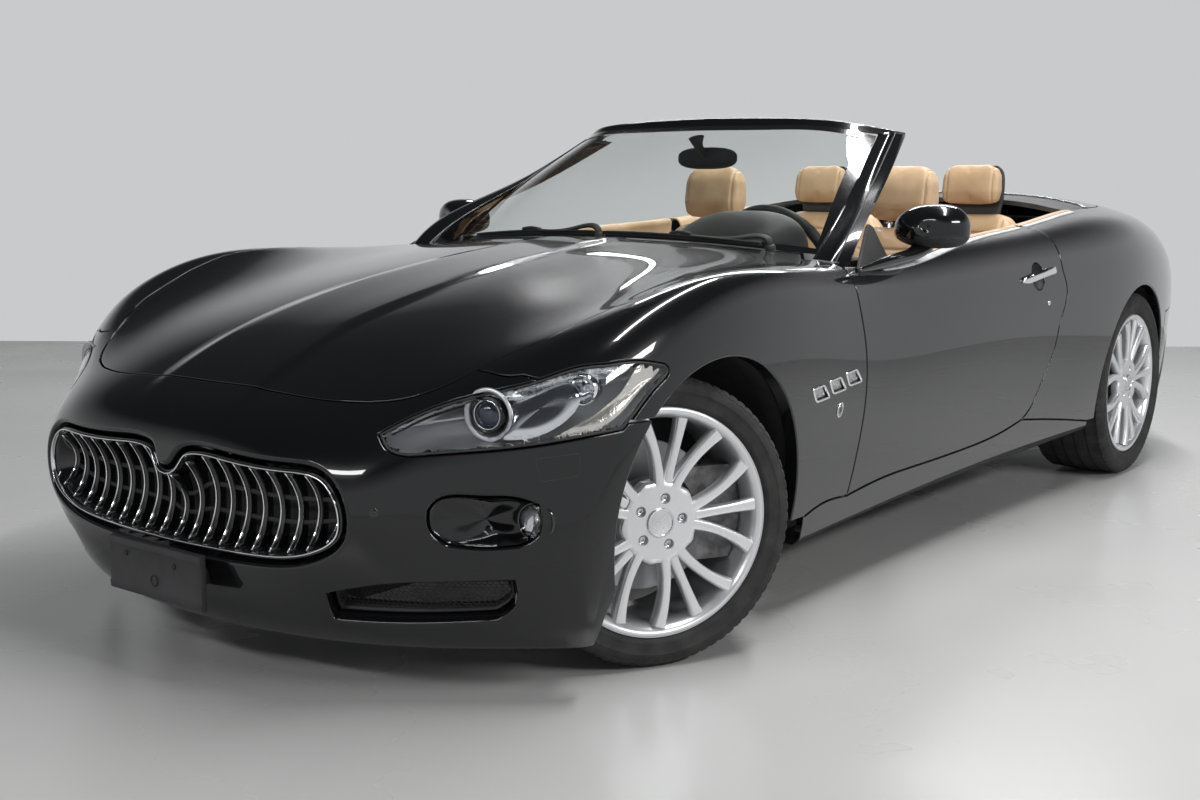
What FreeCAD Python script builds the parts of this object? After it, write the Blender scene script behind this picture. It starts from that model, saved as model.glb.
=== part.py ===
# Open two-door touring car with four seats, built from its real panels.
# Millimetres, +Z up, the ground at zero. The nose faces -Y and the car's left side is +X.
import FreeCAD, Part
import math
import os
import re
import Sketcher

doc = FreeCAD.newDocument("touring_car")
sheet = doc.addObject("Spreadsheet::Sheet", "sizes")

SIZES = [
    # Whole car
    ("wheelbase", 2942, "between the axles"),
    ("front_overhang", 873, "nose to front axle"),
    ("rear_overhang", 1066, "rear axle to tail"),
    ("half_width", 957.5, "centre to the widest point of the wings"),
    ("deck_height", 1030, "ground to the belt at the rear of the cabin"),
    ("skirt_height", 120, "ground to the lowest turned-in edge of the body"),
    ("skirt_tuck", 30, "how far that edge turns in"),
    # Panels
    ("panel_wall", 24, "wing, bonnet and bumper with their inner frame"),
    ("panel_gap", 6, "gap round a moving panel"),
    ("seat_fit", 0.3, "clearance between pieces that seat on each other"),
    ("overrun", 200, "how far a cutter passes its work"),
    ("grille_lip", 14, "black lip between the mouth's edge and the bright surround"),
    ("surround_width", 11, "bright surround of the mouth"),
    ("slat_pitch", 54, "between two slats of the mouth"),
    ("slat_wall", 7, "one slat"),
    ("slat_depth", 70, "one slat, front to back"),
    ("slat_hollow", 46, "how far a slat's edge curves in at mid height"),
    ("mesh_pitch", 34, "between the bars of the lower intakes"),
    ("mesh_wall", 5, "one bar of the lower intakes"),
    ("plate_half_width", 172, "number plate bracket"),
    ("exhaust_radius", 38, "one tail pipe"),
    ("exhaust_wall", 4, "one tail pipe"),
    ("handle_radius", 62, "bowl behind a door handle"),
    ("handle_wall", 11, "bar of a door handle, half across"),
    ("latch_room", 8.4, "slot beyond a latch pin, the ways that its panel moves"),
    # Wheels
    ("front_wheel_inset", 164.5, "widest point of the body to front wheel centre"),
    ("rear_wheel_inset", 162.5, "widest point of the body to rear wheel centre"),
    ("front_tyre_radius", 340, "front tyre, under load"),
    ("rear_tyre_radius", 354, "rear tyre, under load"),
    ("front_tyre_width", 245, "front tyre section"),
    ("rear_tyre_width", 285, "rear tyre section"),
    ("rim_radius", 270, "edge of the rim flange"),
    ("rim_wall", 9, "rim barrel wall"),
    ("bead_radius", 252, "tyre seat on the rim"),
    ("hub_radius", 98, "wheel centre with its bolt circle"),
    ("hub_bore_radius", 33.5, "centre bore of the wheel"),
    ("bolt_circle_radius", 57, "wheel centre to a bolt"),
    ("bolt_radius", 13, "pocket of a wheel bolt"),
    ("group_count", 5, "groups of spokes round a wheel, three spokes each"),
    ("spoke_width", 19, "one spoke"),
    ("spoke_depth", 26, "one spoke, along the axle"),
    ("dish", 16, "spokes set in from the rim's outer edge"),
    ("disc_radius", 178, "brake disc"),
    ("disc_wall", 30, "brake disc"),
    ("brake_gap", 7, "disc to caliper and caliper to rim"),
    ("arch_gap", 38, "tyre to the edge of its arch"),
    ("steer_angle", 28, "how far the front wheels are turned to the right"),
    ("kingpin_inset", 150, "kingpin to front wheel centre"),
    ("kingpin_radius", 36, "upright boss that a hub carrier turns on"),
    ("shaft_gap", 0.6, "a shaft or latch pin to its bore or slot"),
    # Cabin
    ("floor_wall", 36, "floor and bulkheads"),
    ("door_wall", 110, "door, skin to trim"),
    ("door_clearance", 12, "door trim to the cabin's fixed parts"),
    ("glass_wall", 7, "windscreen"),
    ("seat_half_width", 252, "front seat"),
    ("wheel_grip_radius", 15, "steering wheel rim, half across"),
    ("wheel_ring_radius", 180, "steering wheel, to the middle of its rim"),
]

for row, (alias, value, note) in enumerate(SIZES, start=1):
    sheet.set("A%d" % row, alias)
    sheet.set("B%d" % row, str(value))
    sheet.set("C%d" % row, note)
    sheet.setAlias("B%d" % row, alias)
doc.recompute()
NAMES = [alias for alias, value, note in SIZES]
X_AXIS = FreeCAD.Vector(1, 0, 0)
Y_AXIS = FreeCAD.Vector(0, 1, 0)
Z_AXIS = FreeCAD.Vector(0, 0, 1)
ORIGIN = FreeCAD.Vector(0, 0, 0)


def size(alias):
    return float(sheet.get(alias))


def bound(text):
    """The text with each size's name as the sheet's own reference."""
    def own(word):
        return "sizes." + word.group() if word.group() in NAMES else word.group()

    return re.sub(r"[a-z_]+", own, text)


def bind(item, prop, text):
    item.setExpression(prop, bound(text))


half_length = (size("front_overhang") + size("wheelbase") + size("rear_overhang")) / 2
half_width = size("half_width")
deck_height = size("deck_height")
front_axle = size("front_overhang") - half_length
rear_axle = half_length - size("rear_overhang")
overrun = size("overrun")
panel_gap = size("panel_gap")
fit = size("seat_fit")
SIDE = half_width + overrun
TOP = deck_height + overrun


def place(x_share, y_share, z_share):
    """A point of the car from shares of its half width, half length and deck height."""
    return FreeCAD.Vector(x_share * half_width, y_share * half_length, z_share * deck_height)


# The body's control net: sections from the front lip to the rear lip, each from
# the centre line over the crest of the wing and down the side to the sill.
BODY_SHARES = [
    # lip
    [(0.000, -0.9719, 0.146), (0.193, -0.9695, 0.146), (0.376, -0.9568, 0.146),
     (0.531, -0.9363, 0.147), (0.660, -0.9096, 0.149), (0.770, -0.8793, 0.151),
     (0.858, -0.8515, 0.155), (0.916, -0.8310, 0.158), (0.945, -0.8187, 0.160),
     (0.950, -0.8105, 0.161)],
    # chin
    [(0.000, -0.9826, 0.243), (0.198, -0.9818, 0.243), (0.386, -0.9752, 0.241),
     (0.543, -0.9527, 0.236), (0.672, -0.9203, 0.228), (0.780, -0.8871, 0.219),
     (0.869, -0.8564, 0.207), (0.927, -0.8334, 0.196), (0.955, -0.8195, 0.184),
     (0.955, -0.8093, 0.165)],
    # mouth
    [(0.000, -0.9908, 0.408), (0.204, -0.9916, 0.408), (0.402, -0.9916, 0.406),
     (0.585, -0.9834, 0.396), (0.677, -0.9240, 0.374), (0.792, -0.8924, 0.350),
     (0.883, -0.8597, 0.311), (0.940, -0.8343, 0.267), (0.963, -0.8179, 0.221),
     (0.959, -0.8072, 0.167)],
    # brow
    [(0.000, -0.9801, 0.563), (0.198, -0.9801, 0.565), (0.392, -0.9773, 0.559),
     (0.572, -0.9609, 0.544), (0.691, -0.9129, 0.536), (0.809, -0.8789, 0.524),
     (0.903, -0.8482, 0.476), (0.956, -0.8236, 0.388), (0.971, -0.8105, 0.272),
     (0.963, -0.8031, 0.175)],
    # nose
    [(0.000, -0.9219, 0.636), (0.196, -0.9211, 0.641), (0.386, -0.9146, 0.641),
     (0.548, -0.8982, 0.643), (0.698, -0.8748, 0.670), (0.825, -0.8461, 0.694),
     (0.924, -0.8195, 0.650), (0.971, -0.8052, 0.515), (0.982, -0.7990, 0.335),
     (0.966, -0.7949, 0.180)],
    # lamp top
    [(0.000, -0.8318, 0.743), (0.198, -0.8277, 0.748), (0.397, -0.8195, 0.742),
     (0.564, -0.8093, 0.735), (0.710, -0.7970, 0.748), (0.836, -0.7847, 0.783),
     (0.948, -0.7765, 0.796), (1.005, -0.7736, 0.631), (0.994, -0.7736, 0.369),
     (0.969, -0.7736, 0.184)],
    # front wheel
    [(0.000, -0.6421, 0.843), (0.209, -0.6421, 0.847), (0.418, -0.6421, 0.837),
     (0.595, -0.6421, 0.830), (0.752, -0.6421, 0.843), (0.873, -0.6421, 0.867),
     (0.980, -0.6421, 0.920), (1.028, -0.6421, 0.757), (1.009, -0.6421, 0.427),
     (0.977, -0.6421, 0.194)],
    # behind front wheel
    [(0.000, -0.4712, 0.898), (0.209, -0.4712, 0.898), (0.418, -0.4712, 0.888),
     (0.595, -0.4712, 0.871), (0.752, -0.4712, 0.872), (0.875, -0.4712, 0.880),
     (0.975, -0.4712, 0.885), (1.003, -0.4712, 0.694), (0.979, -0.4712, 0.417),
     (0.956, -0.4712, 0.194)],
    # screen foot
    [(0.000, -0.3073, 0.940), (0.240, -0.3073, 0.937), (0.470, -0.3073, 0.922),
     (0.648, -0.3073, 0.901), (0.773, -0.3073, 0.885), (0.877, -0.3073, 0.879),
     (0.945, -0.3073, 0.825), (0.969, -0.3073, 0.650), (0.961, -0.3073, 0.398),
     (0.940, -0.3073, 0.194)],
    # door
    [(0.000, -0.0410, 0.922), (0.261, -0.0410, 0.922), (0.501, -0.0410, 0.922),
     (0.689, -0.0410, 0.917), (0.815, -0.0410, 0.911), (0.888, -0.0410, 0.898),
     (0.945, -0.0410, 0.825), (0.969, -0.0410, 0.660), (0.945, -0.0410, 0.408),
     (0.930, -0.0410, 0.194)],
    # door end
    [(0.000, 0.2254, 0.937), (0.261, 0.2254, 0.937), (0.501, 0.2254, 0.937),
     (0.689, 0.2254, 0.934), (0.825, 0.2254, 0.930), (0.898, 0.2254, 0.920),
     (0.956, 0.2254, 0.845), (0.982, 0.2254, 0.670), (0.956, 0.2254, 0.408),
     (0.935, 0.2254, 0.194)],
    # cabin end
    [(0.000, 0.4098, 1.010), (0.261, 0.4098, 1.010), (0.501, 0.4098, 1.005),
     (0.679, 0.4098, 0.985), (0.804, 0.4098, 0.974), (0.903, 0.4098, 0.961),
     (0.977, 0.4098, 0.874), (1.008, 0.4098, 0.680), (0.992, 0.4098, 0.417),
     (0.956, 0.4098, 0.199)],
    # rear wheel
    [(0.000, 0.5737, 1.060), (0.261, 0.5737, 1.060), (0.501, 0.5737, 1.050),
     (0.668, 0.5737, 1.021), (0.794, 0.5737, 0.992), (0.909, 0.5737, 0.971),
     (0.992, 0.5737, 0.879), (1.018, 0.5737, 0.699), (1.008, 0.5737, 0.437),
     (0.971, 0.5737, 0.194)],
    # deck
    [(0.000, 0.7376, 1.053), (0.261, 0.7376, 1.050), (0.491, 0.7376, 1.039),
     (0.648, 0.7376, 1.016), (0.757, 0.7376, 0.990), (0.862, 0.7376, 0.946),
     (0.940, 0.7376, 0.850), (0.969, 0.7376, 0.689), (0.963, 0.7376, 0.456),
     (0.935, 0.7376, 0.218)],
    # tail crest
    [(0.000, 0.9219, 1.015), (0.251, 0.9178, 1.010), (0.449, 0.9076, 0.992),
     (0.590, 0.8953, 0.966), (0.700, 0.8810, 0.934), (0.799, 0.8625, 0.893),
     (0.877, 0.8400, 0.825), (0.917, 0.8236, 0.704), (0.911, 0.8154, 0.485),
     (0.883, 0.8093, 0.238)],
    # tail edge
    [(0.000, 0.9588, 0.932), (0.251, 0.9547, 0.927), (0.449, 0.9424, 0.913),
     (0.601, 0.9260, 0.888), (0.715, 0.9076, 0.856), (0.799, 0.8871, 0.816),
     (0.867, 0.8646, 0.759), (0.900, 0.8482, 0.670), (0.894, 0.8359, 0.476),
     (0.865, 0.8257, 0.248)],
    # tail
    [(0.000, 0.9952, 0.738), (0.251, 0.9911, 0.733), (0.460, 0.9732, 0.723),
     (0.611, 0.9527, 0.704), (0.719, 0.9301, 0.680), (0.796, 0.9076, 0.649),
     (0.848, 0.8851, 0.610), (0.875, 0.8687, 0.553), (0.873, 0.8543, 0.437),
     (0.848, 0.8420, 0.254)],
    # tail bulge
    [(0.000, 1.0096, 0.544), (0.251, 1.0053, 0.539), (0.460, 0.9875, 0.534),
     (0.614, 0.9670, 0.524), (0.715, 0.9445, 0.510), (0.789, 0.9219, 0.490),
     (0.838, 0.8994, 0.461), (0.863, 0.8810, 0.417), (0.861, 0.8646, 0.350),
     (0.842, 0.8502, 0.259)],
    # tail lip
    [(0.000, 0.9793, 0.254), (0.251, 0.9760, 0.254), (0.449, 0.9629, 0.254),
     (0.606, 0.9445, 0.254), (0.705, 0.9240, 0.254), (0.775, 0.9035, 0.254),
     (0.825, 0.8851, 0.254), (0.852, 0.8695, 0.254), (0.856, 0.8593, 0.254),
     (0.838, 0.8502, 0.256)],
]


def body_poles(inset):
    """The whole control net, both sides, with a turned-in edge all round, moved in by inset."""
    low = size("skirt_height")
    tuck_x = 1 - size("skirt_tuck") / half_width
    tuck_y = 1 - size("skirt_tuck") / half_length

    def turned_in(point):
        return FreeCAD.Vector(point.x * tuck_x, point.y * tuck_y, low)

    half = [[place(*point) for point in row] for row in BODY_SHARES]
    front = [turned_in(point) for point in half[0]]
    rear = [turned_in(point) for point in half[-1]]
    for row in half:
        row.append(turned_in(row[-1]))
    for end, first, second in ((front, half[0], half[1]), (rear, half[-1], half[-2])):
        corner = end[-1]
        end[-1] = (end[-2] + corner) / 2
        first[-1] = (first[-1] + second[-1]) / 2
        end.append(corner)
    half = [front] + half + [rear]
    whole = []
    for row in half:
        other = [FreeCAD.Vector(-point.x, point.y, point.z) for point in reversed(row[1:])]
        whole.append(other + row)
    if not inset:
        return whole
    last_row = len(whole) - 1
    last_column = len(whole[0]) - 1
    moved = []
    for i, row in enumerate(whole):
        line = []
        for j, point in enumerate(row):
            along = whole[min(i + 1, last_row)][j] - whole[max(i - 1, 0)][j]
            across = row[min(j + 1, last_column)] - row[max(j - 1, 0)]
            normal = across.cross(along)
            if normal.Length:
                normal.normalize()
            if i in (0, last_row) or j in (0, last_column):
                normal.z = 0
            line.append(point - normal * inset)
        moved.append(line)
    return moved


def clamped(count, degree):
    """Knots and their multiplicities of a clamped uniform curve."""
    spans = count - degree
    knots = [float(step) for step in range(spans + 1)]
    repeats = [degree + 1] + [1] * (spans - 1) + [degree + 1]
    return knots, repeats


def body_solid(inset=0):
    """The car's closed outer form, moved in by inset."""
    poles = body_poles(inset)
    degree = 3
    row_knots, row_repeats = clamped(len(poles), degree)
    column_knots, column_repeats = clamped(len(poles[0]), degree)
    skin = Part.BSplineSurface()
    skin.buildFromPolesMultsKnots(poles, row_repeats, column_repeats, row_knots, column_knots,
                                  False, False, degree, degree)
    face = skin.toShape()
    bottom = Part.Face(Part.Wire(Part.__sortEdges__(face.Edges)))
    solid = Part.Solid(Part.Shell([face, bottom]))
    if solid.Volume < 0:
        solid.reverse()
    return solid


REDRAW_POINTS = 14


def edge_of(points):
    """A straight edge through two points, a smooth one through more."""
    if len(points) == 2:
        return Part.LineSegment(points[0], points[1]).toShape()
    curve = Part.BSplineCurve()
    curve.interpolate(points)
    return curve.toShape()


def outline_face(runs, spot):
    """A flat face from runs of share pairs; spot turns a pair into a point."""
    edges = [edge_of([spot(*pair) for pair in run]) for run in runs]
    for index, run in enumerate(runs):
        start = runs[(index + 1) % len(runs)][0]
        if run[-1] != start:
            edges.append(edge_of([spot(*run[-1]), spot(*start)]))
    return Part.Face(Part.Wire(Part.__sortEdges__(edges)))


def shrunk(face, gap):
    """The face with its outline moved in by gap, its smooth edges redrawn as plain splines."""
    if not gap:
        return face
    edges = []
    for edge in face.makeOffset2D(-gap).OuterWire.OrderedEdges:
        if edge.Curve.TypeId == "Part::GeomLine":
            edges.append(edge_of([edge.firstVertex(True).Point, edge.lastVertex(True).Point]))
        else:
            edges.append(edge_of(edge.discretize(Number=REDRAW_POINTS)))
    return Part.Face(Part.Wire(Part.__sortEdges__(edges)))


def side_prism(runs, inner, outer, gap=0):
    """Cutter along X from pairs of length share and height share."""
    face = outline_face(runs, lambda y, z: FreeCAD.Vector(inner, y * half_length, z * deck_height))
    return shrunk(face, gap).extrude(X_AXIS * (outer - inner))


def plan_prism(runs, low, high, gap=0):
    """Cutter along Z from pairs of width share and length share."""
    face = outline_face(runs, lambda x, y: FreeCAD.Vector(x * half_width, y * half_length, low))
    return shrunk(face, gap).extrude(Z_AXIS * (high - low))


def front_prism(runs, near, far, gap=0):
    """Cutter along Y from pairs of width share and height share."""
    face = outline_face(runs, lambda x, z: FreeCAD.Vector(x * half_width, near, z * deck_height))
    return shrunk(face, gap).extrude(Y_AXIS * (far - near))


def block(low, high):
    """A block between two places, each a triple of shares."""
    start = place(*low)
    span = place(*high) - start
    return Part.makeBox(span.x, span.y, span.z, start)


def loft(sections):
    """A solid with flat facets through closed polygons, each a list of share triples."""
    rings = [[place(*corner) for corner in section] for section in sections]
    count = len(rings[0])
    facets = []
    for ring, following in zip(rings, rings[1:]):
        for index in range(count):
            after = (index + 1) % count
            facets.append((ring[index], ring[after], following[after]))
            facets.append((ring[index], following[after], following[index]))
    for ring in (rings[0], rings[-1]):
        for index in range(1, count - 1):
            facets.append((ring[0], ring[index], ring[index + 1]))
    faces = [Part.Face(Part.makePolygon([a, b, c, a])) for a, b, c in facets]
    solid = Part.Solid(Part.Shell(faces))
    if solid.Volume < 0:
        solid.reverse()
    return solid


def mirrored(shape):
    return shape.mirror(ORIGIN, X_AXIS)


def both_sides(runs):
    """Left-hand runs, closed by their mirror image."""
    other = [[(-pair[0], pair[1]) for pair in reversed(run)] for run in reversed(runs)]
    return runs + other


def straight(corners):
    """Runs of straight lines through the corners."""
    return [[corner, corners[(index + 1) % len(corners)]] for index, corner in enumerate(corners)]


PIECES = []


def piece(label, shape):
    item = doc.addObject("Part::Feature", label)
    item.Label = label
    item.Shape = shape
    PIECES.append(item)


def largest(shape):
    """The shape's biggest solid, without slivers."""
    return max(shape.Solids, key=lambda solid: solid.Volume)


MASS = body_solid()
INNER = body_solid(size("panel_wall"))
SHELL = MASS.cut(INNER)

# Shutlines. Seen from above: pairs of width share and length share.
HOOD_SHARES = [
    [(0.0, -0.927), (0.209, -0.927), (0.418, -0.922), (0.501, -0.913)],
    [(0.501, -0.913), (0.564, -0.901), (0.621, -0.883), (0.684, -0.849), (0.731, -0.819), (0.768, -0.797),
     (0.802, -0.758), (0.836, -0.717), (0.865, -0.676), (0.888, -0.635), (0.900, -0.594), (0.904, -0.533),
     (0.902, -0.452)],
    [(0.902, -0.452), (0.800, -0.370), (0.686, -0.296)],
    [(0.686, -0.296), (0.595, -0.319), (0.399, -0.338), (0.0, -0.353)],
]
CABIN_SHARES = [
    [(0.0, -0.353), (0.399, -0.338), (0.595, -0.319), (0.686, -0.296), (0.800, -0.350), (0.900, -0.350)],
    [(0.900, -0.350), (0.903, -0.242), (0.872, -0.080), (0.815, 0.105), (0.782, 0.300), (0.755, 0.480)],
    [(0.755, 0.480), (0.600, 0.498), (0.0, 0.503)],
]
TONNEAU_SHARES = [
    [(0.0, 0.506), (0.600, 0.501), (0.742, 0.488)],
    [(0.742, 0.488), (0.738, 0.590), (0.700, 0.668), (0.640, 0.712)],
    [(0.640, 0.712), (0.400, 0.722), (0.0, 0.726)],
]
TRUNK_SHARES = [
    [(0.0, 0.729), (0.400, 0.725), (0.645, 0.716)],
    [(0.645, 0.716), (0.640, 0.780), (0.610, 0.880), (0.560, 1.1)],
    [(0.560, 1.1), (0.0, 1.1)],
]
# Seen from the side: pairs of length share and height share.
DOOR_FRONT_SHARES = [(-0.356, 0.920), (-0.354, 0.774), (-0.344, 0.669), (-0.338, 0.558), (-0.344, 0.430),
                     (-0.362, 0.269)]
DOOR_BOTTOM_SHARES = [(-0.362, 0.269), (-0.271, 0.284), (-0.187, 0.285), (-0.036, 0.287), (0.081, 0.304),
                      (0.138, 0.325)]
DOOR_REAR_SHARES = [(0.138, 0.325), (0.161, 0.354), (0.192, 0.443), (0.221, 0.542), (0.235, 0.640),
                    (0.2555, 0.732), (0.249, 0.780), (0.246, 0.920)]
DOOR_SHARES = [
    DOOR_FRONT_SHARES,
    DOOR_BOTTOM_SHARES,
    DOOR_REAR_SHARES,
    [(0.246, 0.920), (0.246, 1.0)],
    [(0.246, 1.0), (-0.356, 1.0)],
    [(-0.356, 1.0), (-0.356, 0.920)],
]
LAMP_SPLIT_SHARES = [(-0.7335, 0.5915), (-0.767, 0.590), (-0.818, 0.5890)]
FENDER_SHARES = [
    [(-0.356, 1.0), (-0.356, 0.920)],
    DOOR_FRONT_SHARES,
    [(-0.362, 0.269), (-0.430, 0.270), (-0.462, 0.253)],
    [(-0.462, 0.253), (-0.7335, 0.253)],
    [(-0.7335, 0.253), (-0.7335, 0.5915)],
    LAMP_SPLIT_SHARES,
    [(-0.818, 0.5890), (-0.848, 0.690)],
    [(-0.848, 0.690), (-0.848, 1.0)],
]
BUMPER_SHARES = [
    [(-1.2, 0.150), (-0.7335, 0.150)],
    [(-0.7335, 0.150), (-0.7335, 0.5915)],
    LAMP_SPLIT_SHARES,
    [(-0.818, 0.5890), (-0.848, 0.690)],
    [(-0.848, 0.690), (-0.848, 1.0)],
    [(-0.848, 1.0), (-1.2, 1.0)],
]
SILL_SHARES = [
    [(-0.462, 0.253), (-0.430, 0.270), (-0.362, 0.269)],
    DOOR_BOTTOM_SHARES,
    [(0.138, 0.325), (0.230, 0.300), (0.385, 0.250)],
    [(0.385, 0.250), (0.385, 0.160)],
    [(0.385, 0.160), (-0.462, 0.160)],
]
REAR_SPLIT_SHARES = [(0.730, 0.590), (0.800, 0.600), (0.870, 0.640)]
QUARTER_SHARES = [
    [(0.246, 1.2), (0.246, 0.920)],
    list(reversed(DOOR_REAR_SHARES)),
    [(0.138, 0.325), (0.230, 0.300), (0.385, 0.250)],
    [(0.385, 0.250), (0.730, 0.250)],
    [(0.730, 0.250), (0.730, 0.590)],
    REAR_SPLIT_SHARES,
    [(0.870, 0.640), (1.1, 0.640)],
    [(1.1, 0.640), (1.1, 1.2)],
]
REAR_BUMPER_SHARES = [
    [(0.730, 0.150), (0.730, 0.590)],
    REAR_SPLIT_SHARES,
    [(0.870, 0.640), (1.1, 0.640)],
    [(1.1, 0.640), (1.1, 0.150)],
]
VENT_SHARES = [(-0.473, 0.5815), (-0.446, 0.587), (-0.430, 0.5505), (-0.462, 0.545)]
VENT_STEP_SHARES = (0.0390, 0.0105)
# Seen from the front: pairs of width share and height share.
MOUTH_SHARES = [
    [(0.0, 0.467), (0.030, 0.478), (0.068, 0.512)],
    [(0.068, 0.512), (0.399, 0.511), (0.519, 0.496), (0.568, 0.438), (0.562, 0.358), (0.500, 0.315),
     (0.307, 0.282), (0.0, 0.274)],
]
INTAKE_SHARES = [
    [(0.480, 0.196), (0.488, 0.238)],
    [(0.488, 0.238), (0.628, 0.268), (0.730, 0.273), (0.842, 0.278)],
    [(0.842, 0.278), (0.838, 0.225), (0.801, 0.192)],
    [(0.801, 0.192), (0.640, 0.180), (0.480, 0.176)],
]
FOG_SHARES = [
    [(0.699, 0.424), (0.711, 0.444), (0.785, 0.452), (0.848, 0.448), (0.880, 0.434)],
    [(0.880, 0.434), (0.886, 0.401), (0.882, 0.371), (0.852, 0.349)],
    [(0.852, 0.349), (0.785, 0.345), (0.730, 0.352)],
    [(0.730, 0.352), (0.705, 0.378), (0.699, 0.424)],
]
TAIL_LAMP_SHARES = [
    [(0.560, 0.700), (0.720, 0.705), (0.860, 0.745)],
    [(0.860, 0.745), (0.900, 0.790), (0.860, 0.812)],
    [(0.860, 0.812), (0.700, 0.806), (0.575, 0.785)],
]
# The headlamp seen square on: share across from the car's corner, and height share.
LAMP_SHARES = [
    [(-0.534, 0.573), (-0.500, 0.605), (-0.434, 0.647), (-0.362, 0.680), (-0.318, 0.705), (-0.286, 0.710)],
    [(-0.286, 0.710), (-0.250, 0.713), (-0.220, 0.702)],
    [(-0.220, 0.702), (-0.215, 0.690), (-0.230, 0.654), (-0.256, 0.601), (-0.270, 0.575)],
    [(-0.270, 0.575), (-0.300, 0.568), (-0.365, 0.551), (-0.445, 0.537), (-0.500, 0.530)],
    [(-0.500, 0.530), (-0.525, 0.545), (-0.534, 0.573)],
]
lamp_angle = 40
lamp_across = FreeCAD.Vector(math.cos(math.radians(lamp_angle)), math.sin(math.radians(lamp_angle)), 0)
lamp_out = FreeCAD.Vector(math.sin(math.radians(lamp_angle)), -math.cos(math.radians(lamp_angle)), 0)


def arch_cutter(axle, radius):
    """Left-hand wheel arch: a round opening that widens towards the ground."""
    inner = half_width / 2
    hub = size("front_tyre_radius")
    drum = Part.makeCylinder(radius, SIDE - inner, FreeCAD.Vector(inner, axle, hub), X_AXIS)
    foot = radius + hub / 8
    corners = [FreeCAD.Vector(inner, axle - radius, hub), FreeCAD.Vector(inner, axle + radius, hub),
               FreeCAD.Vector(inner, axle + foot, 0), FreeCAD.Vector(inner, axle - foot, 0)]
    legs = Part.Face(Part.makePolygon(corners + corners[:1])).extrude(X_AXIS * (SIDE - inner))
    return drum.fuse(legs)


def lamp_prism(gap=0):
    """Cutter for the headlamp, square to the car's corner."""
    start = lamp_out * (half_width * 1.5)
    face = outline_face(LAMP_SHARES, lambda a, z: lamp_across * (a * half_length * 0.79) + start
                        + Z_AXIS * (z * deck_height))
    return shrunk(face, gap).extrude(lamp_out * (half_length / 2))


hood_full = plan_prism(both_sides(HOOD_SHARES), deck_height / 2, TOP)
hood_tool = plan_prism(both_sides(HOOD_SHARES), deck_height / 2, TOP, panel_gap)
lamp_left = lamp_prism()
lamps = lamp_left.fuse(mirrored(lamp_left))
arch_front = arch_cutter(front_axle, size("front_tyre_radius") + size("arch_gap"))
arch_rear = arch_cutter(rear_axle, size("rear_tyre_radius") + size("arch_gap") * 0.8)

# Latch pins stand in slots of their panels, close only across the way the panel swings.
shaft_gap = size("shaft_gap")


def slot_for(pin, across, room):
    """The space round a latch pin: a shaft gap along one axis, room along the others."""
    box = pin.BoundBox
    spare = FreeCAD.Vector(room, room, room)
    spare = spare - across * (room - shaft_gap)
    span = FreeCAD.Vector(box.XLength, box.YLength, box.ZLength) + spare * 2
    start = FreeCAD.Vector(box.XMin, box.YMin, box.ZMin) - spare
    return Part.makeBox(span.x, span.y, span.z, start)


latch_room = size("latch_room")
hood_pin = block((-0.0125, -0.9315, 0.604), (0.0125, -0.9210, 0.618))
trunk_pin = block((0.020, 0.9895, 0.6450), (0.045, 0.9936, 0.6780))
tonneau_pin = block((-0.0125, 0.509, 0.920), (0.0125, 0.517, 1.020))
door_pin = block((0.950, 0.2215, 0.5765), (0.962, 0.2325, 0.5880))
door_slot = slot_for(door_pin, Z_AXIS, latch_room)
door_slot = door_slot.fuse(door_slot.translated(X_AXIS * (-half_width * 0.12)))
piece("hood", largest(SHELL.common(hood_tool).cut(slot_for(hood_pin, X_AXIS, latch_room))))

vents = []
for step in range(3):
    along, up = VENT_STEP_SHARES
    corners = [(y + along * step, z + up * step) for y, z in VENT_SHARES]
    vents.append(side_prism(straight(corners), half_width * 0.8, SIDE))
fender = SHELL.common(side_prism(FENDER_SHARES, half_width * 0.62, SIDE))
fender = largest(fender.cut([hood_full, lamp_left, arch_front] + vents))
piece("fender_left", fender)
piece("fender_right", mirrored(fender))

bumper = SHELL.common(side_prism(BUMPER_SHARES, -SIDE, SIDE, fit))
nose = -half_length - overrun
mouth = front_prism(both_sides(MOUTH_SHARES), nose, -half_length * 0.8, size("grille_lip") - fit)
intake = front_prism(INTAKE_SHARES, nose, -half_length * 0.75)
fog = front_prism(FOG_SHARES, nose, -half_length * 0.7)
front_cuts = [hood_full, lamps, arch_front, mirrored(arch_front), mouth, intake, mirrored(intake), fog,
              mirrored(fog)]
piece("front_bumper", largest(bumper.cut(front_cuts).fuse(hood_pin)))

door_lip = half_width * 0.93
door_inner = half_width - size("door_wall") * 1.5
cabin = plan_prism(both_sides(CABIN_SHARES), deck_height * 0.62, TOP)
door_skin = side_prism(DOOR_SHARES, door_lip, SIDE, panel_gap)
door_core = side_prism(DOOR_SHARES, door_inner, door_lip, panel_gap * 3)
foot_room = block((0.80, -0.37, 0.86), (0.905, -0.29, 1.2))
door = MASS.common(door_skin.fuse(door_core)).cut([cabin, foot_room])
bowl = Part.makeSphere(size("handle_radius"), place(0.9995, 0.1615, 0.791))
bar_start = place(0.9755, 0.106, 0.779)
bar_end = place(0.9775, 0.214, 0.806)
bar = Part.makeCylinder(size("handle_wall"), (bar_end - bar_start).Length, bar_start, bar_end - bar_start)
door = door.cut([bowl, door_slot]).fuse(bar)
door = largest(door)
piece("door_left", door)
piece("door_right", mirrored(door))

sill = MASS.common(side_prism(SILL_SHARES, door_inner, SIDE, fit))
sill = largest(sill.cut([arch_front, arch_rear]))
piece("sill_left", sill)
piece("sill_right", mirrored(sill))

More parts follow.
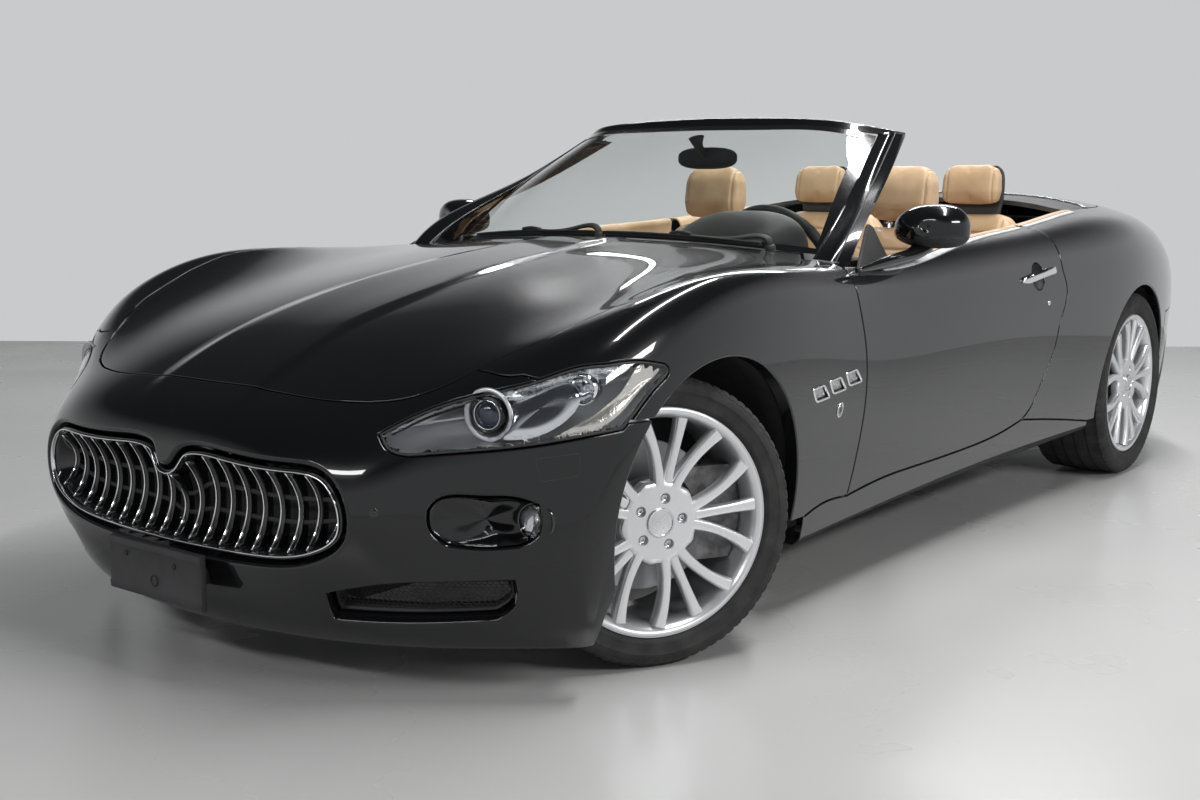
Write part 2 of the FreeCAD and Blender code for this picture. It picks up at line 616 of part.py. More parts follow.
trunk_full = plan_prism(both_sides(TRUNK_SHARES), deck_height * 0.66, TOP)
trunk_tool = plan_prism(both_sides(TRUNK_SHARES), deck_height * 0.66, TOP, panel_gap)
trunk_slot = slot_for(trunk_pin, X_AXIS, latch_room)
trunk_slot = trunk_slot.fuse(trunk_slot.translated(Y_AXIS * (-size("panel_wall") / 2)))
piece("trunk_lid", largest(SHELL.common(trunk_tool).cut([trunk_slot, mirrored(trunk_slot)])))
tonneau_full = plan_prism(both_sides(TONNEAU_SHARES), deck_height / 2, TOP)
tonneau_tool = plan_prism(both_sides(TONNEAU_SHARES), deck_height / 2, TOP, panel_gap)
tonneau = SHELL.common(tonneau_tool).cut(slot_for(tonneau_pin, X_AXIS, latch_room))
piece("tonneau_cover", largest(tonneau))

tail = half_length + overrun
tail_full = front_prism(TAIL_LAMP_SHARES, half_length * 0.8, tail)
tail_lamp = SHELL.common(front_prism(TAIL_LAMP_SHARES, half_length * 0.8, tail, fit * 3)).cut(trunk_full)
quarter = SHELL.common(side_prism(QUARTER_SHARES, 0, SIDE, fit))
quarter = quarter.cut([trunk_full, tonneau_full, cabin, arch_rear, tail_full])
quarter = largest(quarter.fuse([trunk_pin, door_pin]))
piece("quarter_left", quarter)
piece("quarter_right", mirrored(quarter))
rear = SHELL.common(side_prism(REAR_BUMPER_SHARES, -SIDE, SIDE, fit))
outlets = [Part.makeCylinder(size("exhaust_radius") * 1.2, half_length, place(side * x, 0.6, 0.245), Y_AXIS)
           for side in (-1, 1) for x in (0.50, 0.61)]
rear = largest(rear.cut([arch_rear, mirrored(arch_rear), trunk_full] + outlets))
piece("rear_bumper", rear)
piece("tail_lamps", Part.makeCompound([largest(tail_lamp), mirrored(largest(tail_lamp))]))
lamp = largest(SHELL.common(lamp_prism(fit * 3)))
piece("headlamp_left", lamp)
piece("headlamp_right", mirrored(lamp))

# The mouth: a bright surround just inside the bumper's skin and upright slats whose edges curve in.
ring_back = -half_length * 0.93
lip = size("grille_lip")
ring = front_prism(both_sides(MOUTH_SHARES), nose, ring_back, lip)
ring = ring.cut(front_prism(both_sides(MOUTH_SHARES), nose, ring_back, lip + size("surround_width")))
throat = front_prism(both_sides(MOUTH_SHARES), nose, ring_back, lip + size("surround_width") / 2)
slat_face = -half_length * 0.968
low_edge = deck_height * 0.26
high_edge = deck_height * 0.52
hollow = edge_of([FreeCAD.Vector(0, slat_face, low_edge),
                  FreeCAD.Vector(0, slat_face + size("slat_hollow"), (low_edge + high_edge) / 2),
                  FreeCAD.Vector(0, slat_face, high_edge)])
back = slat_face + size("slat_depth")
rest = Part.makePolygon([FreeCAD.Vector(0, slat_face, high_edge), FreeCAD.Vector(0, back, high_edge),
                         FreeCAD.Vector(0, back, low_edge), FreeCAD.Vector(0, slat_face, low_edge)])
slat = Part.Face(Part.Wire(Part.__sortEdges__([hollow] + rest.Edges))).extrude(X_AXIS * size("slat_wall"))
slats = []
for step in range(-9, 10):
    copy = slat.copy()
    copy.translate(X_AXIS * (step * size("slat_pitch") - size("slat_wall") / 2))
    slats.append(copy)
slats = Part.makeCompound(slats).common(throat)
grille = ring.fuse(slats.Solids).common(INNER)
piece("grille", largest(grille))

# Lower intakes: a frame with crossed bars, and the lamp of each upper recess beside it.
mesh = intake.common(INNER)
DEEP = body_solid(size("panel_wall") * 1.6)
mesh_layer = largest(mesh.cut(DEEP))

windows = []
room = mesh_layer.BoundBox
pitch = size("mesh_pitch")
bar_wall = size("mesh_wall")
rim_share = 0.35
columns = int(room.XLength / pitch)
rows = int(room.ZLength / pitch)
for column in range(columns):
    for line in range(rows):
        corner = FreeCAD.Vector(room.XMin + (column + rim_share) * pitch, nose,
                                room.ZMin + (line + rim_share) * pitch)
        windows.append(Part.makeBox(pitch - bar_wall, half_length, pitch - bar_wall, corner))
mesh_layer = largest(mesh_layer.cut(windows))
fog_body = fog.common(INNER)
fog_body = largest(fog_body.cut(DEEP))
intakes = [mesh_layer, mirrored(mesh_layer), fog_body, mirrored(fog_body)]
piece("lower_grille", Part.makeCompound(intakes))

# Number plate bracket, bare, ahead of the nose
plate_half = size("plate_half_width")
plate = Part.makeBox(plate_half * 2, half_length * 0.1, deck_height * 0.125,
                     FreeCAD.Vector(-plate_half, -half_length, deck_height * 0.165))
piece("plate_bracket", largest(plate.cut(MASS)))


def role_plane(body, role):
    """One of the body's own origin planes."""
    return [item for item in body.Origin.OriginFeatures if item.Role == role][0]


def value_of(text):
    """What a text of sizes comes to."""
    return float(sheet.evalExpression(bound(text)))


def profile(body, name, role, corners):
    """A closed sketch whose corners are pairs of texts bound to the sizes."""
    sketch = body.newObject("Sketcher::SketchObject", name)
    sketch.AttachmentSupport = [(role_plane(body, role), "")]
    sketch.MapMode = "FlatFace"
    spots = [FreeCAD.Vector(value_of(across), value_of(up), 0) for across, up in corners]
    count = len(spots)
    for index, spot in enumerate(spots):
        sketch.addGeometry(Part.LineSegment(spot, spots[(index + 1) % count]), False)
    for index in range(count):
        sketch.addConstraint(Sketcher.Constraint("Coincident", index, 2, (index + 1) % count, 1))
    for index, (across, up) in enumerate(corners):
        spot = spots[index]
        for kind, text, number in (("DistanceX", across, spot.x), ("DistanceY", up, spot.y)):
            item = sketch.addConstraint(Sketcher.Constraint(kind, -1, 1, index, 1, number))
            sketch.renameConstraint(item, "%s%d" % (kind, index))
            sketch.setExpression("Constraints.%s%d" % (kind, index), bound(text))
    return sketch


def revolved(body, name, corners, kind="PartDesign::Revolution"):
    """A ring turned about the body's own Z from corners in its XZ plane."""
    sketch = profile(body, name + "_profile", "XZ_Plane", corners)
    ring = body.newObject(kind, name)
    ring.Profile = sketch
    ring.ReferenceAxis = (sketch, ["V_Axis"])
    ring.Angle = 360
    return ring


def swing():
    """The turn that the steering puts on a front wheel."""
    return FreeCAD.Rotation(Z_AXIS, -size("steer_angle"))


def wheel_place(side, axle, radius, inset, steered):
    """Where a wheel stands, its own Z pointing out of the car."""
    turn = FreeCAD.Rotation(Z_AXIS, X_AXIS * side)
    spot = FreeCAD.Vector(side * (half_width - inset), axle, radius)
    if not steered:
        return FreeCAD.Placement(spot, turn)
    kingpin = FreeCAD.Vector(side * (half_width - inset - size("kingpin_inset")), axle, 0)
    steer = FreeCAD.Placement(ORIGIN, swing(), kingpin)
    return steer.multiply(FreeCAD.Placement(spot, turn))


def make_tyre(label, end, spot):
    body = doc.addObject("PartDesign::Body", label)
    body.Label = label
    radius = end + "_tyre_radius"
    half = end + "_tyre_width / 2"
    bead = "bead_radius + seat_fit"
    flange = "rim_radius + seat_fit"
    side_wall = "bead_radius + (%s - bead_radius) * 0.6" % radius
    shoulder = "bead_radius + (%s - bead_radius) * 0.94" % radius
    corners = [(bead, "-(%s * 0.87)" % half), (flange, "-(%s * 0.87)" % half), (side_wall, "-(%s)" % half),
               (shoulder, "-(%s * 0.9)" % half), (radius, "-(%s * 0.74)" % half),
               (radius, "%s * 0.74" % half), (shoulder, "%s * 0.9" % half), (side_wall, half),
               (flange, "%s * 0.87" % half), (bead, "%s * 0.87" % half)]
    revolved(body, label + "_ring", corners)
    body.Placement = spot
    PIECES.append(body)


# A group of spokes: a straight one between two that bow away from it. Shares of the way
# from the hub to the barrel, and how far the middle line has then turned, in degrees.
BOW_SHARES = [(0.0, 13.0), (0.3, 15.5), (0.65, 19.5), (1.0, 24.0)]


def spoke_corners(side):
    """Corners, in the wheel's plane, of the bowed spoke on one side of its group."""
    root = "(hub_radius * 0.92)"
    reach = "(bead_radius - rim_wall / 2 - %s)" % root
    near, far = [], []
    for share, turn in BOW_SHARES:
        radius = "(%s + %s * %s)" % (root, reach, share)
        for corners, way in ((near, -1), (far, 1)):
            across = "(%s * sin(%s) + %d * spoke_width / 2 * cos(%s))" % (radius, turn, way, turn)
            up = "(%s * cos(%s) - %d * spoke_width / 2 * sin(%s))" % (radius, turn, way, turn)
            corners.append(("%d * %s" % (side, across), up))
    return near + far[::-1]


def pad(body, name, sketch, length):
    """A pad of a sketch that lies in the wheel's plane, outwards."""
    item = body.newObject("PartDesign::Pad", name)
    item.Profile = sketch
    bind(item, "Length", length)
    return item


def ring_of(body, name, feature, count):
    """Copies of a feature all round the wheel."""
    doc.recompute()
    ring = body.newObject("PartDesign::PolarPattern", name)
    ring.Originals = [feature]
    ring.Axis = (role_plane(body, "Z_Axis"), [""])
    ring.Angle = 360
    bind(ring, "Occurrences", count)
    body.Tip = ring
    return ring


def make_rim(label, end, spot):
    body = doc.addObject("PartDesign::Body", label)
    body.Label = label
    half = end + "_tyre_width / 2"
    face = "(%s - dish)" % half
    corners = [("rim_radius", "-(%s * 0.95)" % half), ("rim_radius", "-(%s * 0.88)" % half),
               ("bead_radius", "-(%s * 0.88)" % half), ("bead_radius", "%s * 0.88" % half),
               ("rim_radius", "%s * 0.88" % half), ("rim_radius", "%s * 0.95" % half),
               ("bead_radius - rim_wall", "%s * 0.88" % half),
               ("bead_radius - rim_wall", "-(%s * 0.88)" % half)]
    revolved(body, label + "_barrel", corners)
    back = "(%s - spoke_depth * 2.3)" % face
    crown = "(%s - spoke_depth * 0.2)" % face
    shoulder = "(%s - spoke_depth * 0.5)" % face
    hub = [("hub_bore_radius", back), ("hub_radius", back), ("hub_radius", shoulder),
           ("hub_radius * 0.9", crown), ("hub_bore_radius", crown)]
    revolved(body, label + "_hub", hub)
    for side, name in ((1, "left"), (-1, "right")):
        sketch = profile(body, "%s_%s_profile" % (label, name), "XY_Plane", spoke_corners(side))
        bind(sketch, "AttachmentOffset.Base.z", "%s - spoke_depth * 1.2" % face)
        spoke = pad(body, "%s_%s" % (label, name), sketch, "spoke_depth * 1.2")
        ring_of(body, "%s_%s_ring" % (label, name), spoke, "group_count")
    tall = "(bead_radius - rim_wall / 2)"
    middle = [("-(spoke_width * 0.45)", "hub_radius * 0.92"), ("spoke_width * 0.45", "hub_radius * 0.92"),
              ("spoke_width * 0.45", tall), ("-(spoke_width * 0.45)", tall)]
    sketch = profile(body, label + "_middle_profile", "XY_Plane", middle)
    bind(sketch, "AttachmentOffset.Base.z", "%s - spoke_depth * 1.4" % face)
    spoke = pad(body, label + "_middle", sketch, "spoke_depth")
    ring_of(body, label + "_middle_ring", spoke, "group_count")
    beyond = "(%s + dish * 0.2)" % face
    hollow = [("hub_radius * 0.9", crown), (tall, face), (tall, beyond), ("hub_radius * 0.9", beyond)]
    revolved(body, label + "_dish", hollow, "PartDesign::Groove")
    disc_top = "(%s - spoke_depth * 3.4)" % face
    disc_low = "(%s - disc_wall)" % disc_top
    seat = "(%s + rim_wall)" % back
    disc = [("hub_bore_radius", disc_low), ("disc_radius", disc_low), ("disc_radius", disc_top),
            ("hub_radius * 0.8", disc_top), ("hub_radius * 0.8", seat), ("hub_bore_radius", seat)]
    revolved(body, label + "_disc", disc)
    near = "bolt_circle_radius - bolt_radius"
    far = "bolt_circle_radius + bolt_radius"
    corners = [("-(bolt_radius)", near), ("bolt_radius", near), ("bolt_radius", far), ("-(bolt_radius)", far)]
    lug = profile(body, label + "_lug_profile", "XY_Plane", corners)
    bind(lug, "AttachmentOffset.Base.z", "%s - spoke_depth * 0.8" % face)
    pocket = body.newObject("PartDesign::Pocket", label + "_lug")
    pocket.Profile = lug
    pocket.Reversed = True
    bind(pocket, "Length", "spoke_depth")
    ring_of(body, label + "_lugs", pocket, "group_count")
    body.Placement = spot
    PIECES.append(body)


WHEELS = [
    ("front_left", 1, front_axle, "front", True), ("front_right", -1, front_axle, "front", True),
    ("rear_left", 1, rear_axle, "rear", False), ("rear_right", -1, rear_axle, "rear", False),
]
WHEEL_SPOTS = {}
for name, side, axle, end, steered in WHEELS:
    spot = wheel_place(side, axle, size(end + "_tyre_radius"), size(end + "_wheel_inset"), steered)
    WHEEL_SPOTS[name] = spot
    make_tyre("tyre_" + name, end, spot)
    make_rim("rim_" + name, end, spot)


def upright(end):
    """Hub carrier with its caliper, in the wheel's own frame."""
    half = size(end + "_tyre_width") / 2
    inset = size("kingpin_inset")
    face = half - size("dish")
    disc_top = face - size("spoke_depth") * 3.4
    disc_low = disc_top - size("disc_wall")
    gap = size("brake_gap")
    stub_length = inset + face - size("spoke_depth")
    stub_radius = size("hub_bore_radius") - size("shaft_gap")
    stub = Part.makeCylinder(stub_radius, stub_length, ORIGIN - Z_AXIS * inset)
    boss_radius = size("kingpin_radius")
    boss_half = size("hub_radius") * 0.55
    boss_foot = ORIGIN - Z_AXIS * inset - X_AXIS * boss_half
    boss = Part.makeCylinder(boss_radius, boss_half * 2, boss_foot, X_AXIS)
    carrier_start = boss_radius * 1.2 - inset
    carrier_length = disc_low - gap - carrier_start
    carrier = Part.makeCylinder(size("hub_radius") * 0.7, carrier_length, Z_AXIS * carrier_start)
    low = disc_low - gap - size("disc_wall") * 0.8
    high = disc_top + gap + size("disc_wall") * 0.7
    outer = size("bead_radius") - size("rim_wall") - gap
    cup = Part.makeCylinder(outer, high - low, Z_AXIS * low)
    cup = cup.cut(Part.makeCylinder(size("disc_radius") * 0.66, high - low, Z_AXIS * low))
    slot_width = size("disc_wall") + gap * 2
    slot = Part.makeCylinder(size("disc_radius") + gap, slot_width, Z_AXIS * (disc_low - gap))
    # The wheel's own frame: X points down on the left and up on the right, Y along the car.
    reach = outer * 2
    wedge = Part.makeBox(outer * 0.95, reach, reach, FreeCAD.Vector(-outer * 0.475, outer * 0.1, -outer))
    caliper = cup.cut(slot).common(wedge)
    low_end = Part.makeBox(outer * 0.4, size("disc_radius"), size("disc_wall") * 0.6,
                           FreeCAD.Vector(-outer * 0.2, 0, disc_low - gap - size("disc_wall") * 0.6))
    return largest(stub.fuse([boss, carrier, caliper, low_end]))


knuckle = {}
for name, side, axle, end, steered in WHEELS:
    shape = upright(end)
    shape.Placement = WHEEL_SPOTS[name]
    knuckle[name] = shape
piece("knuckle_front_left", knuckle["front_left"])
piece("knuckle_front_right", knuckle["front_right"])

# Running gear and floor
rail = half_width * 0.44
cabin_half = door_inner - size("door_clearance")
cabin_share = cabin_half / half_width
wall_share = size("floor_wall") / deck_height
floor_share = 0.19
deck_share = floor_share + wall_share
boot_share = 0.305
boot_top_share = boot_share + wall_share
FLOOR_SHARES = straight([
    (-0.90, floor_share), (0.33, floor_share), (0.38, boot_share), (0.90, boot_share),
    (0.90, boot_top_share), (0.37, boot_top_share), (0.32, deck_share), (-0.90, deck_share)])
floor = side_prism(FLOOR_SHARES, -rail, rail)
CABIN_FLOOR_SHARES = straight([
    (-0.38, floor_share), (0.33, floor_share), (0.355, 0.2475), (0.345, 0.2475 + wall_share * 0.8),
    (0.32, deck_share), (-0.38, deck_share)])
cabin_floor = side_prism(CABIN_FLOOR_SHARES, fit - door_inner, door_inner - fit)
under_skin = INNER.translated(Z_AXIS * -fit)
fire = block((-cabin_share, -0.352, 0.21), (cabin_share, -0.338, 0.84))
fire_top = block((-0.36, -0.352, 0.83), (0.36, -0.338, 0.95)).common(under_skin)
fire_top = largest(fire_top.cut(hood_full))
bulk = block((-0.655, 0.508, 0.31), (0.655, 0.520, 0.93))
boot = block((-0.655, 0.505, boot_share), (0.655, 0.88, boot_top_share))
rear_step = block((-0.655, 0.37, boot_share), (0.655, 0.51, boot_top_share))
floor_parts = [cabin_floor, fire, fire_top, bulk, boot, rear_step, tonneau_pin]
underbody = floor.fuse(floor_parts).removeSplitter()
piece("underbody", underbody)

engine = doc.addObject("Part::Box", "engine_block")
engine.Label = "engine_block"
bind(engine, "Length", "half_width * 0.54")
bind(engine, "Width", "(front_overhang + wheelbase + rear_overhang) * 0.19")
bind(engine, "Height", "deck_height * 0.44")
bind(engine, "Placement.Base.x", "-(half_width * 0.27)")
bind(engine, "Placement.Base.y", "-((front_overhang + wheelbase + rear_overhang) * 0.39)")
bind(engine, "Placement.Base.z", "deck_height * 0.22 + floor_wall + seat_fit")
PIECES.append(engine)


def suspension(axle, end, low, beam_high):
    """A cross beam with an upper and a lower arm to each hub carrier."""
    inset = half_width - size(end + "_wheel_inset") - size("kingpin_inset")
    hub = size(end + "_tyre_radius")
    arm = size("rim_wall") * 2
    carrier = size("hub_radius") * 0.7
    beam = Part.makeBox(rail * 2, carrier * 2, beam_high - low, FreeCAD.Vector(-rail, axle - carrier, low))
    tower_top = hub + carrier * 1.6
    arms = []
    for side in (-1, 1):
        tower = Part.makeBox(arm * 2, carrier * 2, tower_top - low,
                             FreeCAD.Vector(side * (rail - arm) - arm, axle - carrier, low))
        arms.append(tower)
        for level in (hub - carrier * 0.5, hub + carrier * 0.5):
            for fore in (-0.7, 0.7):
                start = FreeCAD.Vector(side * (rail - arm), axle + carrier * fore, level)
                tip = FreeCAD.Vector(side * inset, axle, level)
                arms.append(Part.makeCylinder(arm / 2, (tip - start).Length, start, tip - start))
    return beam.fuse(arms)


front = suspension(front_axle, "front", deck_height * deck_share + fit, deck_height * (deck_share + 0.03))
kingpin = half_width - size("front_wheel_inset") - size("kingpin_inset")
boss_room = size("kingpin_radius") + shaft_gap
bosses = [Part.makeCylinder(boss_room, deck_height, FreeCAD.Vector(side * kingpin, front_axle, 0))
          for side in (-1, 1)]
front = front.cut(bosses + [knuckle["front_left"], knuckle["front_right"]])
piece("front_axle", largest(front))
rear_arms = suspension(rear_axle, "rear", deck_height * 0.20, deck_height * boot_share - fit)
boot_low_share = boot_share - fit / deck_height
rear_arms = rear_arms.fuse([knuckle["rear_left"], knuckle["rear_right"]])
rear_arms = rear_arms.cut(underbody.fuse(block((-0.66, 0.36, boot_low_share), (0.66, 0.9, 0.345))))
piece("rear_axle", largest(rear_arms))

# Silencer under the boot floor, with four tail pipes
pipes = []
for side in (-1, 1):
    for x in (0.50, 0.61):
        start = place(side * x, 0.72, 0.245)
        outer = Part.makeCylinder(size("exhaust_radius"), half_length * 0.2, start, Y_AXIS)
        bore = Part.makeCylinder(size("exhaust_radius") - size("exhaust_wall"), half_length * 0.18,
                                 place(side * x, 0.74, 0.245), Y_AXIS)
        pipes.append(outer.cut(bore))
silencer = block((-0.64, 0.70, 0.20), (0.64, 0.735, boot_low_share))
piece("exhaust", silencer.fuse(pipes).removeSplitter())

# Seats: a side profile drawn across, side bolsters and a head restraint.
SEAT_PAN_SHARES = [
    [(-0.130, 0.405), (-0.115, 0.462), (-0.080, 0.470)],
    [(-0.080, 0.470), (0.030, 0.445), (0.110, 0.440)],
    [(0.110, 0.440), (0.150, 0.330)],
    [(0.150, 0.330), (-0.110, 0.345), (-0.130, 0.405)],
]
SEAT_BACK_SHARES = [
    [(0.105, 0.400), (0.128, 0.600), (0.158, 0.800), (0.172, 0.930)],
    [(0.172, 0.930), (0.186, 0.946), (0.202, 0.925)],
    [(0.202, 0.925), (0.206, 0.700), (0.190, 0.450)],
    [(0.190, 0.450), (0.150, 0.360)],
    [(0.150, 0.360), (0.105, 0.400)],
]
HEAD_SHARES = [
    [(0.166, 0.965), (0.172, 1.080), (0.186, 1.140)],
    [(0.186, 1.140), (0.205, 1.150), (0.216, 1.120)],
    [(0.216, 1.120), (0.214, 1.030), (0.204, 0.960)],
]
BOLSTER_SHARES = [
    [(-0.115, 0.430), (-0.080, 0.505), (0.060, 0.500)],
    [(0.060, 0.500), (0.095, 0.560), (0.122, 0.720), (0.140, 0.850)],
    [(0.140, 0.850), (0.170, 0.860)],
    [(0.170, 0.860), (0.160, 0.650), (0.130, 0.400)],
    [(0.130, 0.400), (-0.080, 0.380), (-0.115, 0.430)],
]
base_low = deck_share + fit / deck_height
seat_mid = half_width * 0.385


def front_seat(middle, slide):
    half = size("seat_half_width")
    shapes = [side_prism(SEAT_PAN_SHARES, middle - half, middle + half),
              side_prism(SEAT_BACK_SHARES, middle - half, middle + half),
              side_prism(HEAD_SHARES, middle - half * 0.46, middle + half * 0.46)]
    for side in (-1, 1):
        edge = middle + side * half
        shapes.append(side_prism(BOLSTER_SHARES, min(edge, edge - side * half * 0.26),
                                 max(edge, edge - side * half * 0.26)))
        post_foot = place(0, 0.187, 0.90) + X_AXIS * (middle + side * half * 0.2)
        shapes.append(Part.makeCylinder(size("wheel_grip_radius") / 2, deck_height * 0.12, post_foot))
    foot = Part.makeBox(half * 1.5, half_length * 0.2, deck_height * (0.36 - base_low),
                        FreeCAD.Vector(middle - half * 0.75, -half_length * 0.08, deck_height * base_low))
    seat = shapes[0].fuse(shapes[1:] + [foot])
    seat.translate(Y_AXIS * (slide * half_length))
    return largest(seat)


piece("seat_left", front_seat(seat_mid, 0.012))
piece("seat_right", front_seat(-seat_mid, -0.034))

rear_low = boot_top_share + fit / deck_height
REAR_PAN_SHARES = [
    [(0.290, 0.400), (0.300, 0.455), (0.330, 0.462)],
    [(0.330, 0.462), (0.420, 0.448), (0.470, 0.470)],
    [(0.470, 0.470), (0.480, rear_low)],
    [(0.480, rear_low), (0.360, rear_low)],
    [(0.360, rear_low), (0.300, 0.352)],
    [(0.300, 0.352), (0.290, 0.400)],
]
REAR_BACK_SHARES = [
    [(0.430, 0.430), (0.445, 0.650), (0.462, 0.860), (0.468, 0.955)],
    [(0.468, 0.955), (0.485, 0.985), (0.498, 0.960)],
    [(0.498, 0.960), (0.500, rear_low)],
    [(0.500, rear_low), (0.430, 0.430)],
]
REAR_HEAD_SHARES = [
    [(0.455, 1.000), (0.458, 1.100), (0.468, 1.155)],
    [(0.468, 1.155), (0.482, 1.165), (0.494, 1.130)],
    [(0.494, 1.130), (0.494, 1.040), (0.486, 0.960)],
]
rear_half = half_width * 0.60
rear_shapes = [side_prism(REAR_BACK_SHARES, -rear_half, rear_half)]
for side in (-1, 1):
    low = min(side * rear_half * 0.14, side * rear_half)
    rear_shapes.append(side_prism(REAR_PAN_SHARES, low, low + rear_half * 0.86))
    middle = side * half_width * 0.353
    head_half = size("seat_half_width") * 0.46
    rear_shapes.append(side_prism(REAR_HEAD_SHARES, middle - head_half, middle + head_half))
piece("rear_seats", largest(rear_shapes[0].fuse(rear_shapes[1:])))

CONSOLE_SHARES = [
    [(-0.265, base_low), (-0.265, 0.640)],
    [(-0.265, 0.640), (-0.235, 0.640), (-0.180, 0.560), (-0.120, 0.520)],
    [(-0.120, 0.520), (0.000, 0.520), (0.090, 0.560)],
    [(0.090, 0.560), (0.105, 0.500), (0.108, base_low)],
]
tunnel = side_prism(CONSOLE_SHARES, -half_width * 0.105, half_width * 0.105)
lever = Part.makeCylinder(size("wheel_grip_radius"), deck_height * 0.09, place(0, -0.095, 0.50))
piece("console", tunnel.fuse(lever))

# Dashboard: one profile across, the driver's instrument hood and the passenger's shelf.
DASH_SHARES = [
    [(-0.334, 0.700), (-0.334, 0.870)],
    [(-0.334, 0.870), (-0.315, 0.885), (-0.280, 0.905), (-0.245, 0.905)],
    [(-0.245, 0.905), (-0.222, 0.880), (-0.222, 0.820)],
    [(-0.222, 0.820), (-0.238, 0.720), (-0.268, 0.660)],
    [(-0.268, 0.660), (-0.300, 0.660), (-0.334, 0.700)],
]
COWL_SHARES = [
    [(-0.300, 0.850), (-0.285, 0.940), (-0.250, 0.990), (-0.215, 1.000)],
    [(-0.215, 1.000), (-0.205, 0.985)],
    [(-0.205, 0.985), (-0.222, 0.900), (-0.222, 0.850)],
]
dash = side_prism(DASH_SHARES, -cabin_half, cabin_half)
hood_mid = half_width * 0.36
cowl = side_prism(COWL_SHARES, hood_mid - half_width * 0.215, hood_mid + half_width * 0.215)
crown_radius = half_width * 0.26
crown_middle = place(0.36, -0.34, 1.005) - Z_AXIS * crown_radius
cowl = largest(cowl.common(Part.makeCylinder(crown_radius, half_length * 0.2, crown_middle, Y_AXIS)))
mouth_radius = half_width * 0.19
mouth_middle = place(0.36, -0.245, 0.975) - Z_AXIS * mouth_radius
dial_mouth = Part.makeCylinder(mouth_radius, half_length * 0.055, mouth_middle, Y_AXIS)
dial_mouth = dial_mouth.common(block((0, -0.25, 0.80), (1, -0.19, 1.1)))

grip = Part.makeTorus(size("wheel_ring_radius"), size("wheel_grip_radius"))
ring_radius = size("wheel_ring_radius")
boss = Part.makeCylinder(ring_radius * 0.38, ring_radius * 0.25, Z_AXIS * (-ring_radius * 0.16))
arms = []
for turn in (0, 90, 180):
    arm = Part.makeBox(ring_radius * 0.98, ring_radius * 0.18, ring_radius * 0.07,
                       FreeCAD.Vector(0, -ring_radius * 0.09, -ring_radius * 0.04))
    arm.rotate(ORIGIN, Z_AXIS, turn)
    arms.append(arm)
column_radius = ring_radius * 0.17
column = Part.makeCylinder(column_radius, ring_radius * 1.36, Z_AXIS * (-ring_radius * 1.40))
steering = grip.fuse([boss, column] + arms)
wheel_lean = FreeCAD.Rotation(X_AXIS, -65)
steering_spot = FreeCAD.Placement(place(0.38, -0.150, 0.845), wheel_lean)
steering.Placement = steering_spot
piece("steering_wheel", steering)
shroud = Part.makeCylinder(column_radius * 1.5, ring_radius * 1.15, Z_AXIS * (-ring_radius * 1.50))
shroud.Placement = steering_spot
bore = Part.makeCylinder(column_radius + shaft_gap, ring_radius * 1.45, Z_AXIS * (-ring_radius * 1.45))
bore.Placement = steering_spot

# Screen
SCREEN_SHARES = [
    [(0.0, -0.3352, 0.914), (0.313, -0.3278, 0.910), (0.585, -0.3053, 0.894), (0.771, -0.2856, 0.878)],
    [(0.0, -0.2295, 1.097), (0.292, -0.2245, 1.093), (0.543, -0.2110, 1.078), (0.702, -0.1864, 1.053)],
    [(0.0, -0.1074, 1.262), (0.272, -0.1024, 1.260), (0.501, -0.0881, 1.250), (0.611, -0.0615, 1.225)],
]
PILLAR_SHARES = [
    [(0.770, -0.3520, 0.840), (0.836, -0.3500, 0.840), (0.880, -0.3220, 0.840), (0.776, -0.2700, 0.840)],
    [(0.766, -0.3160, 0.902), (0.836, -0.3260, 0.893), (0.878, -0.3080, 0.885), (0.776, -0.2620, 0.885)],
    [(0.692, -0.1840, 1.068), (0.742, -0.1860, 1.064), (0.785, -0.1730, 1.056), (0.715, -0.1500, 1.052)],
    [(0.600, -0.0500, 1.236), (0.642, -0.0450, 1.238), (0.650, -0.0050, 1.232), (0.590, 0.0000, 1.226)],
]
HEADER_SHARES = [
    [(0.640, -0.0450, 1.228), (0.640, -0.0330, 1.244), (0.640, 0.0000, 1.240), (0.640, -0.0100, 1.222)],
    [(0.501, -0.0881, 1.246), (0.501, -0.0780, 1.272), (0.501, -0.0480, 1.268), (0.501, -0.0560, 1.242)],
    [(0.272, -0.1024, 1.256), (0.272, -0.0930, 1.286), (0.272, -0.0640, 1.282), (0.272, -0.0720, 1.254)],
    [(0.0, -0.1074, 1.258), (0.0, -0.0985, 1.290), (0.0, -0.0700, 1.286), (0.0, -0.0780, 1.256)],
]


def mirrored_sections(sections):
    return [[(-x, y, z) for x, y, z in section] for section in reversed(sections[:-1])]


def tube(points, radius):
    """A round bar along a smooth line through triples of shares."""
    spots = [place(*point) for point in points]
    line = edge_of(spots)
    ring = Part.Wire(Part.makeCircle(radius, spots[0], line.tangentAt(line.FirstParameter)))
    return Part.Wire([line]).makePipeShell([ring], True, True)


screen_rows = []
for row in SCREEN_SHARES:
    left = [place(*point) for point in row]
    screen_rows.append([FreeCAD.Vector(-point.x, point.y, point.z) for point in reversed(left[1:])] + left)
skin = Part.BSplineSurface()
skin.interpolate(screen_rows)
glass_wall = size("glass_wall")
screen = skin.toShape().extrude(FreeCAD.Vector(0, glass_wall * 0.83, -glass_wall * 0.55))
screen = largest(screen.cut(MASS))
pillar = loft(PILLAR_SHARES[1:]).fuse(loft(PILLAR_SHARES[:2]))
header = loft(HEADER_SHARES + mirrored_sections(HEADER_SHARES))
frame = pillar.fuse([mirrored(pillar), header])
piece("windscreen", screen)
piece("windscreen_frame", largest(frame.cut([MASS, screen])))

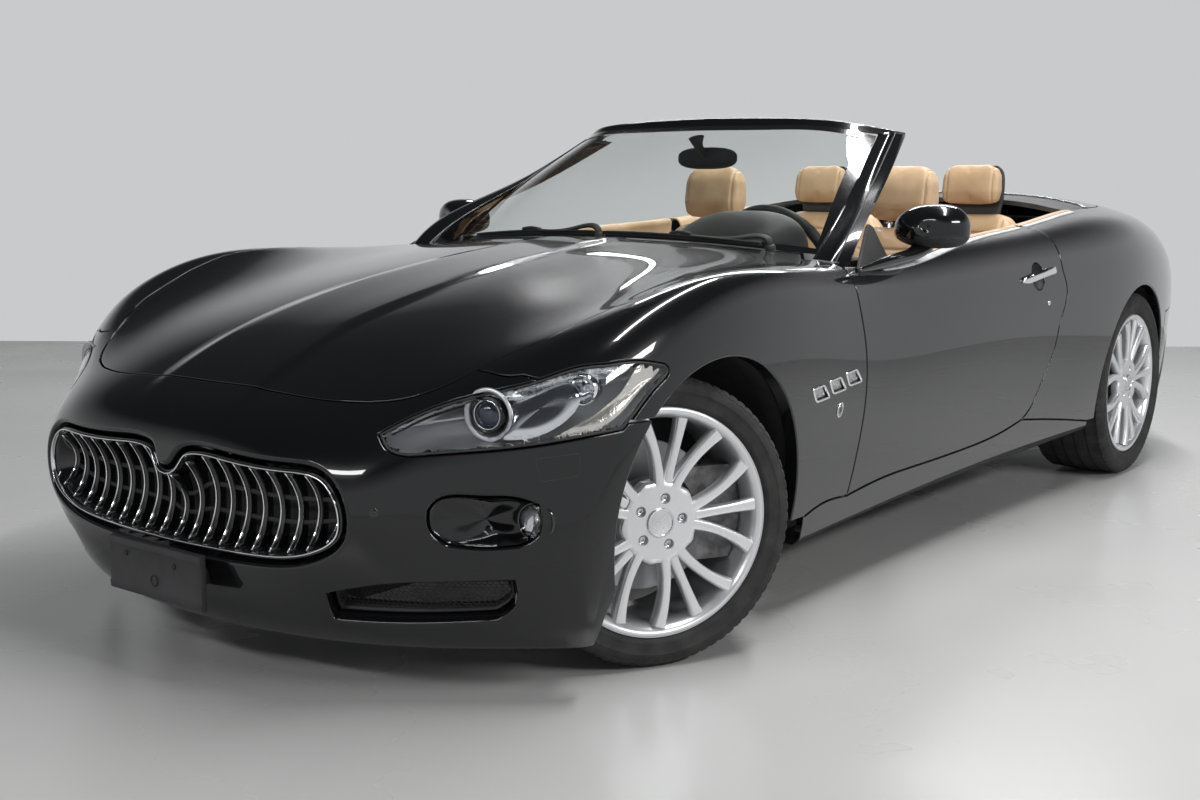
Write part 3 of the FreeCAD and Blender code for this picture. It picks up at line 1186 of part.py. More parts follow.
# Panel at the foot of the screen, with the wipers lying on it
COWL_TOP_SHARES = [
    [(0.0, -0.3500), (0.399, -0.3350), (0.595, -0.3160), (0.686, -0.2930)],
    [(0.686, -0.2930), (0.783, -0.3540)],
    [(0.783, -0.3540), (0.800, -0.3540)],
    [(0.800, -0.3540), (0.800, -0.2600)],
    [(0.800, -0.2600), (0.700, -0.2700), (0.585, -0.2850), (0.313, -0.3080), (0.0, -0.3160)],
]
BLADE_SHARES = [
    [(-0.575, -0.3140, 0.919), (-0.300, -0.3345, 0.936), (0.000, -0.3410, 0.941)],
    [(0.030, -0.3410, 0.941), (0.310, -0.3345, 0.936), (0.575, -0.3140, 0.919)],
]
ARM_SHARES = [
    [(0.020, -0.3400, 0.915), (0.015, -0.3400, 0.940), (-0.100, -0.3385, 0.944), (-0.290, -0.3345, 0.941)],
    [(0.600, -0.3080, 0.890), (0.595, -0.3085, 0.922), (0.500, -0.3180, 0.929), (0.320, -0.3340, 0.941)],
]
strip = SHELL.common(plan_prism(both_sides(COWL_TOP_SHARES), deck_height / 2, TOP))
wiper_radius = size("wheel_grip_radius") / 3
bars = [tube(points, wiper_radius) for points in BLADE_SHARES]
bars += [tube(points, wiper_radius * 1.4) for points in ARM_SHARES]
panel = largest(strip)
strip = panel.fuse([bar.cut(screen) for bar in bars])
piece("wipers", largest(strip.cut(frame)))
above_strip = plan_prism(both_sides(COWL_TOP_SHARES), deck_height * 0.8, TOP)
dash = dash.common(under_skin).fuse(cowl.cut(above_strip)).fuse(shroud)
piece("dashboard", largest(dash.cut([dial_mouth, bore, fire, fire_top, frame])))

# Door mirrors: a rounded housing on a low arm that follows the belt
SAIL_SHARES = [
    [(0.915, -0.325, 0.840), (0.925, -0.325, 0.840), (0.922, -0.325, 0.866), (0.917, -0.325, 0.866)],
    [(0.906, -0.240, 0.840), (0.940, -0.240, 0.840), (0.932, -0.240, 0.902), (0.908, -0.240, 0.902)],
    [(0.906, -0.160, 0.840), (0.955, -0.160, 0.840), (0.958, -0.160, 0.925), (0.912, -0.160, 0.925)],
]
ball = Part.makeSphere(half_width * 0.1)
stretch = FreeCAD.Matrix()
stretch.A11 = 1.08
stretch.A22 = 0.66
stretch.A33 = 0.70
stretch.move(place(0.966, -0.180, 0.957))
housing = ball.transformGeometry(stretch)
glass_side = Part.makeBox(half_width * 0.3, half_width * 0.1, half_width * 0.3,
                          place(0.82, -0.180, 0.85) + Y_AXIS * (half_width * 0.035))
housing = housing.cut(glass_side)
mirror_left = largest(loft(SAIL_SHARES).cut(MASS).fuse(housing))
piece("mirror_left", mirror_left)
piece("mirror_right", mirrored(mirror_left))

doc.recompute()
BAD_STATES = ("Invalid", "Error")
for item in doc.Objects:
    bad = [state for state in item.State if state in BAD_STATES]
    if bad:
        raise RuntimeError("%s is %s" % (item.Label, bad[0]))
for item in PIECES:
    shape = item.Shape
    if shape.isNull() or not shape.isValid() or not shape.Solids:
        raise RuntimeError("%s has no valid solid" % item.Label)
os.makedirs("parts", exist_ok=True)
for item in PIECES:
    item.Shape.exportStep("parts/%s.step" % item.Label)
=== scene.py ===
# Looks of the open touring car: gloss panels, wheels, lamps, glass, leather and trim.
# Metres, +Z up. The nose faces -Y and the car's left side is +X.
import math

import bpy
import bmesh
import numpy as np
from mathutils import Matrix, Vector
from mathutils.geometry import delaunay_2d_cdt


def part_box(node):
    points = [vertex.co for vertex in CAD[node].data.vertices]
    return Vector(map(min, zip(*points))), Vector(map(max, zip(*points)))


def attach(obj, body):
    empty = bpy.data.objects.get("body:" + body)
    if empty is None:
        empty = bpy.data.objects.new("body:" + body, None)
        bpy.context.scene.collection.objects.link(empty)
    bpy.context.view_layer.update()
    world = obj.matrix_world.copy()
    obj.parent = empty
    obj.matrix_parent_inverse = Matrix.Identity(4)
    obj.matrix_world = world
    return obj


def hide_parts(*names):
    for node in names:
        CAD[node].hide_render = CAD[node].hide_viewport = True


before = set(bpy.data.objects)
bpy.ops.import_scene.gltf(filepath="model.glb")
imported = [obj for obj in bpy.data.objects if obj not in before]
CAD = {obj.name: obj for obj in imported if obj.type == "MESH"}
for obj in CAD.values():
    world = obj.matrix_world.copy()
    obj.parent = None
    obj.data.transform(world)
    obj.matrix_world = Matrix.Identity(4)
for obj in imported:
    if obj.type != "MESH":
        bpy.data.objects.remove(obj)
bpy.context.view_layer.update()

# Driving dimensions, as in the CAD model
HALF_WIDTH = 0.9575
HALF_LENGTH = 2.4405
DECK_HEIGHT = 1.030
SKIRT_HEIGHT = 0.120
SKIRT_TUCK = 0.030
GAP = 0.005
HEM_RADIUS = 0.0025
HEM_DEPTH = 0.016
FRONT_AXLE = -1.5675
REAR_AXLE = 1.3745
TYRE_RADIUS = {"front": 0.340, "rear": 0.354}
TYRE_WIDTH = {"front": 0.245, "rear": 0.285}
ARCH_RADIUS = {"front": 0.378, "rear": 0.3844}
RIM_RADIUS = 0.270
BEAD_RADIUS = 0.252
DISH = 0.016
SPOKE_DEPTH = 0.026
HUB_RADIUS = 0.098

# The body's control net: sections from the front lip to the rear lip, each from
# the centre line over the crest of the wing and down the side to the sill.
BODY_SHARES = [
    # lip
    [(0.000, -0.9719, 0.146), (0.193, -0.9695, 0.146), (0.376, -0.9568, 0.146),
     (0.531, -0.9363, 0.147), (0.660, -0.9096, 0.149), (0.770, -0.8793, 0.151),
     (0.858, -0.8515, 0.155), (0.916, -0.8310, 0.158), (0.945, -0.8187, 0.160),
     (0.950, -0.8105, 0.161)],
    # chin
    [(0.000, -0.9826, 0.243), (0.198, -0.9818, 0.243), (0.386, -0.9752, 0.241),
     (0.543, -0.9527, 0.236), (0.672, -0.9203, 0.228), (0.780, -0.8871, 0.219),
     (0.869, -0.8564, 0.207), (0.927, -0.8334, 0.196), (0.955, -0.8195, 0.184),
     (0.955, -0.8093, 0.165)],
    # mouth
    [(0.000, -0.9908, 0.408), (0.204, -0.9916, 0.408), (0.402, -0.9916, 0.406),
     (0.585, -0.9834, 0.396), (0.677, -0.9240, 0.374), (0.792, -0.8924, 0.350),
     (0.883, -0.8597, 0.311), (0.940, -0.8343, 0.267), (0.963, -0.8179, 0.221),
     (0.959, -0.8072, 0.167)],
    # brow
    [(0.000, -0.9801, 0.563), (0.198, -0.9801, 0.565), (0.392, -0.9773, 0.559),
     (0.572, -0.9609, 0.544), (0.691, -0.9129, 0.536), (0.809, -0.8789, 0.524),
     (0.903, -0.8482, 0.476), (0.956, -0.8236, 0.388), (0.971, -0.8105, 0.272),
     (0.963, -0.8031, 0.175)],
    # nose
    [(0.000, -0.9219, 0.636), (0.196, -0.9211, 0.641), (0.386, -0.9146, 0.641),
     (0.548, -0.8982, 0.643), (0.698, -0.8748, 0.670), (0.825, -0.8461, 0.694),
     (0.924, -0.8195, 0.650), (0.971, -0.8052, 0.515), (0.982, -0.7990, 0.335),
     (0.966, -0.7949, 0.180)],
    # lamp top
    [(0.000, -0.8318, 0.743), (0.198, -0.8277, 0.748), (0.397, -0.8195, 0.742),
     (0.564, -0.8093, 0.735), (0.710, -0.7970, 0.748), (0.836, -0.7847, 0.783),
     (0.948, -0.7765, 0.796), (1.005, -0.7736, 0.631), (0.994, -0.7736, 0.369),
     (0.969, -0.7736, 0.184)],
    # front wheel
    [(0.000, -0.6421, 0.843), (0.209, -0.6421, 0.847), (0.418, -0.6421, 0.837),
     (0.595, -0.6421, 0.830), (0.752, -0.6421, 0.843), (0.873, -0.6421, 0.867),
     (0.980, -0.6421, 0.920), (1.028, -0.6421, 0.757), (1.009, -0.6421, 0.427),
     (0.977, -0.6421, 0.194)],
    # behind front wheel
    [(0.000, -0.4712, 0.898), (0.209, -0.4712, 0.898), (0.418, -0.4712, 0.888),
     (0.595, -0.4712, 0.871), (0.752, -0.4712, 0.872), (0.875, -0.4712, 0.880),
     (0.975, -0.4712, 0.885), (1.003, -0.4712, 0.694), (0.979, -0.4712, 0.417),
     (0.956, -0.4712, 0.194)],
    # screen foot
    [(0.000, -0.3073, 0.940), (0.240, -0.3073, 0.937), (0.470, -0.3073, 0.922),
     (0.648, -0.3073, 0.901), (0.773, -0.3073, 0.885), (0.877, -0.3073, 0.879),
     (0.945, -0.3073, 0.825), (0.969, -0.3073, 0.650), (0.961, -0.3073, 0.398),
     (0.940, -0.3073, 0.194)],
    # door
    [(0.000, -0.0410, 0.922), (0.261, -0.0410, 0.922), (0.501, -0.0410, 0.922),
     (0.689, -0.0410, 0.917), (0.815, -0.0410, 0.911), (0.888, -0.0410, 0.898),
     (0.945, -0.0410, 0.825), (0.969, -0.0410, 0.660), (0.945, -0.0410, 0.408),
     (0.930, -0.0410, 0.194)],
    # door end
    [(0.000, 0.2254, 0.937), (0.261, 0.2254, 0.937), (0.501, 0.2254, 0.937),
     (0.689, 0.2254, 0.934), (0.825, 0.2254, 0.930), (0.898, 0.2254, 0.920),
     (0.956, 0.2254, 0.845), (0.982, 0.2254, 0.670), (0.956, 0.2254, 0.408),
     (0.935, 0.2254, 0.194)],
    # cabin end
    [(0.000, 0.4098, 1.010), (0.261, 0.4098, 1.010), (0.501, 0.4098, 1.005),
     (0.679, 0.4098, 0.985), (0.804, 0.4098, 0.974), (0.903, 0.4098, 0.961),
     (0.977, 0.4098, 0.874), (1.008, 0.4098, 0.680), (0.992, 0.4098, 0.417),
     (0.956, 0.4098, 0.199)],
    # rear wheel
    [(0.000, 0.5737, 1.060), (0.261, 0.5737, 1.060), (0.501, 0.5737, 1.050),
     (0.668, 0.5737, 1.021), (0.794, 0.5737, 0.992), (0.909, 0.5737, 0.971),
     (0.992, 0.5737, 0.879), (1.018, 0.5737, 0.699), (1.008, 0.5737, 0.437),
     (0.971, 0.5737, 0.194)],
    # deck
    [(0.000, 0.7376, 1.053), (0.261, 0.7376, 1.050), (0.491, 0.7376, 1.039),
     (0.648, 0.7376, 1.016), (0.757, 0.7376, 0.990), (0.862, 0.7376, 0.946),
     (0.940, 0.7376, 0.850), (0.969, 0.7376, 0.689), (0.963, 0.7376, 0.456),
     (0.935, 0.7376, 0.218)],
    # tail crest
    [(0.000, 0.9219, 1.015), (0.251, 0.9178, 1.010), (0.449, 0.9076, 0.992),
     (0.590, 0.8953, 0.966), (0.700, 0.8810, 0.934), (0.799, 0.8625, 0.893),
     (0.877, 0.8400, 0.825), (0.917, 0.8236, 0.704), (0.911, 0.8154, 0.485),
     (0.883, 0.8093, 0.238)],
    # tail edge
    [(0.000, 0.9588, 0.932), (0.251, 0.9547, 0.927), (0.449, 0.9424, 0.913),
     (0.601, 0.9260, 0.888), (0.715, 0.9076, 0.856), (0.799, 0.8871, 0.816),
     (0.867, 0.8646, 0.759), (0.900, 0.8482, 0.670), (0.894, 0.8359, 0.476),
     (0.865, 0.8257, 0.248)],
    # tail
    [(0.000, 0.9952, 0.738), (0.251, 0.9911, 0.733), (0.460, 0.9732, 0.723),
     (0.611, 0.9527, 0.704), (0.719, 0.9301, 0.680), (0.796, 0.9076, 0.649),
     (0.848, 0.8851, 0.610), (0.875, 0.8687, 0.553), (0.873, 0.8543, 0.437),
     (0.848, 0.8420, 0.254)],
    # tail bulge
    [(0.000, 1.0096, 0.544), (0.251, 1.0053, 0.539), (0.460, 0.9875, 0.534),
     (0.614, 0.9670, 0.524), (0.715, 0.9445, 0.510), (0.789, 0.9219, 0.490),
     (0.838, 0.8994, 0.461), (0.863, 0.8810, 0.417), (0.861, 0.8646, 0.350),
     (0.842, 0.8502, 0.259)],
    # tail lip
    [(0.000, 0.9793, 0.254), (0.251, 0.9760, 0.254), (0.449, 0.9629, 0.254),
     (0.606, 0.9445, 0.254), (0.705, 0.9240, 0.254), (0.775, 0.9035, 0.254),
     (0.825, 0.8851, 0.254), (0.852, 0.8695, 0.254), (0.856, 0.8593, 0.254),
     (0.838, 0.8502, 0.256)],
]


def body_poles():
    """The whole control net, both sides, with a turned-in edge all round."""
    scale = np.array([HALF_WIDTH, HALF_LENGTH, DECK_HEIGHT])
    half = np.array(BODY_SHARES) * scale
    tuck = np.array([1 - SKIRT_TUCK / HALF_WIDTH, 1 - SKIRT_TUCK / HALF_LENGTH, 0])

    def turned_in(points):
        moved = points * tuck
        moved[..., 2] = SKIRT_HEIGHT
        return moved

    front = turned_in(half[0])
    rear = turned_in(half[-1])
    half = np.concatenate([half, turned_in(half[:, -1])[:, None]], axis=1)
    ends = []
    for end, first, second in ((front, half[0], half[1]), (rear, half[-1], half[-2])):
        corner = end[-1].copy()
        end[-1] = (end[-2] + corner) / 2
        first[-1] = (first[-1] + second[-1]) / 2
        ends.append(np.concatenate([end, corner[None]]))
    half = np.concatenate([ends[0][None], half, ends[1][None]])
    other = half[:, :0:-1] * np.array([-1, 1, 1])
    return np.concatenate([other, half], axis=1)


POLES = body_poles()


def basis(count, t):
    """Weights of the poles of a clamped uniform cubic spline at each value of t."""
    degree = 3
    spans = count - degree
    x = np.clip(np.asarray(t, float), 0, 1 - 1e-9) * spans
    knots = np.concatenate([np.zeros(degree), np.arange(spans + 1.0), np.full(degree, float(spans))])
    weights = ((x[:, None] >= knots[None, :-1]) & (x[:, None] < knots[None, 1:])).astype(float)
    for d in range(1, degree + 1):
        rise = knots[d:-1] - knots[:-1 - d]
        fall = knots[d + 1:] - knots[1:-d]
        up = np.where(rise > 0, (x[:, None] - knots[:-1 - d]) / np.where(rise > 0, rise, 1), 0)
        down = np.where(fall > 0, (knots[d + 1:] - x[:, None]) / np.where(fall > 0, fall, 1), 0)
        weights = up * weights[:, :-1] + down * weights[:, 1:]
    return weights


def net_point(uv):
    """Points of the body's surface. u runs nose to tail and v from the right skirt to the left."""
    uv = np.asarray(uv, float)
    rows = basis(POLES.shape[0], uv[:, 0])
    columns = basis(POLES.shape[1], uv[:, 1])
    along = (rows @ POLES.reshape(POLES.shape[0], -1)).reshape(len(uv), POLES.shape[1], 3)
    return np.einsum("nv,nvk->nk", columns, along)


STEP = 1e-4


def slopes(uv, point=net_point):
    u_step = np.array([STEP, 0])
    v_step = np.array([0, STEP])
    along = (point(np.clip(uv + u_step, 0, 1)) - point(np.clip(uv - u_step, 0, 1))) / (2 * STEP)
    across = (point(np.clip(uv + v_step, 0, 1)) - point(np.clip(uv - v_step, 0, 1))) / (2 * STEP)
    return along, across


def unit(vectors):
    return vectors / np.maximum(np.linalg.norm(vectors, axis=-1, keepdims=True), 1e-12)


def net_normal(uv, point=net_point):
    along, across = slopes(uv, point)
    return unit(np.cross(across, along))


def smooth_step(x):
    x = np.clip(x, 0, 1)
    return x * x * (3 - 2 * x)


# Bonnet creases: half the distance between them at the nose and at the screen
CREASE_NOSE = 0.200
CREASE_SCREEN = 0.150
CREASE_HEIGHT = 0.006
CREASE_WIDTH = 0.045


def crease(points):
    """How far the bonnet's raised middle stands proud of the plain form."""
    y = points[:, 1]
    share = np.clip((y + 2.25) / 1.40, 0, 1)
    edge = CREASE_NOSE + (CREASE_SCREEN - CREASE_NOSE) * share
    inside = smooth_step((edge - np.abs(points[:, 0])) / CREASE_WIDTH)
    fade = smooth_step((y + 2.38) / 0.20) * smooth_step((-0.80 - y) / 0.12)
    return CREASE_HEIGHT * inside * fade


def skin_point(uv):
    points = net_point(uv)
    lift = crease(points)
    if not np.any(lift):
        return points
    return points + net_normal(uv) * lift[:, None]


def skin_normal(uv):
    return net_normal(uv, skin_point)


# Dense samples of the left half, used to find where a place of a drawing lies on the skin
SEEK_U = np.linspace(0.002, 0.998, 300)
SEEK_V = np.linspace(0.5, 0.998, 160)
SEEK = np.stack(np.meshgrid(SEEK_U, SEEK_V, indexing="ij"), -1).reshape(-1, 2)
SEEK_POINTS = net_point(SEEK)
SEEK_NORMALS = net_normal(SEEK)

LAMP_ANGLE = math.radians(40)
LAMP_ACROSS = np.array([math.cos(LAMP_ANGLE), math.sin(LAMP_ANGLE), 0])
LAMP_OUT = np.array([math.sin(LAMP_ANGLE), -math.cos(LAMP_ANGLE), 0])
UP = np.array([0.0, 0.0, 1.0])
# Each drawing: its two axes with the sizes its shares follow, and the way it looks from
DRAWINGS = {
    "side": (np.array([0, HALF_LENGTH, 0]), UP * DECK_HEIGHT, np.array([1.0, 0, 0]), None),
    "plan": (np.array([HALF_WIDTH, 0, 0]), np.array([0, HALF_LENGTH, 0]), UP, None),
    "front": (np.array([HALF_WIDTH, 0, 0]), UP * DECK_HEIGHT, np.array([0, -1.0, 0]), -1),
    "rear": (np.array([HALF_WIDTH, 0, 0]), UP * DECK_HEIGHT, np.array([0, 1.0, 0]), 1),
    "lamp": (LAMP_ACROSS * HALF_LENGTH * 0.79, UP * DECK_HEIGHT, LAMP_OUT, -1),
}


def locate(drawing, spots):
    """Where the places of a drawing lie on the left half of the skin, as u and v."""
    first, second, out, end = DRAWINGS[drawing]
    frame_axes = np.stack([first / (first @ first), second / (second @ second)])
    seen = SEEK_NORMALS @ out > 0.04
    if end is not None:
        seen &= SEEK_POINTS[:, 1] * end > HALF_LENGTH * 0.5
    flat = SEEK_POINTS[seen] @ frame_axes.T
    lengths = np.array([np.linalg.norm(first), np.linalg.norm(second)])
    spots = np.asarray(spots, float)
    gaps = ((flat[None] - spots[:, None]) * lengths) ** 2
    uv = SEEK[seen][gaps.sum(-1).argmin(1)]
    for _ in range(6):
        miss = spots - net_point(uv) @ frame_axes.T
        along, across = slopes(uv)
        grid = np.stack([along @ frame_axes.T, across @ frame_axes.T], -1)
        det = grid[:, 0, 0] * grid[:, 1, 1] - grid[:, 0, 1] * grid[:, 1, 0]
        det = np.where(np.abs(det) < 1e-6, 1e-6, det)
        step = np.stack([grid[:, 1, 1] * miss[:, 0] - grid[:, 0, 1] * miss[:, 1],
                         grid[:, 0, 0] * miss[:, 1] - grid[:, 1, 0] * miss[:, 0]], -1) / det[:, None]
        uv = np.clip(uv + np.clip(step, -0.02, 0.02), [0, 0.5], [1, 1])
    return uv


def nearest(uv, targets):
    """The places of the skin nearest to some points, from places already close by."""
    for _ in range(4):
        miss = targets - net_point(uv)
        along, across = slopes(uv)
        a = (along * along).sum(-1)
        b = (along * across).sum(-1)
        c = (across * across).sum(-1)
        p = (along * miss).sum(-1)
        q = (across * miss).sum(-1)
        det = np.maximum(a * c - b * b, 1e-9)
        uv = np.clip(uv + np.stack([c * p - b * q, a * q - b * p], -1) / det[:, None], 0, 1)
    return uv


def smooth_line(points, spacing):
    """Points along a smooth line through the given ones, or along a straight one through two."""
    points = np.asarray(points, float)
    chords = np.linalg.norm(np.diff(points, axis=0), axis=1)
    marks = np.concatenate([[0], np.cumsum(chords)])
    count = max(2, int(math.ceil(marks[-1] / spacing)) + 1)
    t = np.linspace(0, marks[-1], count)
    if len(points) == 2:
        share = (t / marks[-1])[:, None]
        return points[0] * (1 - share) + points[1] * share
    size = len(points)
    grid = np.zeros((size, size))
    right = np.zeros((size, points.shape[1]))
    grid[0, 0] = grid[-1, -1] = 1
    for i in range(1, size - 1):
        before = marks[i] - marks[i - 1]
        after = marks[i + 1] - marks[i]
        grid[i, i - 1:i + 2] = (before, 2 * (before + after), after)
        right[i] = 6 * ((points[i + 1] - points[i]) / after - (points[i] - points[i - 1]) / before)
    bend = np.linalg.solve(grid, right)
    span = np.clip(np.searchsorted(marks, t, side="right") - 1, 0, size - 2)
    width = (marks[span + 1] - marks[span])[:, None]
    a = (marks[span + 1] - t)[:, None]
    b = (t - marks[span])[:, None]
    line = (bend[span] * a ** 3 + bend[span + 1] * b ** 3) / (6 * width)
    line += (points[span] / width - bend[span] * width / 6) * a
    line += (points[span + 1] / width - bend[span + 1] * width / 6) * b
    return line


OUTLINE_SPACING = 0.012


def trace(drawing, run):
    """A run of share pairs of a drawing as a line on the skin."""
    first, second = DRAWINGS[drawing][:2]
    lengths = np.array([np.linalg.norm(first), np.linalg.norm(second)])
    line = smooth_line(np.asarray(run, float) * lengths, OUTLINE_SPACING) / lengths
    return locate(drawing, line)


def join(*lines):
    """Lines one after another as one closed outline, without doubled points."""
    whole = np.concatenate(lines)
    keep = [0]
    for index in range(1, len(whole)):
        if np.linalg.norm((whole[index] - whole[keep[-1]]) * METRIC) > 0.002:
            keep.append(index)
    if np.linalg.norm((whole[keep[-1]] - whole[0]) * METRIC) < 0.002:
        keep.pop()
    return whole[keep]


METRIC = np.array([4.9, 3.4])


def flipped(line):
    """The line on the other side of the car, run the other way."""
    other = line[::-1].copy()
    other[:, 1] = 1 - other[:, 1]
    return other


def area_sign(outline):
    x, y = outline.T
    return np.sign((x * np.roll(y, -1) - np.roll(x, -1) * y).sum())


def moved_in(outline, distance):
    """A closed outline moved inwards over the skin; outwards for a distance below zero."""
    if not distance:
        return outline
    points = net_point(outline)
    ahead = np.roll(outline, -1, 0)
    behind = np.roll(outline, 1, 0)
    tangent = unit(net_point(ahead) - net_point(behind))
    inward = np.cross(net_normal(outline), tangent) * area_sign(outline * METRIC) * SKIN_HAND
    inner = (outline[:, 1] > 1e-4) & (outline[:, 1] < 1 - 1e-4)
    inner &= (outline[:, 0] > 1e-4) & (outline[:, 0] < 1 - 1e-4)
    targets = np.where(inner[:, None], points + inward * distance, points)
    return nearest(outline, targets)


SKIN_HAND = -1


def inside(outline, places):
    """Which places lie inside a closed outline."""
    x, y = places[:, 0][:, None], places[:, 1][:, None]
    ax, ay = outline.T
    bx, by = np.roll(outline, -1, 0).T
    crossing = (ay > y) != (by > y)
    with np.errstate(divide="ignore", invalid="ignore"):
        at = ax + (y - ay) * (bx - ax) / (by - ay)
    return (crossing & (x < at)).sum(1) % 2 == 1


def edge_distance(outline, places):
    """Distance over the skin, roughly, from each place to the nearest point of the outline."""
    gaps = (places[:, None] - outline[None]) * METRIC
    return np.sqrt((gaps ** 2).sum(-1)).min(1)


class Edge:
    """A closed outline with how its panel is finished there."""

    def __init__(self, line, gap=GAP, radius=HEM_RADIUS, depth=HEM_DEPTH):
        self.line = line
        self.gap = gap
        self.radius = radius
        self.depth = depth


GRID_U = 230
GRID_V = 160


def panel_mesh(name, outer, holes=(), grid=(GRID_U, GRID_V), point=skin_point, normal=skin_normal, sink=0.0):
    """A sheet of the skin inside one outline and outside others, its edges rolled in."""
    keep = moved_in(outer.line, outer.gap / 2 + outer.radius)
    cuts = [moved_in(hole.line, -(hole.gap / 2 + hole.radius)) for hole in holes]
    rows = np.arange(1, grid[0]) / grid[0]
    columns = np.arange(1, grid[1]) / grid[1]
    spots = np.stack(np.meshgrid(rows, columns, indexing="ij"), -1).reshape(-1, 2)
    low, high = keep.min(0), keep.max(0)
    spots = spots[((spots > low) & (spots < high)).all(1)]
    spots = spots[inside(keep, spots)]
    spots = spots[edge_distance(keep, spots) > 0.006]
    for cut in cuts:
        if len(spots):
            spots = spots[~inside(cut, spots)]
            spots = spots[edge_distance(cut, spots) > 0.006]
    places = [keep] + cuts
    edges = []
    start = 0
    for line in places:
        count = len(line)
        edges += [(start + i, start + (i + 1) % count) for i in range(count)]
        start += count
    flat = np.concatenate(places + [spots]) * METRIC
    found = delaunay_2d_cdt([Vector(p) for p in flat], edges, [], 0, 1e-7)
    uv = np.array([tuple(v) for v in found[0]]) / METRIC
    faces = np.array(found[2])
    middle = uv[faces].mean(1)
    good = inside(keep, middle)
    for cut in cuts:
        good &= ~inside(cut, middle)
    faces = faces[good]
    used = np.unique(faces)
    number = np.full(len(uv), -1)
    number[used] = np.arange(len(used))
    uv = uv[used]
    faces = number[faces]
    points = point(uv)
    normals = normal(uv)
    if sink:
        points = points - normals * sink
    corner = points[faces]
    facing = np.cross(corner[:, 1] - corner[:, 0], corner[:, 2] - corner[:, 0])
    wrong = (facing * normals[faces[:, 0]]).sum(-1) < 0
    faces[wrong] = faces[wrong][:, ::-1]
    return rolled(name, points, normals, faces, uv, [outer] + list(holes))


ROLL_STEPS = 4


def rolled(name, points, normals, faces, uv, edges):
    """The mesh of a sheet with its free edges rolled back, normals included."""
    half_edges = {}
    for a, b, c in faces:
        for pair in ((a, b), (b, c), (c, a)):
            half_edges[pair] = True
    free = [pair for pair in half_edges if (pair[1], pair[0]) not in half_edges]
    starts = np.array([pair[0] for pair in free])
    ends = np.array([pair[1] for pair in free])
    along = unit(points[ends] - points[starts])
    out = unit(np.cross(along, normals[starts]))
    rim = np.unique(np.concatenate([starts, ends]))
    slot = np.full(len(points), -1)
    slot[rim] = np.arange(len(rim))
    push = np.zeros((len(rim), 3))
    np.add.at(push, slot[starts], out)
    np.add.at(push, slot[ends], out)
    push = unit(push)
    rim_normals = normals[rim]
    push = unit(push - rim_normals * (push * rim_normals).sum(-1, keepdims=True))
    distances = np.stack([edge_distance(edge.line, uv[rim]) for edge in edges])
    nearest_edge = distances.argmin(0)
    radius = np.array([edge.radius for edge in edges])[nearest_edge][:, None]
    depth = np.array([edge.depth for edge in edges])[nearest_edge][:, None]
    all_points = [points]
    all_normals = [normals]
    for step in range(1, ROLL_STEPS + 1):
        angle = math.pi / 2 * step / ROLL_STEPS
        all_points.append(points[rim] + push * radius * math.sin(angle)
                          - rim_normals * radius * (1 - math.cos(angle)))
        all_normals.append(rim_normals * math.cos(angle) + push * math.sin(angle))
    all_points.append(all_points[-1] - rim_normals * depth)
    all_normals.append(push)
    polygons = [tuple(face) for face in faces]
    base = len(points)
    count = len(rim)
    for step in range(ROLL_STEPS + 1):
        for a, b in zip(slot[starts], slot[ends]):
            inner_a = starts_of(step, a, rim, base, count)
            inner_b = starts_of(step, b, rim, base, count)
            outer_a = base + step * count + a
            outer_b = base + step * count + b
            polygons.append((inner_b, inner_a, outer_a, outer_b))
    return make_mesh(name, np.concatenate(all_points), polygons, np.concatenate(all_normals))


def starts_of(step, index, rim, base, count):
    """The vertex that a rolled strip starts from."""
    if step == 0:
        return int(rim[index])
    return base + (step - 1) * count + int(index)


def make_mesh(name, points, polygons, normals=None):
    mesh = bpy.data.meshes.new(name)
    mesh.from_pydata([tuple(p) for p in points], [], [tuple(int(i) for i in face) for face in polygons])
    mesh.update()
    mesh.polygons.foreach_set("use_smooth", [True] * len(mesh.polygons))
    if normals is not None:
        mesh.normals_split_custom_set_from_vertices([tuple(n) for n in unit(normals)])
    item = bpy.data.objects.new(name, mesh)
    bpy.context.scene.collection.objects.link(item)
    return item


def finish_piece(item, body, material, slot, *nodes):
    """Gives a piece its material and body, and hides the CAD nodes that it stands for."""
    item.data.materials.clear()
    item.data.materials.append(material)
    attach(item, body)
    if nodes:
        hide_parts(*nodes)
    return item


def mirrored_piece(item, name):
    """A copy of a piece on the other side of the car."""
    mesh = item.data
    points = np.empty(len(mesh.vertices) * 3)
    mesh.vertices.foreach_get("co", points)
    points = points.reshape(-1, 3) * np.array([-1, 1, 1])
    polygons = [tuple(polygon.vertices)[::-1] for polygon in mesh.polygons]
    normals = None
    if mesh.has_custom_normals:
        corner = np.empty(len(mesh.loops) * 3)
        mesh.corner_normals.foreach_get("vector", corner)
        corner = corner.reshape(-1, 3)
        vertex = np.empty(len(mesh.loops), int)
        mesh.loops.foreach_get("vertex_index", vertex)
        normals = np.zeros((len(points), 3))
        normals[vertex] = corner * np.array([-1, 1, 1])
    return make_mesh(name, points, polygons, normals)
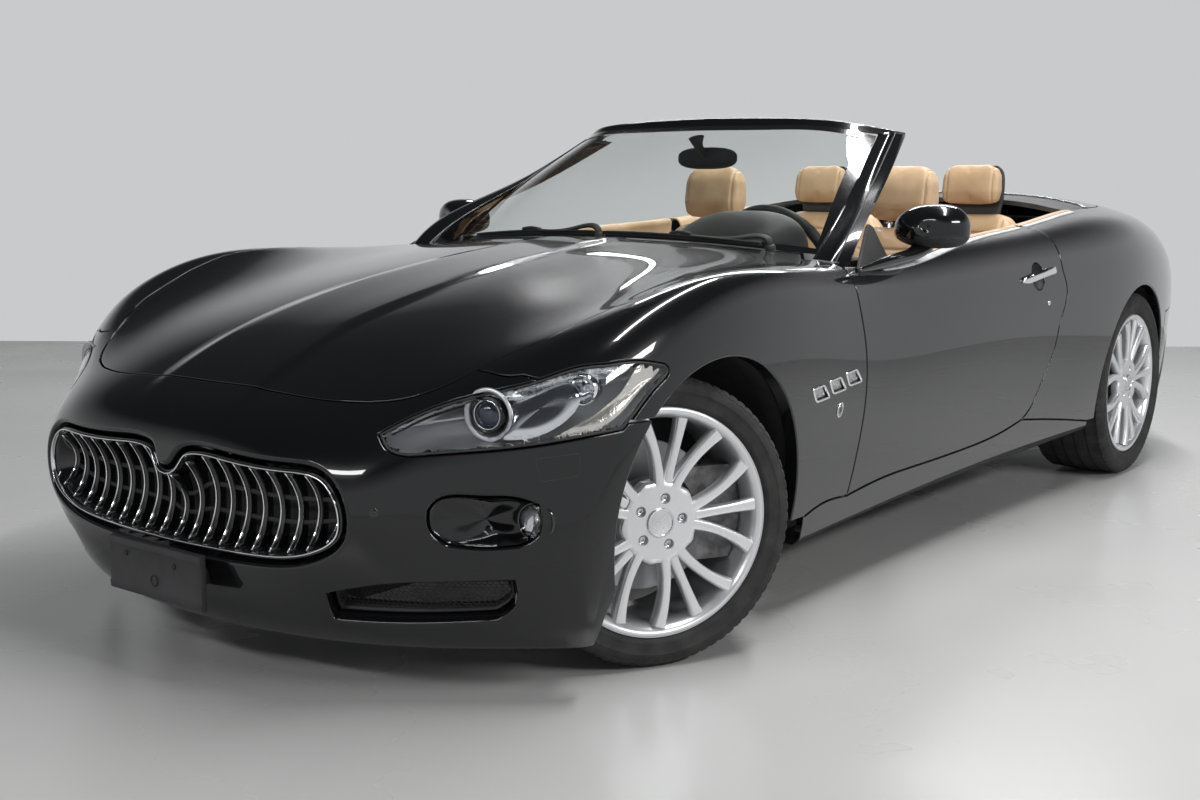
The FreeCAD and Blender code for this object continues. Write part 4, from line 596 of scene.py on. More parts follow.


# Materials. Each has its own colour and roughness, most also a fine relief, all procedural.
class Look:
    """Builds one node material on a Principled shader."""

    def __init__(self, name, colour, rough, metal=0.0, **sockets):
        self.item = bpy.data.materials.new(name)
        self.item.use_nodes = True
        self.nodes = self.item.node_tree.nodes
        self.links = self.item.node_tree.links
        self.shader = self.nodes["Principled BSDF"]
        self.set("Base Color", (*colour, 1))
        self.set("Roughness", rough)
        self.set("Metallic", metal)
        for socket, value in sockets.items():
            self.set(socket.replace("_", " "), value)
        self.height = None

    def set(self, socket, value):
        self.shader.inputs[socket].default_value = value

    def add(self, kind, **values):
        node = self.nodes.new(kind)
        for key, value in values.items():
            if key in node.inputs:
                node.inputs[key].default_value = value
            else:
                setattr(node, key, value)
        return node

    def coordinates(self, scale=(1, 1, 1)):
        place = self.add("ShaderNodeTexCoord")
        mapping = self.add("ShaderNodeMapping")
        mapping.inputs["Scale"].default_value = scale
        self.links.new(place.outputs["Object"], mapping.inputs["Vector"])
        return mapping.outputs["Vector"]

    def noise(self, size, detail=4.0, stretch=(1, 1, 1)):
        node = self.add("ShaderNodeTexNoise", Scale=1 / size, Detail=detail)
        self.links.new(self.coordinates(stretch), node.inputs["Vector"])
        return node.outputs["Fac"]

    def cells(self, size, feature="F1", stretch=(1, 1, 1)):
        node = self.add("ShaderNodeTexVoronoi", Scale=1 / size, feature=feature)
        self.links.new(self.coordinates(stretch), node.inputs["Vector"])
        return node.outputs["Distance"]

    def ramp(self, source, low, high, start=0.0, end=1.0):
        """The source turned into a range of values or colours."""
        if isinstance(low, tuple):
            node = self.add("ShaderNodeValToRGB")
            node.color_ramp.elements[0].position = start
            node.color_ramp.elements[1].position = end
            node.color_ramp.elements[0].color = (*low, 1)
            node.color_ramp.elements[1].color = (*high, 1)
            self.links.new(source, node.inputs["Fac"])
            return node.outputs["Color"]
        node = self.add("ShaderNodeMapRange")
        node.inputs["From Min"].default_value = start
        node.inputs["From Max"].default_value = end
        node.inputs["To Min"].default_value = low
        node.inputs["To Max"].default_value = high
        self.links.new(source, node.inputs["Value"])
        return node.outputs["Result"]

    def drive(self, socket, output):
        self.links.new(output, self.shader.inputs[socket])

    def relief(self, source, strength, distance):
        """One more layer of bump on what is there already."""
        bump = self.add("ShaderNodeBump", Strength=strength, Distance=distance)
        self.links.new(source, bump.inputs["Height"])
        if self.height is not None:
            self.links.new(self.height, bump.inputs["Normal"])
        self.height = bump.outputs["Normal"]
        self.links.new(self.height, self.shader.inputs["Normal"])


def paint_look():
    look = Look("black_paint", (0.0035, 0.0036, 0.0042), 0.22, Coat_Weight=1.0, Coat_Roughness=0.015,
                Specular_IOR_Level=0.12)
    look.drive("Base Color", look.ramp(look.noise(0.0016, 2.0), (0.0022, 0.0023, 0.0028),
                                       (0.0075, 0.0078, 0.009)))
    look.drive("Roughness", look.ramp(look.noise(0.35), 0.16, 0.27))
    look.relief(look.noise(0.0042, 1.0), 0.035, 0.0004)
    return look.item


def plastic_look(name, colour, rough=0.55, grain=0.0011, depth=0.00012):
    """Moulded plastic with a fine leather-like grain."""
    look = Look(name, colour, rough)
    pale = tuple(min(1.0, c * 1.5 + 0.004) for c in colour)
    look.drive("Base Color", look.ramp(look.noise(0.06), colour, pale, 0.35, 0.75))
    look.drive("Roughness", look.ramp(look.noise(0.02), rough * 0.86, min(1.0, rough * 1.14)))
    look.relief(look.cells(grain), 0.5, depth)
    return look.item


def gloss_black_look():
    look = Look("gloss_black", (0.006, 0.006, 0.0065), 0.12, Coat_Weight=0.7, Coat_Roughness=0.03)
    look.drive("Roughness", look.ramp(look.noise(0.03), 0.09, 0.16))
    look.relief(look.noise(0.005, 1.0), 0.03, 0.0003)
    return look.item


def chrome_look():
    look = Look("chrome", (0.86, 0.87, 0.89), 0.07, 1.0)
    look.drive("Roughness", look.ramp(look.noise(0.025), 0.04, 0.12))
    look.relief(look.noise(0.008, 1.0), 0.02, 0.0002)
    return look.item


def satin_look():
    look = Look("satin_metal", (0.72, 0.73, 0.75), 0.28, 1.0)
    look.drive("Roughness", look.ramp(look.noise(0.012), 0.22, 0.34))
    return look.item


def wheel_look():
    """Silver lacquer over aluminium, with fine flakes."""
    look = Look("wheel_silver", (0.74, 0.75, 0.77), 0.30, 0.72, Coat_Weight=0.55, Coat_Roughness=0.06)
    look.drive("Base Color", look.ramp(look.noise(0.0009, 2.0), (0.66, 0.67, 0.69), (0.84, 0.85, 0.87), 0.3,
                                       0.7))
    look.drive("Roughness", look.ramp(look.noise(0.05), 0.26, 0.36))
    look.relief(look.cells(0.0008), 0.06, 0.0001)
    return look.item


def tyre_look():
    look = Look("tyre_rubber", (0.018, 0.018, 0.018), 0.78)
    look.drive("Base Color", look.ramp(look.noise(0.05), (0.012, 0.012, 0.0125), (0.032, 0.031, 0.030), 0.35,
                                       0.7))
    look.drive("Roughness", look.ramp(look.noise(0.015), 0.68, 0.88))
    look.relief(look.noise(0.0025), 0.3, 0.0003)
    return look.item


def cast_look():
    look = Look("cast_metal", (0.20, 0.20, 0.205), 0.55, 0.8)
    look.drive("Base Color", look.ramp(look.noise(0.03), (0.10, 0.095, 0.09), (0.27, 0.27, 0.28), 0.3, 0.7))
    look.relief(look.noise(0.002), 0.4, 0.0004)
    return look.item


def disc_look():
    look = Look("brake_disc", (0.36, 0.36, 0.37), 0.36, 1.0)
    look.drive("Roughness", look.ramp(look.noise(0.004), 0.28, 0.46))
    look.relief(look.noise(0.0012), 0.2, 0.0002)
    return look.item


def leather_look(name, dark, light, rough=0.42):
    """Grained leather: pebbles over soft creases, its tone a little paler in random patches."""
    look = Look(name, light, rough, Sheen_Weight=0.12, Sheen_Roughness=0.5)
    look.drive("Base Color", look.ramp(look.noise(0.09, 5.0), dark, light, 0.28, 0.72))
    look.drive("Roughness", look.ramp(look.noise(0.03), rough * 0.85, rough * 1.2))
    look.relief(look.noise(0.045, 5.0), 0.10, 0.0025)
    look.relief(look.cells(0.0019), 0.35, 0.00035)
    return look.item


def glass_look(name, tint, rough=0.0, ior=1.45):
    look = Look(name, tint, rough, Transmission_Weight=1.0, IOR=ior)
    look.relief(look.noise(0.5, 1.0), 0.01, 0.0004)
    return look.item


def red_lens_look():
    look = Look("red_lens", (0.42, 0.008, 0.012), 0.08, Coat_Weight=1.0, Coat_Roughness=0.02)
    look.drive("Base Color", look.ramp(look.cells(0.006), (0.55, 0.012, 0.015), (0.20, 0.002, 0.004), 0.0,
                                       0.8))
    look.relief(look.cells(0.006), 0.2, 0.0006)
    return look.item


def carpet_look():
    look = Look("carpet", (0.016, 0.016, 0.017), 0.95, Sheen_Weight=0.3)
    look.drive("Base Color", look.ramp(look.noise(0.004), (0.008, 0.008, 0.009), (0.035, 0.034, 0.034), 0.3,
                                       0.7))
    look.relief(look.noise(0.0015), 0.8, 0.001)
    return look.item


def shelf_look():
    """Dark grained moulding with ribs across the car."""
    look = Look("shelf_plastic", (0.05, 0.05, 0.052), 0.6)
    look.drive("Base Color", look.ramp(look.noise(0.05), (0.035, 0.035, 0.037), (0.075, 0.075, 0.078), 0.3,
                                       0.7))
    wave = look.add("ShaderNodeTexWave", Scale=9.0, bands_direction="Y")
    look.links.new(look.coordinates(), wave.inputs["Vector"])
    look.relief(wave.outputs["Fac"], 0.6, 0.004)
    look.relief(look.cells(0.0011), 0.4, 0.00012)
    return look.item


PAINT = paint_look()
SHELF = shelf_look()
GLOSS = gloss_black_look()
MATT = plastic_look("matt_black", (0.012, 0.012, 0.0125), 0.6)
DARK = plastic_look("dark_plastic", (0.022, 0.022, 0.024), 0.5)
UNDER = plastic_look("under_shield", (0.010, 0.010, 0.010), 0.8, 0.004, 0.0004)
CHROME = chrome_look()
BELT = plastic_look("belt_metal", (0.46, 0.47, 0.48), 0.34, 0.004, 0.00004)
SATIN = satin_look()
SILVER = wheel_look()
RUBBER = tyre_look()
CAST = cast_look()
DISC = disc_look()
TAN = leather_look("tan_leather", (0.50, 0.335, 0.19), (0.66, 0.47, 0.29))
BLACK_LEATHER = leather_look("black_leather", (0.010, 0.010, 0.011), (0.024, 0.023, 0.023), 0.5)
SCREEN_GLASS = glass_look("screen_glass", (0.93, 0.97, 0.95))
LENS = glass_look("lamp_lens", (0.97, 0.98, 0.99))
RED = red_lens_look()
CARPET = carpet_look()


# Plain building helpers
def loft(name, rows, ring=True, loop=False, caps=True):
    """A surface through rows of points. ring joins each row's ends, loop the last row to the first."""
    rows = np.asarray(rows, float)
    count, width = rows.shape[:2]
    points = rows.reshape(-1, 3)
    polygons = []
    for i in range(count if loop else count - 1):
        after = (i + 1) % count
        for j in range(width if ring else width - 1):
            beside = (j + 1) % width
            polygons.append((i * width + j, i * width + beside, after * width + beside, after * width + j))
    if caps and not loop and ring:
        polygons.append(tuple(range(width))[::-1])
        polygons.append(tuple(range((count - 1) * width, count * width)))
    item = make_mesh(name, points, polygons)
    faced_out(item)
    return item


def faced_out(item):
    shape = bmesh.new()
    shape.from_mesh(item.data)
    bmesh.ops.remove_doubles(shape, verts=shape.verts, dist=1e-6)
    bmesh.ops.recalc_face_normals(shape, faces=shape.faces)
    shape.to_mesh(item.data)
    shape.free()
    return item


def sharpen(item, angle=40):
    """Smooth shading that breaks at sharp edges."""
    item.data.polygons.foreach_set("use_smooth", [True] * len(item.data.polygons))
    item.data.set_sharp_from_angle(angle=math.radians(angle))
    return item


def round_section(radius, sides=10, flat=1.0):
    angles = np.linspace(0, 2 * math.pi, sides, endpoint=False)
    return np.stack([radius * np.cos(angles), radius * flat * np.sin(angles)], -1)


def box_section(width, height, round_off, steps=3):
    """A rectangle with rounded corners, about its middle."""
    spots = []
    for turn, (x, y) in enumerate(((1, 1), (-1, 1), (-1, -1), (1, -1))):
        for step in range(steps + 1):
            angle = math.pi / 2 * (turn + step / steps)
            spots.append((x * (width / 2 - round_off) + round_off * math.cos(angle),
                          y * (height / 2 - round_off) + round_off * math.sin(angle)))
    return np.array(spots)


def sweep(name, line, section, up=None, closed=False, sizes=None):
    """A section carried along a line of points. up gives the section's second axis at each point."""
    line = np.asarray(line, float)
    if closed:
        tangent = unit(np.roll(line, -1, 0) - np.roll(line, 1, 0))
    else:
        tangent = unit(np.gradient(line, axis=0))
    up = np.broadcast_to(UP if up is None else np.asarray(up, float), line.shape)
    side = unit(np.cross(tangent, up))
    top = np.cross(side, tangent)
    scale = np.ones(len(line)) if sizes is None else np.asarray(sizes, float)
    flat = section[None] * scale[:, None, None]
    rows = line[:, None] + side[:, None] * flat[..., :1] + top[:, None] * flat[..., 1:]
    return loft(name, rows, loop=closed)


def spline(points, count):
    """Evenly spaced points along a smooth line."""
    points = np.asarray(points, float)
    length = np.linalg.norm(np.diff(points, axis=0), axis=1).sum()
    line = smooth_line(points, length / (count - 1) * 0.999)
    return line[np.linspace(0, len(line) - 1, count).round().astype(int)]


def turned(name, profile, place=(0, 0, 0), axis=(0, 0, 1), sides=48, closed=False):
    """A ring turned about an axis from pairs of radius and height; closed joins the profile's ends."""
    profile = np.asarray(profile, float)
    angles = np.linspace(0, 2 * math.pi, sides, endpoint=False)
    around = np.stack([np.cos(angles), np.sin(angles)], -1)
    rows = np.zeros((sides, len(profile), 3))
    rows[..., 0] = around[:, :1] * profile[:, 0]
    rows[..., 1] = around[:, 1:] * profile[:, 0]
    rows[..., 2] = profile[:, 1]
    turn = np.array(Vector((0, 0, 1)).rotation_difference(Vector(axis)).to_matrix())
    rows = rows @ turn.T + np.array(place)
    item = loft(name, rows, ring=closed, loop=True, caps=False)
    return item


def joined(name, *items):
    """Several meshes made one."""
    shape = bmesh.new()
    for item in items:
        shape.from_mesh(item.data)
    mesh = bpy.data.meshes.new(name)
    shape.to_mesh(mesh)
    shape.free()
    for item in items:
        bpy.data.objects.remove(item)
    result = bpy.data.objects.new(name, mesh)
    bpy.context.scene.collection.objects.link(result)
    mesh.polygons.foreach_set("use_smooth", [True] * len(mesh.polygons))
    return result


def bevelled(item, width, segments=2, angle=35):
    """Rounded edges, with flat faces kept flat."""
    shape = bmesh.new()
    shape.from_mesh(item.data)
    edges = [edge for edge in shape.edges
             if edge.is_manifold and edge.calc_face_angle(0) > math.radians(angle)]
    bmesh.ops.bevel(shape, geom=edges, offset=width, segments=segments, affect="EDGES", profile=0.7)
    shape.to_mesh(item.data)
    shape.free()
    item.data.polygons.foreach_set("use_smooth", [True] * len(item.data.polygons))
    item.data.set_sharp_from_angle(angle=math.radians(angle))
    return item


def with_both_sides(item, name, body, material, slot, *nodes):
    """Finishes a piece of the left side together with its mirror image on the same body."""
    other = mirrored_piece(item, name + "_right")
    finish_piece(item, body, material, slot, *nodes)
    finish_piece(other, body, material, slot)
    return item, other


def glass_panel(name, outer, thickness, sink=0.0, grid=(GRID_U, GRID_V)):
    """A closed pane that follows the skin inside an outline."""
    item = panel_mesh(name, outer, [], grid=grid, sink=sink)
    return pane(item, thickness)


def pane(item, thickness):
    """Closes a sheet into a pane of the given thickness."""
    shape = bmesh.new()
    shape.from_mesh(item.data)
    bmesh.ops.solidify(shape, geom=shape.faces, thickness=thickness)
    shape.to_mesh(item.data)
    shape.free()
    item.data.polygons.foreach_set("use_smooth", [True] * len(item.data.polygons))
    return item


# Shutlines, as in the CAD model. Seen from above: pairs of width share and length share.
HOOD_SHARES = [
    [(0.0, -0.927), (0.209, -0.927), (0.418, -0.922), (0.501, -0.913)],
    [(0.501, -0.913), (0.564, -0.901), (0.621, -0.883), (0.684, -0.849), (0.731, -0.819), (0.768, -0.797),
     (0.802, -0.758), (0.836, -0.717), (0.865, -0.676), (0.888, -0.635), (0.900, -0.594), (0.904, -0.533),
     (0.902, -0.452)],
    [(0.902, -0.452), (0.800, -0.370), (0.686, -0.296)],
    [(0.686, -0.296), (0.595, -0.319), (0.399, -0.338), (0.0, -0.353)],
]
CABIN_SIDE_SHARES = [(0.900, -0.350), (0.903, -0.242), (0.872, -0.080), (0.815, 0.105), (0.782, 0.300),
                     (0.755, 0.480)]
TONNEAU_SHARES = [
    [(0.0, 0.506), (0.600, 0.501), (0.742, 0.488)],
    [(0.742, 0.488), (0.738, 0.590), (0.700, 0.668), (0.640, 0.712)],
    [(0.640, 0.712), (0.400, 0.722), (0.0, 0.726)],
]
# The dark shelf ahead of the cover's gloss part ends at a bright strip.
TONNEAU_STRIP_SHARES = [[(0.738, 0.575), (0.690, 0.592), (0.560, 0.604), (0.300, 0.612), (0.0, 0.614)]]
TONNEAU_FRONT_SIDE = [[(0.742, 0.488), (0.741, 0.530), (0.738, 0.575)]]
TONNEAU_REAR_SIDE = [[(0.738, 0.575), (0.728, 0.620), (0.700, 0.668), (0.640, 0.712)]]
TRUNK_FRONT_SHARES = [(0.0, 0.729), (0.400, 0.725), (0.645, 0.716)]
TRUNK_SIDE_SHARES = [(0.645, 0.716), (0.640, 0.780), (0.624, 0.850), (0.606, 0.905)]
COWL_SHARES = [
    [(0.0, -0.3500), (0.399, -0.3350), (0.595, -0.3160), (0.686, -0.2930)],
    [(0.686, -0.2930), (0.783, -0.3540)],
    [(0.783, -0.3540), (0.860, -0.3540)],
    [(0.860, -0.3540), (0.860, -0.2600)],
    [(0.860, -0.2600), (0.700, -0.2700), (0.585, -0.2850), (0.313, -0.3080), (0.0, -0.3160)],
]
# Seen from the side: pairs of length share and height share.
DOOR_FRONT_SHARES = [(-0.355, 0.835), (-0.354, 0.774), (-0.344, 0.669), (-0.338, 0.558), (-0.344, 0.430),
                     (-0.362, 0.269)]
DOOR_BOTTOM_SHARES = [(-0.362, 0.269), (-0.271, 0.284), (-0.187, 0.285), (-0.036, 0.287), (0.081, 0.304),
                      (0.138, 0.325)]
DOOR_REAR_SHARES = [(0.138, 0.325), (0.161, 0.354), (0.192, 0.443), (0.221, 0.542), (0.235, 0.640),
                    (0.2555, 0.732), (0.249, 0.790)]
WING_FOOT_SHARES = [(-0.362, 0.269), (-0.430, 0.270), (-0.462, 0.253)]
SILL_EDGE_SHARES = [(0.385, 0.231), (0.200, 0.227), (0.0, 0.221), (-0.200, 0.210), (-0.400, 0.197),
                    (-0.462, 0.193)]
LAMP_SPLIT_SHARES = [(-0.7335, 0.5915), (-0.767, 0.590), (-0.818, 0.5890)]
QUARTER_FOOT_SHARES = [(0.138, 0.325), (0.230, 0.300), (0.385, 0.250)]
REAR_SPLIT_SHARES = [(0.730, 0.590), (0.800, 0.600), (0.862, 0.636)]
VENT_SHARES = [(-0.473, 0.5815), (-0.446, 0.587), (-0.430, 0.5505), (-0.462, 0.545)]
VENT_STEP_SHARES = (0.0390, 0.0105)
# Bumper and wing part again between bonnet and lamp, seen from above.
NOSE_SPLIT_SHARES = [(0.50, -0.8495), (0.708, -0.8486), (0.778, -0.8453), (0.800, -0.8400)]
# Seen from the front or the back: pairs of width share and height share.
MOUTH_SHARES = [
    [(0.0, 0.462), (0.018, 0.466), (0.034, 0.484), (0.052, 0.504), (0.082, 0.5135), (0.200, 0.5145),
     (0.399, 0.511), (0.519, 0.496), (0.568, 0.438), (0.562, 0.358), (0.500, 0.315), (0.307, 0.282),
     (0.0, 0.274)],
]
INTAKE_SHARES = [
    [(0.480, 0.196), (0.488, 0.238)],
    [(0.488, 0.238), (0.628, 0.268), (0.730, 0.273), (0.842, 0.278)],
    [(0.842, 0.278), (0.838, 0.225), (0.801, 0.192)],
    [(0.801, 0.192), (0.640, 0.180), (0.480, 0.176)],
]
FOG_SHARES = [
    [(0.699, 0.424), (0.711, 0.444), (0.785, 0.452), (0.848, 0.448), (0.880, 0.434)],
    [(0.880, 0.434), (0.886, 0.401), (0.882, 0.371), (0.852, 0.349)],
    [(0.852, 0.349), (0.785, 0.345), (0.730, 0.352)],
    [(0.730, 0.352), (0.705, 0.378), (0.699, 0.424)],
]
TRUNK_TAIL_SHARES = [(0.606, 0.950), (0.596, 0.880), (0.587, 0.760), (0.585, 0.660)]
TAIL_LAMP_SHARES = [
    [(0.560, 0.700), (0.720, 0.705), (0.860, 0.745)],
    [(0.860, 0.745), (0.895, 0.785), (0.860, 0.812)],
    [(0.860, 0.812), (0.700, 0.806), (0.560, 0.785)],
]
# The headlamp seen square on: share across from the car's corner, and height share.
LAMP_SHARES = [
    [(-0.534, 0.573), (-0.500, 0.605), (-0.434, 0.647), (-0.362, 0.680), (-0.318, 0.705), (-0.286, 0.710)],
    [(-0.286, 0.710), (-0.250, 0.713), (-0.220, 0.702)],
    [(-0.220, 0.702), (-0.215, 0.690), (-0.230, 0.654), (-0.256, 0.601), (-0.270, 0.575)],
    [(-0.270, 0.575), (-0.300, 0.568), (-0.365, 0.551), (-0.445, 0.537), (-0.500, 0.530)],
    [(-0.500, 0.530), (-0.525, 0.545), (-0.534, 0.573)],
]


def traced(drawing, runs):
    return join(*[trace(drawing, run) for run in runs])


def edge_line(start, end):
    """Points along the turned-in edge of the net, from one place of it to another."""
    start, end = np.array(start, float), np.array(end, float)
    length = np.linalg.norm((end - start) * METRIC)
    share = np.linspace(0, 1, max(2, int(length / 0.02)))[:, None]
    return start * (1 - share) + end * share


SKIRT_U = np.linspace(0, 1, 1201)
SKIRT_Y = net_point(np.stack([SKIRT_U, np.ones(1201)], -1))[:, 1]


def skirt_place(length_share):
    """The place of the left skirt's edge at a share of the car's length."""
    return np.array([np.interp(length_share * HALF_LENGTH, SKIRT_Y, SKIRT_U), 1.0])


def both_sides(line):
    return join(line, flipped(line))


def arch_line(axle, radius, hub):
    """The wheel arch: a round opening that runs on down past the skirt."""
    low = 0.235 * DECK_HEIGHT
    start = math.asin((low - hub) / radius)
    angles = np.linspace(start, math.pi - start, 90)
    circle = np.stack([(axle + radius * np.cos(angles)) / HALF_LENGTH,
                       (hub + radius * np.sin(angles)) / DECK_HEIGHT], -1)
    line = locate("side", circle)
    rear = skirt_place(circle[0, 0] + 0.012)
    front = skirt_place(circle[-1, 0] - 0.012)
    beyond = np.array([0, 0.02])
    return join(np.array([rear + beyond, rear]), line, np.array([front, front + beyond]))


hood_line = both_sides(traced("plan", HOOD_SHARES))
lamp_line = traced("lamp", LAMP_SHARES)
front_arch = arch_line(FRONT_AXLE, ARCH_RADIUS["front"], TYRE_RADIUS["front"])
rear_arch = arch_line(REAR_AXLE, ARCH_RADIUS["rear"], TYRE_RADIUS["rear"])
door_front = trace("side", DOOR_FRONT_SHARES)
door_bottom = trace("side", DOOR_BOTTOM_SHARES)
door_rear = trace("side", DOOR_REAR_SHARES)
nose_split = trace("plan", NOSE_SPLIT_SHARES)
lamp_split = trace("side", LAMP_SPLIT_SHARES)
cabin_side = trace("plan", CABIN_SIDE_SHARES)
belt_share = 0.2475
belt_cut = int(np.argmin(np.abs(net_point(cabin_side)[:, 1] - belt_share * HALF_LENGTH)))
door_belt = cabin_side[:belt_cut + 1]
quarter_belt = cabin_side[belt_cut:]
trunk_side = join(trace("plan", TRUNK_SIDE_SHARES), trace("rear", TRUNK_TAIL_SHARES))
tail_lamp_line = traced("rear", TAIL_LAMP_SHARES)

ARCH_EDGE = {"gap": 0, "radius": 0.005, "depth": 0.030}
lamp_hole = Edge(lamp_line, 0.003, 0.003, 0.030)
front_arch_hole = Edge(front_arch, **ARCH_EDGE)
rear_arch_hole = Edge(rear_arch, **ARCH_EDGE)


def other_side(edge):
    return Edge(flipped(edge.line), edge.gap, edge.radius, edge.depth)


def rounded_corners(drawing, corners, radius):
    """An outline through corners of a drawing, each rounded by a radius, as places on the skin."""
    first, second = DRAWINGS[drawing][:2]
    lengths = np.array([np.linalg.norm(first), np.linalg.norm(second)])
    flat = np.asarray(corners, float) * lengths
    spots = []
    for i, corner in enumerate(flat):
        before = unit(flat[i - 1] - corner)
        after = unit(flat[(i + 1) % len(flat)] - corner)
        a, b = corner + before * radius, corner + after * radius
        for t in (0, 0.25, 0.5, 0.75, 1):
            spots.append(a * (1 - t) ** 2 + corner * 2 * t * (1 - t) + b * t * t)
    outline = []
    for i, spot in enumerate(spots):
        after = spots[(i + 1) % len(spots)]
        count = max(1, int(np.linalg.norm(after - spot) / 0.005))
        outline += [spot * (1 - s / count) + after * (s / count) for s in range(count)]
    return locate(drawing, np.array(outline) / lengths)


def vent_corners(step):
    return [(y + VENT_STEP_SHARES[0] * step, z + VENT_STEP_SHARES[1] * step) for y, z in VENT_SHARES]


HANDLE_SPOT = (0.1615, 0.789)
BOWL_RADIUS = 0.050


def handle_outline():
    angles = np.linspace(0, 2 * math.pi, 48, endpoint=False)
    ring = np.stack([HANDLE_SPOT[0] + BOWL_RADIUS * np.cos(angles) / HALF_LENGTH,
                     HANDLE_SPOT[1] + BOWL_RADIUS * 0.92 * np.sin(angles) / DECK_HEIGHT], -1)
    return locate("side", ring)


def side_pair(name, nodes, body_pair, outer, holes, material=None, slot="black_paint", **options):
    """A panel on the left and its mirror image on the right."""
    left = panel_mesh(name + "_left_skin", outer, holes, **options)
    right = mirrored_piece(left, name + "_right_skin")
    for item, body, node in zip((left, right), body_pair, nodes):
        finish_piece(item, body, material or PAINT, slot, *([node] if node else []))
    return left, right


def build_hood():
    item = panel_mesh("hood_skin", Edge(hood_line))
    finish_piece(item, "hood", PAINT, "black_paint", "hood")


def build_fenders():
    outer = join(trace("plan", [(0.60, -0.3555), (0.93, -0.3555)]), door_front,
                 trace("side", WING_FOOT_SHARES), trace("side", [(-0.462, 0.253), (-0.7335, 0.253)]),
                 trace("side", [(-0.7335, 0.253), (-0.7335, 0.5915)]), lamp_split, nose_split[::-1],
                 trace("plan", [(0.50, -0.8495), (0.60, -0.60), (0.60, -0.3555)]))
    vents = []
    for step in range(3):
        vents.append(Edge(rounded_corners("side", vent_corners(step), 0.012), 0, 0.0015, 0.012))
    side_pair("fender", ("fender_left", "fender_right"), ("body", "body"), Edge(outer),
              [Edge(hood_line), lamp_hole, front_arch_hole] + vents)


def build_front_bumper():
    mouth = both_sides(traced("front", MOUTH_SHARES))
    intake = traced("front", INTAKE_SHARES)
    fog = traced("front", FOG_SHARES)
    foot = skirt_place(-0.7335)
    left = join(trace("plan", [(0.0, -0.86), (0.50, -0.8495)]), nose_split, lamp_split[::-1],
                trace("side", [(-0.7335, 0.5915), (-0.7335, 0.235)]), edge_line(foot, (0, 1)),
                edge_line((0, 1), (0, 0.5)))
    holes = [Edge(hood_line), lamp_hole, other_side(lamp_hole), front_arch_hole, other_side(front_arch_hole)]
    holes.append(Edge(mouth, 0, 0.010, 0.022))
    for line, depth in ((intake, 0.045), (fog, 0.004)):
        hole = Edge(line, 0, 0.006, depth)
        holes += [hole, other_side(hole)]
    item = panel_mesh("front_bumper_skin", Edge(both_sides(left)), holes)
    finish_piece(item, "body", PAINT, "black_paint", "front_bumper")


def build_doors():
    outer = join(door_front, door_bottom, door_rear, trace("plan", [(0.965, belt_share), (0.80, belt_share)]),
                 door_belt[::-1], trace("plan", [(0.900, -0.350), (0.930, -0.3555)]))
    side_pair("door", ("door_left", "door_right"), ("door_left", "door_right"), Edge(outer),
              [Edge(handle_outline(), 0, 0.002, 0.004)])


def build_sills():
    outer = join(trace("side", WING_FOOT_SHARES)[::-1], door_bottom, trace("side", QUARTER_FOOT_SHARES),
                 trace("side", SILL_EDGE_SHARES))
    side_pair("sill", ("sill_left", "sill_right"), ("body", "body"), Edge(outer),
              [front_arch_hole, rear_arch_hole])


def build_quarters():
    outer = join(trace("plan", [(0.80, belt_share), (0.965, belt_share)]), door_rear[::-1],
                 trace("side", QUARTER_FOOT_SHARES), trace("side", [(0.385, 0.250), (0.730, 0.250)]),
                 trace("side", [(0.730, 0.250), (0.730, 0.590)]), trace("side", REAR_SPLIT_SHARES),
                 trace("rear", [(0.845, 0.640), (0.585, 0.656)]), trunk_side[::-1],
                 trace("plan", TONNEAU_SHARES[1])[::-1], quarter_belt[::-1])
    side_pair("quarter", ("quarter_left", "quarter_right"), ("body", "body"), Edge(outer),
              [rear_arch_hole, Edge(tail_lamp_line, 0.003, 0.002, 0.02)])
    side_pair("tail_lamp", ("tail_lamps", None), ("body", "body"), Edge(tail_lamp_line, 0.003, 0.003, 0.02),
              [Edge(trunk_outline())], RED, "red_lamp")


def trunk_outline():
    left = join(trace("plan", TRUNK_FRONT_SHARES), trunk_side, trace("rear", [(0.585, 0.660), (0.0, 0.660)]))
    return both_sides(left)


